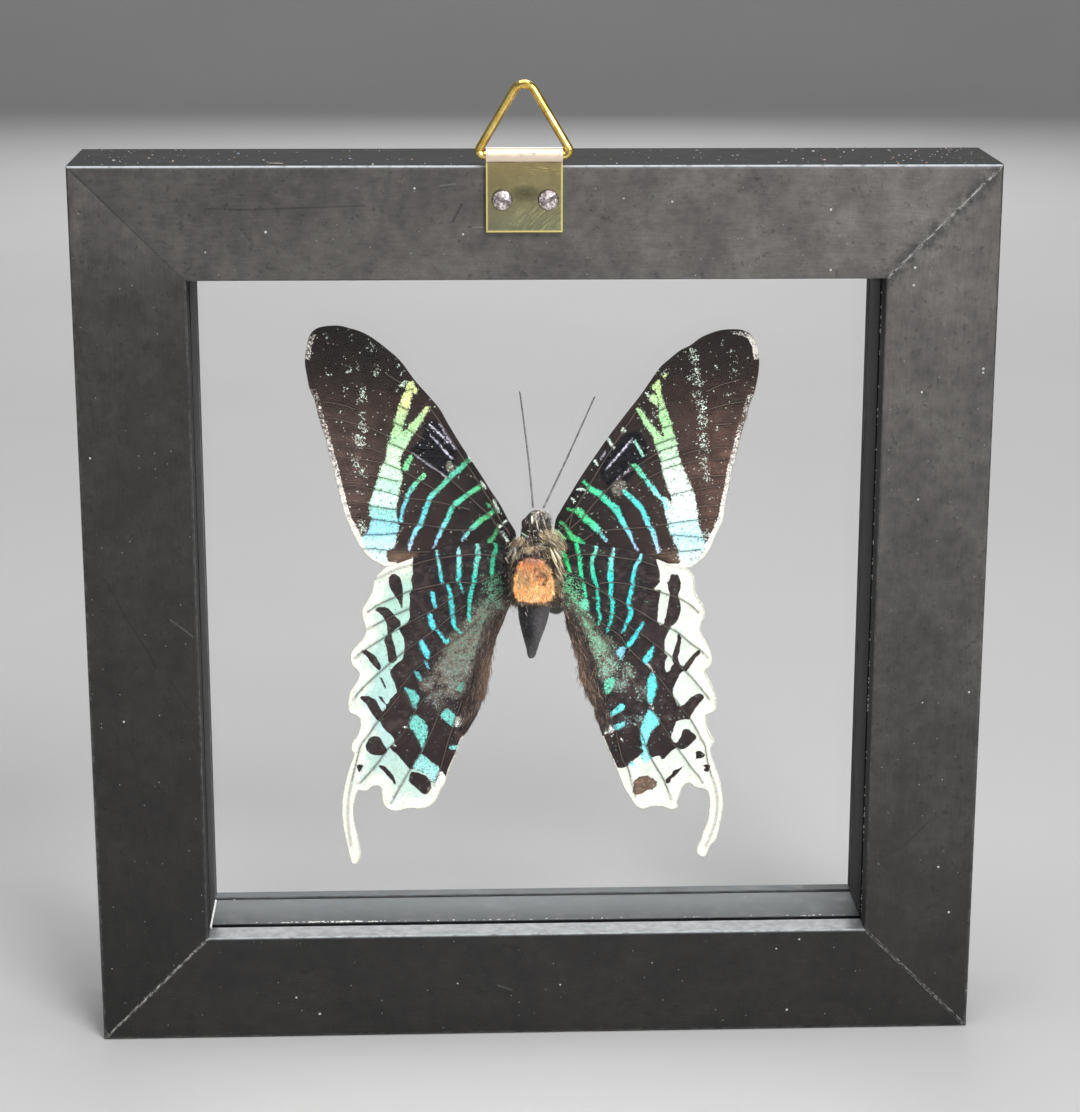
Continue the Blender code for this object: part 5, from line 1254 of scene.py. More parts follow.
    # hairs stand thickest along the middle of the margin
    u = rng.beta(1.6, 1.5, n)
    i = np.minimum((u * len(path)).astype(int), len(path) - 1)
    across = -np.abs(rng.normal(0, 1.0, n)) + 0.12
    across = np.clip(across, -2.6, 0.12)
    root = path[i] + out[i] * across[:, None]
    bushy = np.exp(-(((root[:, 1] - 63) / 6.5) ** 2))
    length = (rng.uniform(0.7, 1.7, n) * (0.75 + 0.65 * bushy))[:, None]
    stray = rng.random(n) < 0.10 + 0.12 * bushy
    spread = np.where(stray, rng.uniform(0.1, 0.55, n), rng.normal(0.02, 0.13, n))
    clump = 0.18 * np.sin(path[i][:, 1] * 4.1 + 3 * np.sin(path[i][:, 1] * 1.3))
    tip = root + way[i] * length + out[i] * ((spread + clump) * length[:, 0])[:, None]
    over = shape_gap(tip, outline, 30)
    limit = np.where(stray, 1.0, 0.35)
    tip = np.where((over > limit)[:, None], root + (tip - root) * 0.5, tip)
    y = 0.45 - rng.uniform(0.02, 0.26, n)
    V, F, owner = hairs(
        np.column_stack([root[:, 0], y + 0.1, root[:, 1]]),
        np.column_stack([tip[:, 0], y + rng.uniform(-0.16, 0.1, n), tip[:, 1]]),
        rng.uniform(0.022, 0.048, n),
        rng.normal(0, 0.10, (n, 3)) * length,
        0.9,
    )
    pick = rng.random(n)[:, None]
    # painted highlight: the hair is painted lighter and warmer about the middle of the margin and close to its edge,
    # with more pale strands there
    lit = (np.exp(-(((root[:, 1] - 63) / 5.0) ** 2)) * np.clip(1.2 + across / 1.6, 0.1, 1))[:, None]
    tint = srgb(66, 56, 54) * (1 - lit) + srgb(142, 112, 92) * lit
    tint = tint * (0.45 + 1.0 * pick)
    tint = np.where(rng.random((n, 1)) < 0.10 + 0.12 * lit, srgb(190, 162, 140), tint)
    tint = np.where(rng.random((n, 1)) < 0.16, srgb(44, 36, 34), tint)
    fur = mesh_object(name + "_margin_hair", V, [F], [WING_HAIR], colours={"tint": tint[owner]})
    return wing, [obj, tufts, fur]


LEFT_FOREWING_OUTLINE += [(-19.0, 80.9), (-11.0, 80.4), (-4.4, 80.6), (-3.4, 84.6)]
RIGHT_FOREWING_OUTLINE += [(18.6, 80.8), (10.8, 80.4), (4.2, 80.6), (3.2, 85.2)]
LEFT_HINDWING_OUTLINE += [(-4.0, 76.4), (-3.9, 80.5), (-4.6, 84.8)]
RIGHT_HINDWING_OUTLINE += [(4.0, 76.4), (3.9, 80.5)]
LEFT_FOREWING_SHAPES["tick_top"] = [(-23.1, 113.4), (-22.4, 114.2), (-21.9, 113.9), (-22.6, 113.1)]

LEFT_GREENS = [srgb(62, 140, 92), srgb(84, 178, 124), srgb(86, 190, 176), srgb(98, 196, 206), srgb(120, 200, 222)]
RIGHT_GREENS = [srgb(66, 176, 106), srgb(70, 192, 138), srgb(74, 204, 190), srgb(92, 208, 216), srgb(116, 204, 226)]
LEFT_BAND = [
    (113.0, srgb(186, 208, 124)), (110.3, srgb(208, 220, 130)), (108.5, srgb(150, 186, 122)), (106.3, srgb(152, 204, 132)),
    (104.0, srgb(154, 212, 150)), (101.8, srgb(184, 234, 180)), (99.6, srgb(188, 238, 188)), (97.4, srgb(172, 224, 186)),
    (95.5, srgb(156, 222, 182)), (93.9, srgb(198, 244, 228)), (92.0, srgb(132, 202, 174)), (90.1, srgb(118, 194, 206)),
    (87.9, srgb(132, 208, 230)), (85.7, srgb(166, 226, 234)), (83.5, srgb(196, 232, 232)),
]  # fmt: skip
RIGHT_BAND = [
    (114.0, srgb(176, 206, 128)), (111.0, srgb(178, 222, 150)), (107.5, srgb(160, 222, 150)), (104.5, srgb(166, 224, 156)),
    (102.0, srgb(190, 240, 192)), (99.5, srgb(206, 244, 210)), (97.0, srgb(222, 248, 226)), (94.5, srgb(232, 250, 240)),
    (92.0, srgb(226, 248, 246)), (90.0, srgb(206, 244, 246)), (87.5, srgb(168, 234, 242)), (85.0, srgb(186, 236, 242)),
    (82.5, srgb(214, 238, 232)),
]  # fmt: skip
LEFT_EARTH = [srgb(70, 59, 55), srgb(82, 70, 65), srgb(46, 39, 36)]
RIGHT_EARTH = [srgb(76, 61, 55), srgb(88, 72, 65), srgb(48, 39, 36)]
LEFT_HUES = [srgb(30, 150, 96), srgb(50, 168, 138), srgb(66, 186, 186), srgb(86, 190, 206), srgb(140, 214, 218)]
LEFT_HUES += [srgb(84, 140, 112), srgb(112, 138, 122), srgb(130, 148, 146)]
RIGHT_HUES = [srgb(34, 186, 96), srgb(44, 196, 150), srgb(54, 204, 200), srgb(72, 206, 216), srgb(116, 220, 226)]
RIGHT_HUES += [srgb(104, 188, 134), srgb(130, 190, 160), srgb(150, 188, 186)]
LEFT_HAIR_LINE = [(-5.2, 74.0), (-6.2, 71.6), (-7.1, 69.0), (-7.9, 66.0), (-8.5, 62.6), (-9.2, 59.2), (-10.4, 56.2), (-12.2, 52.2)]
RIGHT_HAIR_LINE = [(5.1, 73.6), (5.6, 71.0), (6.6, 68.0), (7.5, 65.0), (8.0, 62.4), (9.0, 59.6), (10.4, 56.0), (11.6, 52.0)]

pieces = []
_, made = forewing(
    "left_forewing_scales", 1, LEFT_FOREWING_OUTLINE, LEFT_FOREWING_SHAPES, LEFT_FOREWING_STREAKS, LEFT_FOREWING_VEINS,
    LEFT_FOREWING_WINDOW, LEFT_FOREWING_SCUFF, LEFT_FOREWING_TAN, LEFT_FOREWING_SCRATCHES, LEFT_FOREWING_SPECKLE_LINE,
    LEFT_FOREWING_SPECKS, LEFT_GREENS, LEFT_BAND, LEFT_EARTH,
)  # fmt: skip
pieces.append(("left_forewing", made, "forewing_scales"))
_, made = forewing(
    "right_forewing_scales", 2, RIGHT_FOREWING_OUTLINE, RIGHT_FOREWING_SHAPES, RIGHT_FOREWING_STREAKS, RIGHT_FOREWING_VEINS,
    RIGHT_FOREWING_WINDOW, RIGHT_FOREWING_SCUFF, RIGHT_FOREWING_TAN, RIGHT_FOREWING_SCRATCHES, RIGHT_FOREWING_SPECKLE_LINE,
    RIGHT_FOREWING_SPECKS, RIGHT_GREENS, RIGHT_BAND, RIGHT_EARTH,
)  # fmt: skip
pieces.append(("right_forewing", made, "forewing_scales"))
_, made = hindwing(
    "left_hindwing_scales", -1, LEFT_HINDWING_OUTLINE, LEFT_HINDWING_SHAPES, LEFT_HINDWING_PATCH_SHAPES,
    LEFT_HINDWING_PATCH_STREAKS, LEFT_HINDWING_VEINS, LEFT_HINDWING_TAN, LEFT_HINDWING_DUST, LEFT_HUES, LEFT_HAIR_LINE, 1.0,
)  # fmt: skip
pieces.append(("left_hindwing", made, "hindwing_scales"))
_, made = hindwing(
    "right_hindwing_scales", 1, RIGHT_HINDWING_OUTLINE, RIGHT_HINDWING_SHAPES, RIGHT_HINDWING_PATCH_SHAPES,
    RIGHT_HINDWING_PATCH_STREAKS, RIGHT_HINDWING_VEINS, RIGHT_HINDWING_TAN, RIGHT_HINDWING_DUST, RIGHT_HUES, RIGHT_HAIR_LINE, 0.35,
)  # fmt: skip
pieces.append(("right_hindwing", made, "hindwing_scales"))
for node, made, slot in pieces:
    for obj in made:
        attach(obj, "frame")
    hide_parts(node)


# ======================================================= the body
BODY = np.array(
    [
        (91.7, 0.1, 0.5, 0.6, 0.6), (91.0, 0.1, 0.4, 1.5, 1.4), (89.6, 0.1, 0.2, 2.2, 2.1),
        (88.0, 0.1, 0.1, 2.4, 2.3), (86.7, 0.0, 0.1, 2.4, 2.4), (85.4, 0.0, 0.1, 3.4, 3.3),
        (83.6, 0.0, 0.1, 4.2, 3.8), (81.2, 0.0, 0.1, 4.5, 3.95), (78.4, 0.0, 0.2, 4.3, 3.9),
        (76.4, -0.1, 0.3, 3.5, 3.3), (75.0, -0.3, 0.4, 2.9, 2.8), (73.0, -0.4, 0.5, 2.6, 2.6),
        (70.9, -0.5, 0.5, 2.08, 2.2), (69.4, -0.6, 0.5, 1.6, 1.75), (68.0, -0.65, 0.5, 1.18, 1.3), (66.7, -0.7, 0.5, 0.82, 0.9),
        (65.9, -0.75, 0.5, 0.6, 0.65), (65.4, -0.8, 0.5, 0.22, 0.25),
    ]
)  # fmt: skip
FLAT_Y = -3.8  # the thorax is pressed flat against the glue


def station(z):
    """(x, y, half width, half depth) of the body at a height."""
    return [np.interp(-z, -BODY[:, 0], BODY[:, k]) for k in (1, 2, 3, 4)]


def skin(angle, z, out=0.0):
    """A point on the body: angle 0 at +X, -90 degrees on the underside facing the hanger's side."""
    x, y, w, d = station(z)
    px = x + (w + out) * np.cos(angle)
    py = np.maximum(y + (d + out) * np.sin(angle), FLAT_Y - 0.6 * out)
    return np.stack([px, py, z], axis=-1)


def make_body_shell():
    dense = curve_through(np.column_stack([BODY[:, 0], BODY[:, 1:]]), 0.2)
    sides = 72
    a = 2 * math.pi * np.arange(sides) / sides
    rings = []
    for z, x, y, w, d in dense:
        ring = np.column_stack([x + w * np.cos(a), np.maximum(y + d * np.sin(a), FLAT_Y), np.full(sides, z)])
        rings.append(ring)
    V = np.vstack(rings)
    n = len(dense)
    # soft lumps, and on the abdomen the grooves between its segments
    z = V[:, 2]
    centre = np.column_stack([np.repeat(dense[:, 1], sides), np.repeat(dense[:, 2], sides), z])
    outward = unit(V - centre)
    groove = np.where(z < 76.2, np.cos(2 * math.pi * (z - 66.0) / 1.55), 0)
    swell = 0.10 * lumps(V, 1.4, 3, 3) - 0.08 * np.clip(groove, 0.2, 1) * (z < 76.2)
    V = V + outward * swell[:, None]
    V[:, 1] = np.maximum(V[:, 1], FLAT_Y)
    F = []
    k = np.arange(sides)
    m = (k + 1) % sides
    for i in range(n - 1):
        a0, b0 = i * sides, (i + 1) * sides
        F.append(np.column_stack([a0 + k, b0 + k, b0 + m]))
        F.append(np.column_stack([a0 + k, b0 + m, a0 + m]))
    V = np.vstack([V, V[:sides].mean(0), V[(n - 1) * sides : n * sides].mean(0)])
    F.append(np.column_stack([np.full(sides, n * sides), k, m]))
    F.append(np.column_stack([np.full(sides, n * sides + 1), (n - 1) * sides + m, (n - 1) * sides + k]))
    F = np.vstack(F)[:, ::-1]
    z = V[:, 2]
    tint = fade(z, [(66, srgb(66, 64, 66)), (74, srgb(50, 48, 50)), (76.5, srgb(40, 34, 32)), (80, srgb(52, 40, 32)), (87, srgb(60, 48, 38)), (91, srgb(40, 36, 34))])
    # the abdomen is frosted grey on its right and towards its end, and dark on its left
    low = (z < 76)[:, None]
    right = np.clip((V[:, 0] + 0.9) / 1.5, 0, 1)[:, None]
    end = np.clip((69.5 - z) / 3.0, 0, 1)[:, None]
    frost = np.clip(np.maximum(right, end) + 0.35 * lumps(V, 0.5, 12, 3)[:, None], 0, 1)
    belly = srgb(20, 18, 22) * (1 - frost) + srgb(84, 82, 84) * frost
    tint = np.where(low, belly, tint)
    tint = tint * (1 + 0.35 * lumps(V, 0.45, 5, 3))[:, None]
    return mesh_object("moth_body_skin", V, [F], [BODY_SKIN], colours={"tint": np.clip(tint, 0.004, 1)})


def body_skin_shader():
    s = Shader("body skin", Specular_IOR_Level=0.3)
    at = s.place()
    n = s.noise(at, 2.2, 5.0, 0.7)
    fine = s.noise(at, 7.0, 3.0, 0.6)
    flake = s.split(s.cells(at, 5.0).outputs["Color"])
    base = s.shade(s.colour("tint"), s.band(n, 0.3, 0.7, 0.55, 1.4))
    s.out("Base Color", s.shade(base, s.band(flake[0], 0.0, 1.0, 0.7, 1.3)))
    s.out("Roughness", s.band(n, 0.3, 0.7, 0.36, 0.6))
    s.out("Normal", s.bump(s.math("ADD", n, fine), 0.6, 0.10))
    return s.mat


BODY_SKIN = body_skin_shader()
BODY_HAIR = hair_shader("body hair", 0.42, Specular_IOR_Level=0.45)
BRIGHT_SCALES = hair_shader("pale leg and head scales", 0.4, Specular_IOR_Level=0.5)


def make_body_hair():
    rng = np.random.default_rng(77)
    roots, tips, radii, tints, bends = [], [], [], [], []

    def add(root, tip, radius, tint, bend=None):
        roots.append(root), tips.append(tip), radii.append(radius), tints.append(tint)
        bends.append(np.zeros_like(root) if bend is None else bend)

    # thorax and head: short dark hair lying down and back
    n = 5200
    z = rng.uniform(76.2, 91.2, n)
    a = rng.uniform(0, 2 * math.pi, n)
    root = skin(a, z, -0.1)
    normal = np.column_stack([np.cos(a), np.sin(a), np.zeros(n)])
    length = rng.uniform(0.5, 1.25, n)[:, None] * np.where(z > 87, 0.6, 1.0)[:, None]
    lie = np.column_stack([rng.normal(0, 0.28, n), rng.normal(0, 0.1, n), -1 + rng.normal(0, 0.15, n)])
    tip = root + (unit(lie) * 0.85 + normal * rng.uniform(0.1, 0.42, n)[:, None]) * length
    tip[:, 1] = np.maximum(tip[:, 1], -4.05)
    shade = rng.random(n)[:, None]
    tint = srgb(38, 30, 27) * (0.5 + shade) * 1.1
    warm = np.exp(-(((root[:, 0] - 3.4) / 1.6) ** 2))[:, None] * (rng.random(n) < 0.55)[:, None]
    tint = tint * (1 - warm) + srgb(142, 112, 74) * (0.6 + 0.7 * shade) * warm
    add(root, tip, rng.uniform(0.035, 0.06, n), tint)
    # abdomen: short grey scales, more frosted on the right
    n = 2000
    z = rng.uniform(65.6, 76.6, n)
    a = rng.uniform(0, 2 * math.pi, n)
    root = skin(a, z, -0.06)
    normal = np.column_stack([np.cos(a), np.sin(a), np.zeros(n)])
    tip = root + (np.array([0, 0, -1.0]) * 0.9 + normal * rng.uniform(0.05, 0.25, n)[:, None]) * rng.uniform(0.2, 0.42, n)[:, None]
    right = np.clip((root[:, 0] + 0.9) / 2.0, 0, 1)
    frost = (rng.random(n) < 0.10 + 0.38 * right)[:, None]
    tint = np.where(frost, srgb(128, 124, 124) * rng.uniform(0.5, 1.1, (n, 1)), srgb(46, 44, 46) * rng.uniform(0.6, 1.4, (n, 1)))
    add(root, tip, rng.uniform(0.018, 0.035, n), tint)

    def tuft(centre, spread, way, fan, length, count, colours, radius=(0.03, 0.06), curl=0.15):
        """A bundle of long hairs rooted round a place and fanning along a way."""
        c = np.array(centre, float)
        root = c + rng.normal(0, 1, (count, 3)) * np.array(spread)
        clump = lumps(root, 0.38, len(roots), 2)
        lean = np.column_stack([clump, 0 * clump, lumps(root, 0.6, len(roots) + 40, 2)]) * np.array(fan) * 1.3
        d = unit(np.array(way, float) + lean + rng.normal(0, 1, (count, 3)) * np.array(fan) * 1.15)
        L = rng.uniform(*length, count)[:, None] * 0.82
        tip = root + d * L
        tip[:, 1] = np.maximum(tip[:, 1], -4.4)
        root[:, 1] = np.maximum(root[:, 1], -4.3)
        pick = rng.integers(0, len(colours), count)
        tint = np.array(colours)[pick] * rng.uniform(0.5, 1.3, (count, 1)) * np.clip(0.95 + 3.0 * clump, 0.10, 2.4)[:, None]
        # painted glints: one hair in twenty is near white
        tint = np.where(rng.random((count, 1)) < 0.05, srgb(250, 244, 232), tint)
        add(root, tip, rng.uniform(*radius, count), tint, rng.normal(0, curl, (count, 3)) * L * 0.3)

    cream, straw, dim, dark = srgb(250, 234, 206), srgb(222, 184, 134), srgb(140, 112, 88), srgb(48, 37, 33)
    black = srgb(30, 25, 24)
    fine = (0.016, 0.036)
    # left tuft by the wing root, and the pale streaks under it
    tuft((-2.6, -3.3, 87.3), (0.75, 0.3, 0.42), (-0.4, -0.35, -1), (0.45, 0.2, 0.3), (0.6, 1.4), 620, [cream, straw, straw, dim, dark], fine, 0.3)
    tuft((-3.7, -2.9, 85.6), (0.45, 0.3, 0.6), (-0.4, -0.3, -1), (0.28, 0.2, 0.3), (0.8, 1.7), 420, [cream, cream, straw, dim, dark], fine, 0.2)
    tuft((-4.2, -2.4, 82.0), (0.35, 0.4, 2.0), (-0.4, -0.3, -1), (0.35, 0.2, 0.35), (0.5, 1.1), 620, [dim, dark, dark, black], fine, 0.3)
    tuft((-3.9, -2.8, 78.0), (0.4, 0.4, 1.2), (-0.3, -0.3, -1), (0.4, 0.2, 0.35), (0.5, 1.1), 420, [dark, dark, black, dim], fine, 0.3)
    # middle tufts over the glue, with black between
    tuft((-1.3, -3.65, 86.0), (0.55, 0.15, 0.25), (-0.2, -0.2, -1), (0.5, 0.15, 0.35), (0.4, 0.95), 420, [cream, straw, dim], fine, 0.35)
    tuft((0.3, -3.65, 86.2), (0.6, 0.15, 0.3), (0.35, -0.2, -1), (0.5, 0.15, 0.35), (0.4, 1.0), 420, [cream, straw, dim, dark], fine, 0.35)
    tuft((1.5, -3.6, 85.1), (0.5, 0.2, 0.5), (0.35, -0.2, -1), (0.35, 0.15, 0.35), (0.5, 1.1), 300, [dark, dim, black, straw], fine, 0.3)
    tuft((-0.9, -3.3, 87.6), (0.9, 0.3, 0.4), (0.2, -0.3, -1), (0.5, 0.2, 0.35), (0.4, 0.9), 420, [dark, black, srgb(120, 116, 110), dim], fine, 0.3)
    # right tuft, golden, running out along the wing root
    tuft((2.0, -3.1, 88.5), (0.75, 0.3, 0.5), (0.7, -0.25, -0.9), (0.3, 0.15, 0.25), (0.9, 2.0), 680, [straw, straw, cream, dim], fine, 0.25)
    tuft((3.3, -2.9, 86.8), (0.55, 0.3, 0.7), (0.55, -0.25, -1), (0.25, 0.15, 0.2), (0.9, 1.9), 520, [straw, cream, dim, dim], fine, 0.2)
    tuft((3.7, -3.0, 82.0), (0.3, 0.3, 1.4), (0.35, -0.3, -1), (0.26, 0.15, 0.2), (0.8, 1.6), 620, [cream, straw, straw, dim, dark], fine, 0.2)
    tuft((4.1, -2.4, 79.2), (0.3, 0.3, 1.2), (0.3, -0.25, -1), (0.3, 0.15, 0.2), (0.6, 1.3), 360, [dim, dark, straw, black], fine, 0.25)
    # under the glue, dark matted hair with tan points
    tuft((-2.0, -3.3, 76.9), (1.1, 0.3, 0.4), (-0.1, -0.3, -1), (0.5, 0.15, 0.3), (0.5, 1.1), 520, [dark, black, dim, straw * 0.7], fine, 0.3)
    tuft((1.6, -3.0, 76.4), (1.3, 0.3, 0.4), (0.1, -0.2, -1), (0.4, 0.15, 0.3), (0.5, 1.0), 420, [dark, dim, black], fine, 0.3)
    # head: pale scales among dark ones
    pale_head = [cream, srgb(200, 198, 190), srgb(150, 148, 142), dim]
    tuft((-0.2, -1.9, 91.2), (0.28, 0.2, 0.35), (-0.05, -0.2, -1), (0.14, 0.2, 0.25), (0.5, 1.2), 320, pale_head, fine, 0.15)
    tuft((-0.5, -1.9, 90.2), (0.5, 0.2, 0.5), (0, -0.2, -1), (0.25, 0.2, 0.3), (0.4, 0.9), 260, [dark, black, dim, srgb(120, 118, 112)], fine, 0.2)
    tuft((0.9, -1.75, 91.2), (0.28, 0.2, 0.3), (0.15, -0.2, -1), (0.2, 0.2, 0.3), (0.4, 1.1), 240, pale_head, fine, 0.15)
    tuft((1.7, -1.4, 90.6), (0.45, 0.3, 0.5), (0.3, -0.2, -1), (0.25, 0.2, 0.3), (0.4, 0.9), 300, [srgb(118, 118, 108), srgb(158, 156, 142), dark], fine, 0.2)
    tuft((0.5, -1.6, 91.9), (0.6, 0.15, 0.1), (1.0, -0.1, -0.4), (0.15, 0.15, 0.2), (0.4, 0.9), 140, [cream, dim, dark], fine, 0.1)
    tuft((1.0, -2.6, 88.9), (0.9, 0.3, 0.45), (0.1, -0.2, -1), (0.3, 0.2, 0.3), (0.4, 0.9), 360, [dark, black, srgb(110, 108, 100)], fine, 0.2)
    V, F, owner = hairs(np.vstack(roots), np.vstack(tips), np.concatenate(radii), np.vstack(bends), 0.85)
    tint = np.clip(np.vstack(tints), 0.002, 1)
    return mesh_object("moth_body_hair", V, [F], [BODY_HAIR], colours={"tint": tint[owner]})


def ellipsoid(centre, half, rows=24, sides=36, rough=0.0, seed=0):
    th = np.pi * np.arange(1, rows) / rows
    ph = 2 * np.pi * np.arange(sides) / sides
    T, Q = np.meshgrid(th, ph, indexing="ij")
    D = np.stack([np.sin(T) * np.cos(Q), np.sin(T) * np.sin(Q), np.cos(T)], -1).reshape(-1, 3)
    D = np.vstack([D, [0, 0, 1.0], [0, 0, -1.0]])
    V = D * np.array(half) * (1 + rough * lumps(D, 0.5, seed, 2))[:, None] + np.array(centre)
    F = []
    k = np.arange(sides)
    m = (k + 1) % sides
    for i in range(rows - 2):
        a, b = i * sides, (i + 1) * sides
        F.append(np.column_stack([a + k, b + k, b + m]))
        F.append(np.column_stack([a + k, b + m, a + m]))
    top, bottom, last = (rows - 1) * sides, (rows - 1) * sides + 1, (rows - 2) * sides
    F.append(np.column_stack([np.full(sides, top), k, m]))
    F.append(np.column_stack([np.full(sides, bottom), last + m, last + k]))
    return V, np.vstack(F)


def make_head():
    """Two eyes, palps and the short folded legs: dark, with pale scaled bars."""
    parts, tints = [], []

    def add(vf, colour):
        parts.append(vf)
        tints.append(np.broadcast_to(colour, (len(vf[0]), 3)) * (1 + 0.25 * lumps(vf[0], 0.35, 9, 2))[:, None])

    add(ellipsoid((-1.65, -0.2, 89.6), (0.85, 1.0, 1.05), rough=0.03), srgb(40, 31, 28))
    add(ellipsoid((1.75, -0.2, 89.7), (0.8, 1.0, 1.0), rough=0.03), srgb(40, 31, 28))
    add(ellipsoid((-0.75, -3.45, 86.0), (0.6, 0.35, 0.5), rough=0.12), srgb(128, 106, 84))
    add(ellipsoid((0.55, -3.4, 86.7), (0.75, 0.3, 0.42), rough=0.12), srgb(112, 106, 98))
    dark, pale, cream = srgb(40, 34, 30), srgb(232, 232, 220), srgb(206, 192, 156)

    def limb(points, radii, colour):
        path = curve_through(points, 0.12)
        r = np.interp(np.linspace(0, 1, len(path)), np.linspace(0, 1, len(radii)), radii)
        add(tube(path, r, 10), colour)

    # palps over the face, and the coiled tongue between them
    limb([(-0.75, -1.2, 88.2), (-0.9, -2.0, 89.4), (-0.8, -1.9, 91.0), (-0.55, -1.2, 92.0)], [0.24, 0.30, 0.24, 0.1], srgb(66, 60, 54))
    limb([(0.85, -1.2, 88.2), (0.95, -2.0, 89.4), (0.85, -1.9, 91.0), (0.6, -1.2, 92.0)], [0.24, 0.30, 0.24, 0.1], srgb(58, 54, 50))
    coil = [(0.05 + 0.42 * math.cos(t) * (1 - t / 16), -1.9 - 0.02 * t, 89.3 + 0.42 * math.sin(t) * (1 - t / 16)) for t in np.linspace(0, 12, 40)]
    limb(coil, [0.09, 0.07, 0.05], srgb(70, 52, 36))
    # short pale bars of scales
    limb([(-0.78, -2.3, 91.45), (-0.72, -2.4, 90.8), (-0.74, -2.3, 90.1)], [0.12, 0.2, 0.1], pale)
    limb([(0.28, -1.7, 92.0), (0.36, -1.8, 91.85)], [0.17, 0.15], srgb(250, 250, 246))
    limb([(1.8, -1.5, 91.9), (1.9, -1.6, 91.75)], [0.14, 0.12], pale)
    limb([(-0.03, -2.3, 90.7), (0.15, -2.45, 89.8), (0.4, -2.4, 88.8)], [0.10, 0.16, 0.08], srgb(202, 194, 176))
    limb([(1.16, -2.0, 90.9), (1.4, -2.2, 90.1), (1.68, -2.1, 89.3)], [0.10, 0.15, 0.08], srgb(184, 180, 164))
    limb([(-1.5, -3.0, 89.1), (-1.1, -3.1, 88.9)], [0.10, 0.08], srgb(170, 168, 160))
    # painted glints: short bright strokes on the dark left of the abdomen
    for x0, z0, x1, z1 in ((-2.0, 76.3, -1.75, 75.4), (-1.6, 75.6, -1.5, 74.4), (-1.05, 76.0, -1.15, 74.7), (-1.9, 74.4, -1.6, 73.7)):
        y0 = [-1.55, -2.05, -2.35, -1.5][int(z0 * 10) % 4] - 0.35
        limb([(x0, y0 - 0.15, z0), (x1, y0 - 0.15, z1)], [0.05, 0.03], srgb(214, 206, 206))
    # the legs, folded against the breast
    limb([(-2.75, -3.3, 88.9), (-2.1, -3.6, 88.5), (-1.4, -3.6, 88.0)], [0.12, 0.15, 0.1], srgb(150, 170, 156))
    limb([(-1.4, -3.6, 88.0), (-0.6, -3.75, 87.7), (0.4, -3.7, 87.9)], [0.14, 0.16, 0.12], dark)
    limb([(0.9, -3.5, 88.0), (2.0, -3.75, 87.0), (3.1, -3.5, 86.0)], [0.14, 0.17, 0.1], srgb(84, 70, 52))
    limb([(2.3, -3.6, 86.1), (2.9, -3.75, 84.2), (3.9, -3.6, 82.0), (4.4, -3.2, 80.5)], [0.13, 0.17, 0.15, 0.08], cream)
    limb([(2.8, -3.5, 86.4), (3.5, -3.6, 84.8), (4.5, -3.3, 82.8)], [0.12, 0.15, 0.08], cream * 0.9)
    limb([(2.0, -3.6, 87.6), (3.1, -3.5, 86.7), (4.0, -3.0, 86.2)], [0.12, 0.14, 0.08], cream * 0.8)
    limb([(-5.25, -1.2, 83.9), (-4.75, -1.3, 83.0)], [0.16, 0.13], srgb(226, 222, 214))
    limb([(2.45, -3.8, 85.9), (2.95, -3.95, 84.8), (3.44, -3.8, 83.7)], [0.10, 0.17, 0.09], srgb(240, 228, 204))
    limb([(3.2, -3.6, 85.6), (3.7, -3.7, 84.9), (4.18, -3.5, 84.1)], [0.08, 0.14, 0.08], srgb(236, 222, 196))
    limb([(-3.2, -3.3, 85.2), (-3.9, -3.2, 83.9), (-4.4, -2.9, 82.6)], [0.12, 0.14, 0.07], srgb(150, 134, 100))
    V, F, owner = joined(parts)
    return mesh_object("moth_head_and_legs", V, [F], [BRIGHT_SCALES], colours={"tint": np.clip(np.vstack(tints), 0.002, 1)})


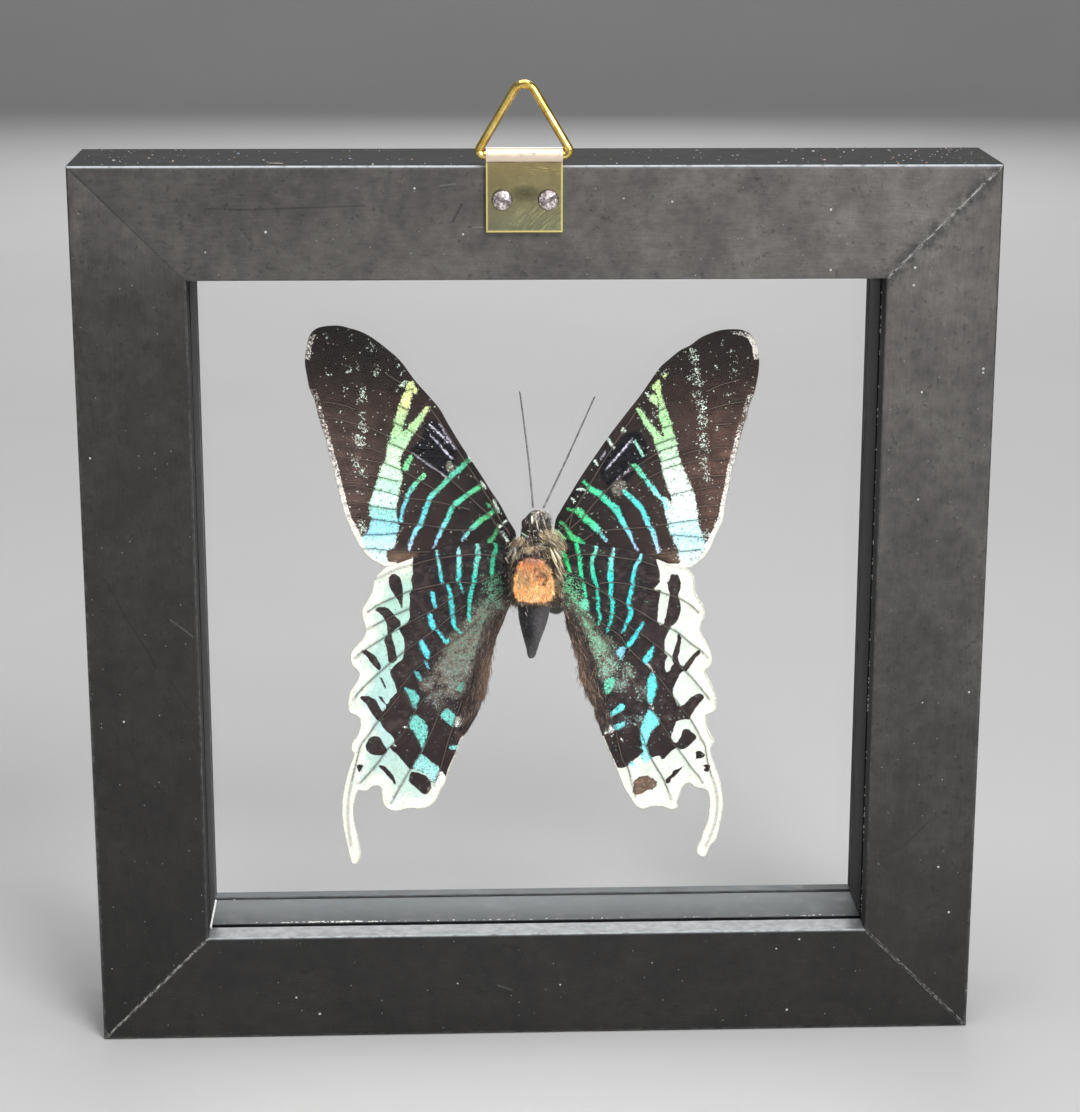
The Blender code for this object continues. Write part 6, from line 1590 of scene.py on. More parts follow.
def make_back_hair():
    """The upper side of the body: long dark hair with an olive gloss over the thorax, short scales on the abdomen."""
    rng = np.random.default_rng(58)
    n = 5200
    z = rng.uniform(75.8, 91.5, n)
    a = rng.uniform(0.04, 0.96, n) * math.pi
    root = skin(a, z, -0.1)
    clump = lumps(root, 0.8, 41, 2)
    normal = np.column_stack([np.cos(a), np.sin(a), np.zeros(n)])
    # each hair follows the body's surface down and back, a little lifted, and parts in locks
    length = rng.uniform(0.8, 2.0, n)
    tip = skin(a + rng.normal(0, 0.07, n) + 0.35 * lumps(root, 1.1, 42, 2), z - 0.92 * length, 0.10 + 0.45 * rng.random(n) * length / 2)
    bend = normal * (0.10 * length * rng.random(n))[:, None]
    tip[:, 1] = np.minimum(tip[:, 1], 6.2)
    colours = np.array([srgb(34, 28, 26), srgb(52, 44, 34), srgb(78, 84, 52), srgb(120, 106, 70)])
    tint = colours[rng.choice(4, n, p=[0.42, 0.27, 0.19, 0.12])] * np.clip(1.0 + 2.2 * clump, 0.2, 2.2)[:, None] * rng.uniform(0.6, 1.3, (n, 1))
    wide = rng.uniform(0.022, 0.045, n)
    m = 1800
    z = rng.uniform(65.6, 76.4, m)
    a = rng.uniform(0.0, 1.0, m) * math.pi
    low_root = skin(a, z, -0.05)
    normal = np.column_stack([np.cos(a), np.sin(a), np.zeros(m)])
    low_tip = low_root + (np.array([0, 0, -1.0]) * 0.9 + normal * rng.uniform(0.05, 0.22, m)[:, None]) * rng.uniform(0.25, 0.55, m)[:, None]
    ringed = np.clip(0.5 + 0.5 * np.cos(2 * math.pi * (z - 66.0) / 1.55), 0, 1)[:, None]
    low_tint = (srgb(30, 27, 27) * ringed + srgb(78, 82, 62) * (1 - ringed)) * rng.uniform(0.5, 1.4, (m, 1))
    bend = np.vstack([bend, np.zeros((m, 3))])
    V, F, owner = hairs(np.vstack([root, low_root]), np.vstack([tip, low_tip]), np.concatenate([wide, rng.uniform(0.02, 0.035, m)]), bend, 0.85)
    tint = np.clip(np.vstack([tint, low_tint]), 0.002, 1)
    return mesh_object("moth_back_hair", V, [F], [BODY_HAIR], colours={"tint": tint[owner]})


def make_rear_tufts():
    """The dark grey tufts at the hind end of the thorax, behind the hindwings."""
    rng = np.random.default_rng(31)
    parts, tints = [], []
    for centre, half, count, grey in (
        ((3.45, 1.95, 75.1), (1.75, 0.85, 1.9), 3200, 1.0),
        ((-3.3, 1.95, 76.2), (1.3, 0.85, 1.5), 1500, 0.75),
    ):
        c, h = np.array(centre), np.array(half)
        parts.append(ellipsoid(centre, half * np.array(0.93), 20, 28, 0.08, 4))
        tints.append(np.broadcast_to(srgb(46, 46, 45) * grey, (len(parts[-1][0]), 3)))
        d = unit(rng.normal(0, 1, (count, 3)))
        root = c + d * h * 0.88
        way = unit(d * 0.45 + np.array([0.15, 0, -0.9]) + rng.normal(0, 0.25, (count, 3)))
        tip = root + way * rng.uniform(0.35, 0.8, (count, 1))
        tip[:, 1] = np.maximum(tip[:, 1], 0.9)
        root[:, 1] = np.maximum(root[:, 1], 1.0)
        v, f, owner = hairs(root, tip, rng.uniform(0.018, 0.036, count), rng.normal(0, 0.06, (count, 3)), 0.9)
        parts.append((v, f))
        tone = srgb(84, 86, 82) * grey * rng.uniform(0.35, 1.5, (count, 1))
        tints.append(tone[owner])
    V, F, _ = joined(parts)
    return mesh_object("moth_rear_tufts", V, [F], [BODY_HAIR], colours={"tint": np.clip(np.vstack(tints), 0.002, 1)})


def make_antenna(name, route, seed):
    (x0, y0, z0), (x1, y1, z1), (x2, y2, z2) = route
    t = np.linspace(0, 1, 150)[:, None]
    path = (1 - t) ** 2 * np.array([[x0, y0, z0]]) + 2 * t * (1 - t) * np.array([[x1, y1, z1]]) + t * t * np.array([[x2, y2, z2]])
    t = t[:, 0]
    r = (0.185 - 0.05 * t) * (1 + 0.12 * np.cos(t * 150 * math.pi / 1.5))
    V, F = tube(path, r, 8)
    tt = np.concatenate([np.repeat(t, 8), [0, 1]])
    grain = lumps(V, 0.5, seed, 2)[:, None]
    tint = srgb(124, 120, 122) * (1 - tt)[:, None] + srgb(100, 96, 96) * tt[:, None]
    return mesh_object(name, V, [F], [ANTENNA], colours={"tint": np.clip(tint * (1 + 0.8 * grain), 0.01, 1)})


ANTENNA = hair_shader("antenna scales", 0.4, Specular_IOR_Level=0.5)

# ------------------------------------------------------- the dried glue
GLUE_X, GLUE_Z = -0.5, 80.4
GLUE_OUTLINE = [
    (-2.34, 84.3), (-0.8, 84.6), (0.73, 84.2), (1.76, 83.2), (2.44, 81.84), (2.96, 80.07), (3.05, 78.12), (2.28, 76.88),
    (0.39, 76.54), (-1.66, 76.56), (-3.38, 77.11), (-4.06, 78.54), (-3.97, 80.66), (-3.54, 82.6), (-3.02, 83.7),
]  # fmt: skip
_glue = curve_through(GLUE_OUTLINE, 0.1, closed=True) - [GLUE_X, GLUE_Z]
_glue_a = np.arctan2(_glue[:, 1], _glue[:, 0])
_glue_r = np.hypot(_glue[:, 0], _glue[:, 1])
_order = np.argsort(_glue_a)
_glue_a, _glue_r = _glue_a[_order], _glue_r[_order]


def glue_reach(a):
    """The glue's edge from its middle, by direction, a little ragged."""
    a = (a + np.pi) % (2 * np.pi) - np.pi
    r = np.interp(a, _glue_a, _glue_r, period=2 * np.pi)
    return r * (1 + 0.02 * np.sin(11 * a + 1) + 0.015 * np.sin(23 * a + 2) + 0.012 * np.sin(41 * a))


def glue_shader():
    s = Shader(
        "dried amber glue over matted hair", Specular_IOR_Level=0.6, Coat_Weight=0.5, Coat_Roughness=0.18,
        Subsurface_Weight=0.0,
    )
    at = s.place()
    fibre = s.noise(s.place((2.2, 1, 0.7), (0, 12, 0)), 2.4, 5.0, 0.65, 0.8)
    fine = s.noise(s.place((3.0, 1, 1.0), (0, -10, 0)), 4.0, 4.0, 0.7, 0.4)
    base = s.shade(s.colour("tint"), s.band(fibre, 0.3, 0.72, 0.55, 1.35))
    # painted highlights: bright gold flecks where the fine noise runs high
    painted_glint_flecks = s.band(fine, 0.56, 0.74)
    s.out("Base Color", s.mix(s.math("MULTIPLY", painted_glint_flecks, 0.6), base, srgb(255, 214, 140)))
    s.out("Roughness", s.band(fibre, 0.3, 0.7, 0.42, 0.24))
    s.out("Normal", s.bump(s.math("ADD", fibre, s.math("MULTIPLY", fine, 0.5)), 0.7, 0.12))
    return s.mat


GLUE = glue_shader()


def make_glue():
    """A wrinkled cake: its face lies on the glass, its rim is rounded and lumpy."""
    rings, sides = 60, 220
    a = 2 * math.pi * np.arange(sides) / sides
    V = [np.array([[GLUE_X, 0, GLUE_Z]])]
    for i in range(1, rings + 1):
        r = (i / rings) * glue_reach(a)
        V.append(np.column_stack([GLUE_X + r * np.cos(a), np.zeros(sides), GLUE_Z + r * np.sin(a)]))
    V = np.vstack(V)
    frac = np.concatenate([[0], np.repeat(np.arange(1, rings + 1) / rings, sides)])
    stretched = np.column_stack([V[:, 0] * 1.7, V[:, 1], V[:, 2] * 0.75])
    ridge = lumps(stretched, 0.8, 4, 4)
    fine = lumps(np.column_stack([V[:, 0] * 2.2, V[:, 1], V[:, 2]]), 0.35, 8, 3)
    x, z = V[:, 0], V[:, 2]

    def spot(cx, cz, rx, rz):
        return np.exp(-(((x - cx) / rx) ** 2) - ((z - cz) / rz) ** 2)

    ring = np.exp(-(((np.hypot((x - 0.85) / 0.95, (z - 81.0) / 1.15) - 1) / 0.25) ** 2))
    pit = spot(0.85, 81.0, 0.75, 0.9) + 0.9 * spot(-0.2, 82.8, 0.4, 0.35)
    y = -4.46 - 0.07 * ridge - 0.06 * fine - 0.05 * ring + 0.12 * pit
    y += 0.34 * np.clip((frac - 0.86) / 0.14, 0, 1) ** 2.2
    front = V.copy()
    front[:, 1] = np.clip(y, -4.62, -4.14)
    rear = V.copy()
    rear[:, 1] = -4.10
    n = len(V)
    V2 = np.vstack([front, rear])
    k = np.arange(sides)
    m = (k + 1) % sides
    F = [np.column_stack([np.zeros(sides, int), 1 + k, 1 + m])]
    for i in range(rings - 1):
        p, q = 1 + i * sides, 1 + (i + 1) * sides
        F.append(np.column_stack([p + k, q + k, q + m]))
        F.append(np.column_stack([p + k, q + m, p + m]))
    top = np.vstack(F)
    rim = 1 + (rings - 1) * sides
    side_faces = [
        np.column_stack([rim + m, rim + k, rim + k + n]),
        np.column_stack([rim + m, rim + k + n, rim + m + n]),
    ]
    F = np.vstack([top, top[:, ::-1] + n] + side_faces)
    # the tint mixes random tone with painted light and shade: orange to gold in lit spots where the hair in it catches
    # the light, brown as painted shade in the pit, down one side of the ring round it, along the upper edge and at the
    # rim
    light = 0.55 * ridge + 0.75 * fine + 0.16
    light += 0.62 * spot(-1.5, 79.4, 1.6, 1.0) + 0.55 * spot(0.4, 79.0, 1.0, 0.6) + 0.35 * spot(-0.6, 77.4, 2.6, 0.6)
    light += 0.30 * spot(-3.3, 80.0, 0.6, 2.2) + 0.28 * spot(2.3, 79.6, 0.8, 2.4)
    open_side = 1 / (1 + np.exp(-3 * ((x - 0.6) + 0.4 * (z - 80.8))))
    crescent = np.exp(-(((np.hypot((x - 0.85) / 0.95, (z - 80.9) / 1.25) - 0.85) / 0.2) ** 2)) * (0.25 + 0.75 * open_side)
    light -= 1.35 * crescent + 0.8 * spot(-0.35, 82.6, 0.45, 0.4) + 0.5 * spot(-2.7, 81.9, 0.5, 0.7)
    light -= 0.35 * pit + 0.75 * spot(-0.6, 84.3, 2.2, 0.75) + 0.35 * spot(1.6, 83.0, 0.9, 0.9) + 0.3 * np.clip((frac - 0.93) / 0.07, 0, 1)
    tint = fade(
        light,
        [(-0.75, srgb(92, 50, 32)), (-0.4, srgb(150, 80, 42)), (-0.05, srgb(204, 112, 54)), (0.3, srgb(232, 144, 72)), (0.65, srgb(248, 186, 104)), (1.1, srgb(255, 232, 170))],
    )
    mauve = (0.5 * spot(-0.6, 83.9, 2.0, 0.7))[:, None]
    tint = np.clip((tint * (1 - mauve) + srgb(140, 96, 80) * mauve) * 1.12, 0, 1)
    return mesh_object("glue_cake", V2, [F], [GLUE], colours={"tint": np.vstack([tint, tint])})


def make_glued_hair():
    """Golden hair caught in the glue, lying flat and fanning out at its rim."""
    rng = np.random.default_rng(9)
    n = 2100
    a = rng.uniform(0, 2 * math.pi, n)
    f = np.sqrt(rng.uniform(0.02, 1.0, n))
    r = f * glue_reach(a)
    root = np.column_stack([GLUE_X + r * np.cos(a), np.zeros(n), GLUE_Z + r * np.sin(a)])
    # the hair lies in swirls, mostly down and outwards
    swirl = 0.9 * lumps(root, 1.6, 21, 2)
    way = np.column_stack([0.25 * np.cos(a) * f + swirl + rng.normal(0, 0.25, n), np.zeros(n), -1 + 0.45 * np.sin(a) + rng.normal(0, 0.25, n)])
    tip = root + unit(way) * rng.uniform(0.25, 1.0, n)[:, None]
    edge = f > 0.9
    outward = np.column_stack([np.cos(a[edge]), 0 * a[edge], 0.6 * np.sin(a[edge]) - 0.5 + rng.normal(0, 0.3, edge.sum())])
    tip[edge] = root[edge] + unit(outward) * rng.uniform(0.25, 0.9, edge.sum())[:, None]
    within = np.hypot(tip[:, 0] - GLUE_X, tip[:, 2] - GLUE_Z) < 0.97 * glue_reach(np.arctan2(tip[:, 2] - GLUE_Z, tip[:, 0] - GLUE_X))
    tip = np.where((within | edge)[:, None], tip, root + (tip - root) * 0.35)
    root[:, 1] = np.where(edge, -4.3, -4.50)
    tip[:, 1] = np.where(edge, rng.uniform(-4.45, -3.9, n), rng.uniform(-4.60, -4.52, n))
    # few lie over the round pit and the brown upper edge
    hollow = (np.hypot(root[:, 0] - 0.85, (root[:, 2] - 80.9) / 1.2) < 1.15) | (root[:, 2] > 83.2) | (np.hypot(root[:, 0] + 0.35, root[:, 2] - 82.6) < 0.5)
    kept = edge | ~hollow | (rng.random(n) < 0.22)
    root, tip, edge, n = root[kept], tip[kept], edge[kept], int(kept.sum())
    V, F, owner = hairs(root, tip, rng.uniform(0.014, 0.034, n), np.column_stack([rng.normal(0, 0.12, n), np.zeros(n), rng.normal(0, 0.06, n)]), 0.9)
    V[:, 1] = np.maximum(V[:, 1], -4.64)
    pick = rng.random((n, 1))
    tint = np.where(pick < 0.36, srgb(244, 160, 84), np.where(pick < 0.72, srgb(255, 222, 158), np.where(pick < 0.87, srgb(255, 246, 214), srgb(150, 84, 44))))
    # painted light: the lower hairs are painted lighter
    low = np.clip((81 - root[:, 2:3]) / 3, 0, 1)
    tint = tint * (0.72 + 0.62 * low)
    side_hair = np.where(root[:, 0:1] > 0, srgb(236, 200, 146), srgb(150, 120, 92))
    tint = np.where(edge[:, None], side_hair * (0.5 + 0.6 * rng.random((n, 1))), tint)
    return mesh_object("glued_hair", V, [F], [BODY_HAIR], colours={"tint": tint[owner]})


body_shell = make_body_shell()
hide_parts("moth_body")
for obj in (body_shell, make_body_hair(), make_back_hair(), make_head(), make_rear_tufts()):
    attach(obj, "frame")
glue = make_glue()
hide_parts("glue_patch")
for obj in (glue, make_glued_hair()):
    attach(obj, "frame")
for name, route, seed in (
    ("left_antenna", [(-0.5, 0.4, 92.3), (-0.9, 0.2, 99.0), (-2.75, -0.3, 112.6)], 1),
    ("right_antenna", [(1.3, 0.4, 92.2), (5.2, 0.2, 100.5), (9.95, -0.3, 111.7)], 2),
):
    obj = make_antenna(name + "_shaft", route, seed)
    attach(obj, "frame")
    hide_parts(name)


# ======================================================= the frame, the panes and the hanger
HALF, RAIL, DEPTH = 76.0, 18.7, 24.0


def line_mask(s, xyz, points, width, blur):
    """1 on a broken line drawn through (x, z) points in mm on the frame's face, falling to 0 over `blur`."""
    best = None
    for (x0, z0), (x1, z1) in zip(points[:-1], points[1:]):
        dx, dz = x1 - x0, z1 - z0
        length = math.hypot(dx, dz)
        ux, uz = dx / length, dz / length
        px, pz = s.math("SUBTRACT", xyz[0], x0), s.math("SUBTRACT", xyz[2], z0)
        along = s.math("ADD", s.math("MULTIPLY", px, ux), s.math("MULTIPLY", pz, uz))
        over = s.math("SUBTRACT", along, s.math("MINIMUM", s.math("MAXIMUM", along, 0.0), length))
        off = s.math("SUBTRACT", s.math("MULTIPLY", px, uz), s.math("MULTIPLY", pz, ux))
        gap = s.math("MAXIMUM", s.math("ABSOLUTE", off), s.math("ABSOLUTE", over))
        best = gap if best is None else s.math("MINIMUM", best, gap)
    return s.band(best, width, width + blur, 1.0, 0.0)


# scratches on the face towards the hanger: (points, half width, how strong, 1 for pale or 0 for dark)
SCRATCHES = {
    "top": [
        ([(-53.8, 145.1), (-46.0, 144.9), (-38.6, 145.2), (-28.1, 145.5)], 0.05, 0.5, 0),
        ([(-13.9, 143.0), (-13.2, 144.2), (-12.5, 145.6)], 0.12, 0.6, 0),
        ([(-15.9, 148.7), (-13.5, 149.0)], 0.05, 0.3, 1),
        ([(-10.6, 142.0), (-8.8, 142.0)], 0.06, 0.4, 1),
        ([(-48.5, 141.6), (-47.0, 139.4)], 0.05, 0.10, 1),
    ],
    "left": [
        ([(-72.4, 83.3), (-70.9, 80.3), (-69.5, 77.2), (-67.9, 74.5), (-67.0, 72.8), (-65.4, 70.1), (-64.5, 67.8)], 0.06, 0.6, 0),
        ([(-62.2, 65.7), (-60.0, 61.6), (-57.7, 58.5)], 0.06, 0.5, 0),
        ([(-61.8, 76.2), (-59.7, 74.6), (-58.1, 73.2)], 0.05, 0.2, 1),
    ],
    "right": [([(67.7, 38.5), (65.5, 36.2), (63.5, 34.0)], 0.06, 0.5, 0)],
    "bottom": [([(-7.0, 9.2), (-4.6, 8.3)], 0.06, 0.2, 1)],
}


# painted sheen: how much lighter the face is painted along each rail, where the light's reflection falls: (axis, from,
# to, level there, level here)
FACE_SHEEN = {
    "top": (0, -70.0, 74.0, 2.0, 4.0),
    "right": (2, 8.0, 146.0, 0.55, 3.5),
    "left": (2, 8.0, 150.0, 0.34, 1.3),
    "bottom": (0, -70.0, 70.0, 0.52, 0.50),
}


def wood_shader(side):
    """Satin black paint on fine-grained wood, rubbed at the edges, with dust in it."""
    s = Shader(f"satin black painted wood, {side} rail", Specular_IOR_Level=0.4)
    level = side in ("top", "bottom")
    at = s.place()
    xyz = s.add("ShaderNodeSeparateXYZ", {"Vector": at}).outputs
    across, up = s.math("ABSOLUTE", xyz[0]), s.math("ABSOLUTE", s.math("SUBTRACT", xyz[2], HALF))
    reach = s.math("MAXIMUM", across, up)  # 57.3 at the opening, 76 at the outside
    on_face = s.band(xyz[1], -DEPTH / 2 + 0.25, -DEPTH / 2 + 0.05)
    clouds = s.noise(at, 0.10, 5.0, 0.62)
    mottle = s.noise(at, 0.42, 5.0, 0.62)
    grain = s.noise(s.place((0.18, 1, 1.6) if level else (1.6, 1, 0.18)), 1.6, 5.0, 0.7)
    fine = s.noise(at, 7.0, 3.0, 0.6)
    # painted sheen: the face is painted greyer towards the top and the right, where the light's reflection falls
    paint = s.mix(s.band(clouds, 0.36, 0.66), srgb(45, 43, 42), srgb(58, 56, 54))
    along, low, high, least_level, most_level = FACE_SHEEN[side]
    painted_sheen = s.band(xyz[along], low, high, least_level, most_level)
    if side == "left":
        # painted sheen: lighter still near the top of the left stile
        painted_sheen = s.math("ADD", painted_sheen, s.band(xyz[2], 130.0, 147.0, 0.0, 1.7))
    paint = s.shade(paint, s.blend(on_face, 0.8, painted_sheen))
    # painted shade: the side walls of the opening are painted darker, as they hardly catch any light
    wall = s.math("MULTIPLY", s.band(across, HALF - RAIL + 0.6, HALF - RAIL + 0.3), 0.0 if level else 0.72)
    wall = s.math("MULTIPLY", wall, s.band(xyz[1], -DEPTH / 2 + 0.1, -DEPTH / 2 + 0.6))
    paint = s.shade(paint, s.math("SUBTRACT", 1.0, wall))
    paint = s.shade(paint, s.band(mottle, 0.3, 0.7, 0.74, 1.22))
    paint = s.shade(paint, s.band(grain, 0.3, 0.7, 0.84, 1.14))
    paint = s.shade(paint, s.band(fine, 0.3, 0.7, 0.80, 1.20))
    dark_spot = s.band(s.noise(at, 0.8, 4.0, 0.65), 0.60, 0.68)
    paint = s.shade(paint, s.math("SUBTRACT", 1.0, s.math("MULTIPLY", dark_spot, 0.42)))
    # rubbed long edges, broken up by noise
    outer = s.band(reach, HALF - 0.75, HALF - 0.15)
    inner = s.band(reach, HALF - RAIL + 0.45, HALF - RAIL + 0.0)
    front = s.band(s.math("ABSOLUTE", xyz[1]), DEPTH / 2 - 0.8, DEPTH / 2 - 0.2)
    rub = s.math("MULTIPLY", s.math("MAXIMUM", outer, inner), front)
    rub = s.math("MULTIPLY", rub, s.band(s.noise(at, 0.7, 5.0, 0.7), 0.42, 0.7))
    colour = s.mix(s.math("MULTIPLY", rub, 0.55), paint, srgb(128, 127, 127))
    # chipped paint and smudges beside the mitres
    mitre = s.math("MULTIPLY", s.math("ABSOLUTE", s.math("SUBTRACT", across, up)), 0.7071)
    right_side = s.band(xyz[0], 40.0, 50.0)
    low = s.band(xyz[2], 60.0, 40.0)
    here = s.math("MULTIPLY", s.math("MAXIMUM", right_side, low), on_face)
    chipped = s.math("MULTIPLY", s.band(mitre, 0.34, 0.16), s.band(s.noise(at, 1.5, 4.0, 0.7), 0.47, 0.56))
    chipped = s.math("MULTIPLY", chipped, here)
    top_right = s.math("MULTIPLY", right_side, s.band(xyz[2], 100.0, 120.0))
    smudge = s.math("MULTIPLY", s.band(mitre, 2.8, 0.3), s.band(s.noise(at, 0.5, 4.0, 0.7), 0.40, 0.58))
    smudge = s.math("MULTIPLY", s.math("MULTIPLY", smudge, top_right), on_face)
    colour = s.shade(colour, s.math("SUBTRACT", 1.0, s.math("MULTIPLY", smudge, 0.68)))
    colour = s.mix(s.math("MULTIPLY", chipped, 0.62), colour, srgb(170, 168, 166))
    for points, width, strength, pale in SCRATCHES[side]:
        mask = s.math("MULTIPLY", s.math("MULTIPLY", line_mask(s, xyz, points, width, 0.14), on_face), strength)
        mask = s.math("MULTIPLY", mask, s.band(grain, 0.25, 0.6, 0.5, 1.0))
        colour = s.mix(mask, colour, srgb(150, 149, 150) if pale else srgb(16, 16, 16))
    # dust and pale specks: most of all on the top
    upward = s.band(xyz[2], 151.6, 151.95)
    for scale, most_dots, least_dots, size, strength, tint in ((0.5, 0.87, 0.72, 0.11, 0.85, 205), (1.5, 0.92, 0.80, 0.14, 0.7, 170), (3.2, 0.94, 0.86, 0.17, 0.5, 150)):
        cell = s.cells(at, scale)
        rnd = s.split(cell.outputs["Color"])
        start = s.blend(upward, most_dots, least_dots)
        wide = s.math("MULTIPLY", s.math("GREATER_THAN", rnd[0], start), s.band(rnd[1], 0, 1, 0.35 * size, size))
        dot = s.math("LESS_THAN", cell.outputs["Distance"], wide)
        colour = s.mix(s.math("MULTIPLY", dot, strength), colour, srgb(tint, tint, tint + 2))
    # painted shade: the top face is painted darker in mottled patches
    colour = s.shade(colour, s.blend(upward, 1.0, s.band(mottle, 0.35, 0.65, 0.30, 0.62)))
    lip = sill = 0.0
    if side == "bottom":
        # painted sheen: the lip in front of the back pane is painted light grey
        lip = s.math("MULTIPLY", s.band(xyz[2], RAIL - 0.3, RAIL - 0.1), s.band(xyz[1], -6.6, -6.9))
        colour = s.mix(s.math("MULTIPLY", lip, 0.8), colour, s.mix(s.band(mottle, 0.4, 0.6), srgb(96, 100, 102), srgb(128, 132, 134)))
        # painted sheen: the sill behind the back pane is painted grey, lighter towards the front pane
        sill = s.math("MULTIPLY", s.band(xyz[2], RAIL - 0.3, RAIL - 0.1), s.band(xyz[1], -6.9, -6.6))
        painted_sill_sheen = s.mix(s.band(mottle, 0.36, 0.64), srgb(62, 66, 68), srgb(94, 99, 101))
        painted_sill_sheen = s.shade(painted_sill_sheen, s.band(xyz[1], -3.0, 5.0, 0.95, 1.9))
        colour = s.mix(s.math("MULTIPLY", sill, 0.6), colour, painted_sill_sheen)
        # painted highlight: a pale line along the lip's front edge
        arris_highlight = s.math("MULTIPLY", s.band(xyz[2], RAIL - 0.22, RAIL - 0.04), s.band(xyz[1], -11.45, -11.75))
        arris_highlight = s.math("MULTIPLY", arris_highlight, s.band(s.noise(at, 0.6, 3.0, 0.6), 0.35, 0.55, 0.2, 1.0))
        colour = s.mix(s.math("MULTIPLY", arris_highlight, 0.75), colour, srgb(196, 202, 206))
    if side == "top":
        # painted highlight: a pale line along the top's edge on the hanger's side
        arris_highlight = s.math("MULTIPLY", s.band(xyz[2], 151.55, 151.8), s.band(xyz[1], -11.45, -11.75))
        arris_highlight = s.math("MULTIPLY", arris_highlight, s.band(s.noise(at, 0.6, 3.0, 0.6), 0.3, 0.5, 0.45, 1.0))
        colour = s.mix(s.math("MULTIPLY", arris_highlight, 0.9), colour, srgb(214, 220, 226))
    s.out("Base Color", colour)
    rough = s.band(clouds, 0.3, 0.7, 0.50, 0.40)
    rough = s.math("ADD", rough, s.math("MULTIPLY", s.math("SUBTRACT", grain, 0.5), 0.2))
    edge = s.math("MULTIPLY", s.math("MAXIMUM", outer, inner), front)
    rough = s.blend(edge, rough, 0.26)
    rough = s.blend(upward, rough, 0.85)
    rough = s.math("MAXIMUM", rough, s.math("MULTIPLY", wall, 1.1))
    rough = s.blend(lip, rough, 0.3)
    rough = s.blend(sill, rough, s.band(mottle, 0.36, 0.64, 0.42, 0.85))
    s.out("Roughness", rough)
    height = s.math("ADD", s.math("MULTIPLY", grain, 0.6), s.math("MULTIPLY", fine, 0.25))
    height = s.math("ADD", height, s.math("MULTIPLY", mottle, 0.5))
    s.out("Normal", s.bump(height, 0.28, 0.12))
    return s.mat


def groove_shader():
    s = Shader("raw wood and old filler in the mitres", Specular_IOR_Level=0.2)
    at = s.place()
    n = s.noise(at, 1.3, 5.0, 0.7)
    s.out("Base Color", s.mix(s.band(n, 0.42, 0.58), srgb(60, 60, 60), srgb(226, 226, 222)))
    s.out("Roughness", s.band(n, 0.3, 0.7, 0.9, 0.7))
    s.out("Normal", s.bump(n, 0.5, 0.1))
    return s.mat


def glass_material():
    s = Shader(
        "clear picture glass", Base_Color=(1.0, 1.0, 1.0), Roughness=0.0, IOR=1.45, Transmission_Weight=1.0,
        Specular_IOR_Level=0.5, Specular_Tint=(0.22, 0.22, 0.22),
    )
    return s.mat


def strap_shader():
    """Brass plate, tarnished olive, smudged between the screws, with painted highlights along its sides, foot and
    knuckle, and light scratches.
    """
    s = Shader("scratched brass plate", Metallic=1.0)
    at = s.place()
    xyz = s.add("ShaderNodeSeparateXYZ", {"Vector": at}).outputs
    clouds = s.noise(at, 0.35, 4.0, 0.6)
    brushed = s.noise(s.place((0.25, 1, 3.2)), 2.2, 4.0, 0.7)
    turned = s.add("ShaderNodeCombineXYZ", {
        "X": s.math("MULTIPLY", s.math("ADD", xyz[0], xyz[2]), 0.28),
        "Y": xyz[1],
        "Z": s.math("MULTIPLY", s.math("SUBTRACT", xyz[0], xyz[2]), 2.6),
    }).outputs[0]
    slant = s.noise(turned, 0.9, 4.0, 0.75)
    level = s.band(xyz[2], 141.3, 153.4)
    base = s.mix(level, srgb(138, 138, 112), srgb(164, 148, 104))
    base = s.shade(base, s.band(clouds, 0.35, 0.65, 0.82, 1.16))
    base = s.shade(base, s.band(brushed, 0.3, 0.7, 0.9, 1.1))
    smudge_x = s.math("POWER", s.math("DIVIDE", s.math("ADD", xyz[0], 2.0), 2.6), 2.0)
    smudge_z = s.math("POWER", s.math("DIVIDE", s.math("SUBTRACT", xyz[2], 147.6), 1.3), 2.0)
    smudge = s.math("ADD", smudge_x, smudge_z)
    smudge = s.band(s.math("ADD", smudge, s.math("MULTIPLY", clouds, 1.2)), 0.4, 2.0, 1.0, 0.0)
    base = s.mix(s.math("MULTIPLY", smudge, 0.75), base, srgb(58, 66, 48))
    low = s.math("MULTIPLY", s.band(xyz[2], 146.0, 145.0), s.band(xyz[0], -6.5, -3.5))
    scars = s.math("MULTIPLY", s.band(slant, 0.50, 0.62), low)
    base = s.mix(s.math("MULTIPLY", scars, 0.6), base, srgb(196, 198, 150))
    high = s.math("MULTIPLY", s.band(xyz[2], 150.6, 151.4), s.band(xyz[2], 152.6, 151.8))
    scars = s.math("MULTIPLY", s.band(brushed, 0.56, 0.66), s.math("MULTIPLY", high, s.band(xyz[0], -3.0, -1.0)))
    base = s.mix(s.math("MULTIPLY", scars, 0.8), base, srgb(240, 226, 170))
    # painted highlight: bright gold along the sides and the foot
    side = s.band(s.math("ABSOLUTE", s.math("SUBTRACT", xyz[0], -2.3)), 5.86, 6.04)
    foot = s.band(xyz[2], 141.7, 141.45)
    edge = s.math("MAXIMUM", side, foot)
    base = s.mix(edge, base, srgb(246, 228, 150))
    # painted highlight: the knuckle is painted near white
    painted_knuckle_highlight = s.band(xyz[2], 152.3, 152.8)
    base = s.mix(painted_knuckle_highlight, base, srgb(255, 236, 214))
    s.out("Base Color", base)
    rough = s.band(clouds, 0.3, 0.7, 0.36, 0.24)
    s.out("Roughness", s.blend(edge, rough, 0.3))
    s.out("Normal", s.bump(s.math("ADD", brushed, s.math("MULTIPLY", slant, 0.6)), 0.10, 0.05))
    return s.mat


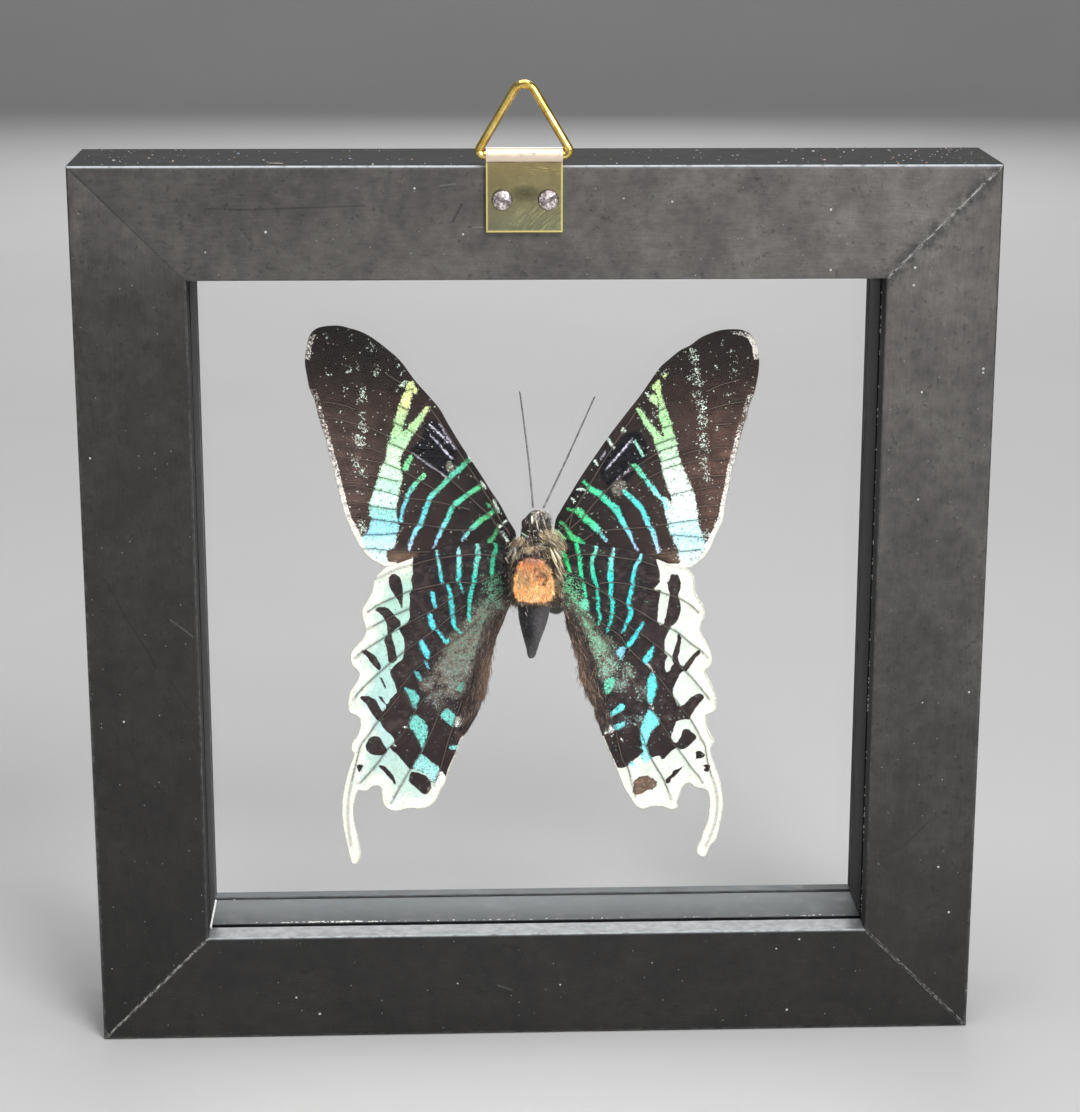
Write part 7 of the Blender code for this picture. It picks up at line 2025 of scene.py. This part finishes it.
def wire_shader():
    s = Shader("bright brass wire", Metallic=1.0)
    at = s.place()
    clouds = s.noise(at, 0.8, 4.0, 0.6)
    fine = s.noise(at, 4.0, 3.0, 0.6)
    s.out("Base Color", s.mix(s.band(clouds, 0.38, 0.66), srgb(214, 176, 84), srgb(250, 226, 140)))
    s.out("Roughness", s.band(clouds, 0.3, 0.7, 0.24, 0.14))
    s.out("Normal", s.bump(s.math("ADD", clouds, s.math("MULTIPLY", fine, 0.3)), 0.12, 0.05))
    return s.mat


def plated_shader():
    """A cheap plated slotted head: bright and hammered, with painted shade down in the slot."""
    s = Shader("bright plated screw", Metallic=1.0)
    at = s.place()
    xyz = s.add("ShaderNodeSeparateXYZ", {"Vector": at}).outputs
    n = s.noise(at, 1.7, 4.0, 0.75)
    pits = s.noise(at, 2.4, 2.0, 0.5)
    colour = s.mix(s.band(n, 0.40, 0.56), srgb(150, 132, 134), srgb(255, 246, 244))
    colour = s.shade(colour, s.band(pits, 0.36, 0.46, 0.45, 1.0))
    # painted shade: the slot is painted dark towards its bottom
    slot = s.band(xyz[1], -13.75, -13.62)
    colour = s.mix(s.math("MULTIPLY", slot, 0.8), colour, srgb(70, 58, 58))
    s.out("Base Color", colour)
    s.out("Roughness", s.band(n, 0.3, 0.7, 0.5, 0.28))
    s.out("Normal", s.bump(s.math("ADD", n, pits), 0.35, 0.10))
    return s.mat


def black_shader():
    s = Shader("black shadow line of the groove", Specular_IOR_Level=0.1)
    n = s.noise(s.place(), 1.0, 3.0)
    s.out("Base Color", s.mix(n, srgb(8, 8, 9), srgb(20, 19, 19)))
    s.out("Roughness", s.band(n, 0.3, 0.7, 0.9, 0.7))
    return s.mat


def bead_shader():
    s = Shader("dried clear glue", Specular_IOR_Level=0.6, Coat_Weight=0.4, Coat_Roughness=0.1)
    n = s.noise(s.place(), 1.8, 3.0)
    s.out("Base Color", s.mix(n, srgb(176, 178, 178), srgb(244, 242, 232)))
    s.out("Roughness", s.band(n, 0.3, 0.7, 0.5, 0.25))
    return s.mat


WOOD = {side: wood_shader(side) for side in ("top", "bottom", "left", "right")}
GLASS = glass_material()
BRASS, WIRE = strap_shader(), wire_shader()
BLACK, BEAD = black_shader(), bead_shader()
PLATED = plated_shader()


def dress(node, mat):
    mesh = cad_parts[node].data
    if not mesh.materials:
        mesh.materials.append(mat)
    for i in range(len(mesh.materials)):
        mesh.materials[i] = mat


for node, side in (("bottom_rail", "bottom"), ("left_stile", "left"), ("top_rail", "top"), ("right_stile", "right")):
    dress(node, WOOD[side])
for node in ("back_glass", "front_glass"):
    dress(node, GLASS)
    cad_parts[node].visible_shadow = False
dress("hanger_strap", BRASS)
dress("hanger_ring", WIRE)
dress("screw_left", PLATED)
dress("screw_right", PLATED)


def make_mitre(name, sx, sz, recess, seed, material):
    """The sliver of raw wood and filler that shows in a mitre joint: a thin ragged wall on the diagonal."""
    rng = np.random.default_rng(seed)
    steps = 110
    d = np.linspace(HALF - RAIL + 0.15, HALF - 0.12, steps)
    ragged = recess[0] + (recess[1] - recess[0]) * rng.random(steps)
    soft = np.convolve(np.pad(ragged, 1, mode="edge"), [0.25, 0.5, 0.25], mode="valid")
    round_off = np.clip(0.7 - (HALF - d), 0, 0.7) ** 2 * 0.7
    y_front = -DEPTH / 2 + soft + round_off + 0.02
    y_rear = np.where(d < 61.6, -7.05, DEPTH / 2 - 0.1 - round_off)
    t = 0.055
    V = []
    for y in (y_front, y_rear):
        for s in (-1, 1):
            V.append(np.column_stack([sx * (d + s * t * 0.7), y, HALF + sz * (d - s * t * 0.7)]))
    V = np.vstack(V)
    i = np.arange(steps - 1)
    A, B, C, D = i, i + steps, i + 2 * steps, i + 3 * steps  # front -, front +, rear -, rear +
    quads = [
        np.column_stack([A, A + 1, B + 1, B]),
        np.column_stack([C, D, D + 1, C + 1]),
        np.column_stack([A, C, C + 1, A + 1]),
        np.column_stack([B, B + 1, D + 1, D]),
        np.array([[0, steps, 3 * steps, 2 * steps], [steps - 1, 3 * steps - 1, 4 * steps - 1, 2 * steps - 1][:1] + [3 * steps - 1, 4 * steps - 1, 2 * steps - 1]]),
    ]
    F = np.vstack(quads)
    if sx * sz < 0:
        F = F[:, ::-1]
    return mesh_object(name, V, [F], [material], smooth=False)


def boxes(spans):
    """Boxes from (low corner, high corner) pairs, as one mesh."""
    V, F = [], []
    for low, high in spans:
        corners = np.array([[(low, high)[i][0], (low, high)[j][1], (low, high)[k][2]] for i in (0, 1) for j in (0, 1) for k in (0, 1)])
        base = 8 * len(V)
        V.append(corners)
        F += [[base + i for i in q] for q in ((0, 1, 3, 2), (4, 6, 7, 5), (0, 4, 5, 1), (2, 3, 7, 6), (0, 2, 6, 4), (1, 5, 7, 3))]
    return np.vstack(V), np.array(F)


def around(y0, y1, inside, outside):
    """Four strips round the opening between two depths, from `inside` to `outside` mm from the frame's middle."""
    c = HALF
    return [
        ((-outside, y0, c - outside), (outside, y1, c - inside)),
        ((-outside, y0, c + inside), (outside, y1, c + outside)),
        ((-outside, y0, c - inside), (-inside, y1, c + inside)),
        ((inside, y0, c - inside), (outside, y1, c + inside)),
    ]


FILLER = groove_shader()
made = []
for name, sx, sz, recess, seed, material in (
    ("mitre_filler_top_right", 1, 1, (0.0, 0.10), 1, FILLER),
    ("mitre_filler_top_left", -1, 1, (0.0, 0.012), 2, WOOD["top"]),
    ("mitre_filler_bottom_left", -1, -1, (0.0, 0.2), 3, FILLER),
    ("mitre_filler_bottom_right", 1, -1, (0.02, 0.7), 4, FILLER),
):
    made.append(make_mitre(name, sx, sz, recess, seed, material))

# painted shadow: thin black strips on both faces of the back pane's edge stand in for the shade of the groove, a dark
# line round the opening seen through the pane
V, F = boxes(around(-4.62, -4.53, 57.42, 61.0))
made.append(mesh_object("pane_edge_black", V, [F], [BLACK], smooth=False))
V, F = boxes(around(-6.78, -6.67, 57.50, 61.0))
made.append(mesh_object("pane_edge_black_outer", V, [F], [BLACK], smooth=False))
# the front pane is bedded flush with putty painted like the frame
V, F = boxes(around(7.02, 7.13, 57.31, 61.0) + around(9.17, 9.28, 57.31, 61.0))
made.append(mesh_object("pane_bedding", V, [F], [WOOD["bottom"]], smooth=False))


def make_beads():
    """Squeezed-out glue: beads along the back pane on the sill, and a pale line in the lower left corner, a painted
    highlight for the glint of the glass edge.
    """
    rng = np.random.default_rng(6)
    parts = []
    low = RAIL
    for i in range(120):
        x = rng.normal(-35, 6.5) if i < 75 else rng.uniform(-56.8, 56.8)
        if abs(x) > 56.9:
            continue
        near = math.exp(-(((x + 34) / 8) ** 2))
        r = rng.uniform(0.05, 0.11) + 0.10 * near * rng.random()
        y = -4.35 + rng.uniform(-0.05, 0.35)
        wide = rng.uniform(1.0, 2.4)
        parts.append(ellipsoid((x, y, low + 0.25 * r), (r * wide, r, r * 0.6), 6, 9, 0.08, int(rng.integers(1000))))
    for _ in range(60):
        z = rng.uniform(20, 131)
        r = rng.uniform(0.07, 0.17)
        parts.append(ellipsoid((HALF - RAIL - 0.25 * r, -7.05 - rng.uniform(0, 0.3), z), (r * 0.6, r, r * rng.uniform(1, 2)), 6, 9, 0.08, int(rng.integers(1000))))
    # painted highlight: a pale line of bead down the lower left corner
    path = curve_through([(-57.16, -7.2, 18.84), (-57.2, -3.0, 18.86), (-57.15, 2.0, 18.9), (-57.2, 6.7, 18.85)], 0.25)
    parts.append(tube(path, 0.16 + 0.07 * rng.random(len(path)), 10))
    V, F, _ = joined(parts)
    return mesh_object("squeezed_glue", V, [F], [BEAD])


def make_dust():
    """Grains of dust and a short fibre, lying on the top of the frame."""
    rng = np.random.default_rng(12)
    parts, tints = [], []
    shades = [srgb(212, 208, 204), srgb(196, 170, 160), srgb(176, 186, 200), srgb(150, 146, 142), srgb(120, 118, 116)]
    for _ in range(210):
        # thickest towards the two ends
        x = rng.uniform(-74, 74) if rng.random() < 0.45 else rng.choice([-1, 1]) * (74 - abs(rng.normal(0, 18)))
        r = 0.07 + 0.13 * rng.random() ** 2.2
        y = rng.uniform(-11.3, 11.3)
        parts.append(ellipsoid((x, y, 152.0 + 0.45 * r), (r * rng.uniform(0.8, 1.5), r, r * rng.uniform(0.6, 0.9)), 6, 8, 0.12, int(rng.integers(1000))))
        tints.append(np.broadcast_to(shades[int(rng.integers(5))], (len(parts[-1][0]), 3)))
    path = curve_through([(-43.6, -9.4, 152.08), (-42.9, -9.9, 152.14), (-42.0, -9.7, 152.1), (-41.2, -9.9, 152.08)], 0.12)
    parts.append(tube(path, 0.07, 7))
    tints.append(np.broadcast_to(srgb(196, 186, 176), (len(parts[-1][0]), 3)))
    V, F, _ = joined(parts)
    return mesh_object("dust_on_the_top", V, [F], [DUST], colours={"tint": np.vstack(tints)})


DUST = hair_shader("dust", 0.75, Specular_IOR_Level=0.2)
made.append(make_beads())
made.append(make_dust())
for obj in made:
    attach(obj, "frame")


# ======================================================= floor, light and camera
def make_floor():
    """A pale floor that sweeps up behind."""
    profile = [(-2.5, 0.0), (1.6, 0.0)]
    profile += [(1.6 + 0.9 * math.sin(a), 0.9 - 0.9 * math.cos(a)) for a in np.linspace(0, math.pi / 2, 24)[1:]]
    profile += [(2.5, 3.0)]
    V = np.array([(x, y, z) for y, z in profile for x in (-3.5, 3.5)]) * 1000
    F = [(2 * i, 2 * i + 1, 2 * i + 3, 2 * i + 2) for i in range(len(profile) - 1)]
    s = Shader("pale studio floor", Roughness=0.9, Specular_IOR_Level=0.1)
    n = s.noise(s.place(), 0.004, 3.0)
    s.out("Base Color", s.mix(s.band(n, 0.3, 0.7), (0.60, 0.60, 0.60), (0.63, 0.63, 0.63)))
    return mesh_object("studio_floor", V, [F], [s.mat])


floor = make_floor()


def soft_light(name, at, look, size, watts, tint=(1, 1, 1)):
    data = bpy.data.lights.new(name, "AREA")
    data.shape, data.size, data.energy, data.color = "DISK", size, watts, tint
    obj = bpy.data.objects.new(name, data)
    SCENE.collection.objects.link(obj)
    obj.location = at
    obj.rotation_euler = (Vector(look) - Vector(at)).to_track_quat("-Z", "Y").to_euler()
    return obj


soft_light("key", (0.40, -0.85, 0.95), (0, 0, 0.09), 0.55, 8.6)
soft_light("left_fill", (-0.80, -0.95, 0.5), (0, 0, 0.08), 0.7, 1.6)
soft_light("low_right", (0.42, -1.15, 0.30), (0.02, 0, 0.10), 0.42, 3.2)
soft_light("overhead", (0.0, -0.10, 1.15), (0, 0, 0.05), 0.8, 5.0)
soft_light("behind", (0.05, 1.25, 0.62), (0, 0, 0.05), 0.8, 4.6)
world = bpy.data.worlds.new("soft studio")
SCENE.world = world
world.use_nodes = True
world.node_tree.nodes["Background"].inputs[0].default_value = (1.0, 1.0, 1.0, 1.0)
world.node_tree.nodes["Background"].inputs[1].default_value = 0.2

FOCAL, CENTRE_X, CENTRE_Y, WIDE, HIGH = 2918.42, 575.0, 640.0, 1080, 1112
camera_data = bpy.data.cameras.new("camera")
camera = bpy.data.objects.new("camera", camera_data)
SCENE.collection.objects.link(camera)
camera_data.sensor_fit = "HORIZONTAL"
camera_data.sensor_width = 36.0
camera_data.lens = FOCAL / WIDE * 36.0
camera_data.shift_x = (WIDE / 2 - CENTRE_X) / WIDE
camera_data.shift_y = (CENTRE_Y - HIGH / 2) / WIDE
camera_data.clip_start, camera_data.clip_end = 0.01, 20


def turn(axis, angle):
    c, s = math.cos(angle), math.sin(angle)
    if axis == "x":
        return np.array([[1, 0, 0], [0, c, -s], [0, s, c]])
    if axis == "y":
        return np.array([[c, 0, s], [0, 1, 0], [-s, 0, c]])
    return np.array([[c, -s, 0], [s, c, 0], [0, 0, 1]])


R = turn("z", -0.04865647) @ turn("x", -0.28175822) @ turn("y", -0.00395302)  # columns: right, ahead, up
place = np.eye(4)
place[:3, 0], place[:3, 1], place[:3, 2] = R[:, 0], R[:, 2], -R[:, 1]
place[:3, 3] = np.array([-16.86, -486.15, 209.44]) * MM
camera.matrix_world = Matrix([[float(v) for v in row] for row in place])
SCENE.camera = camera

bpy.context.view_layer.update()
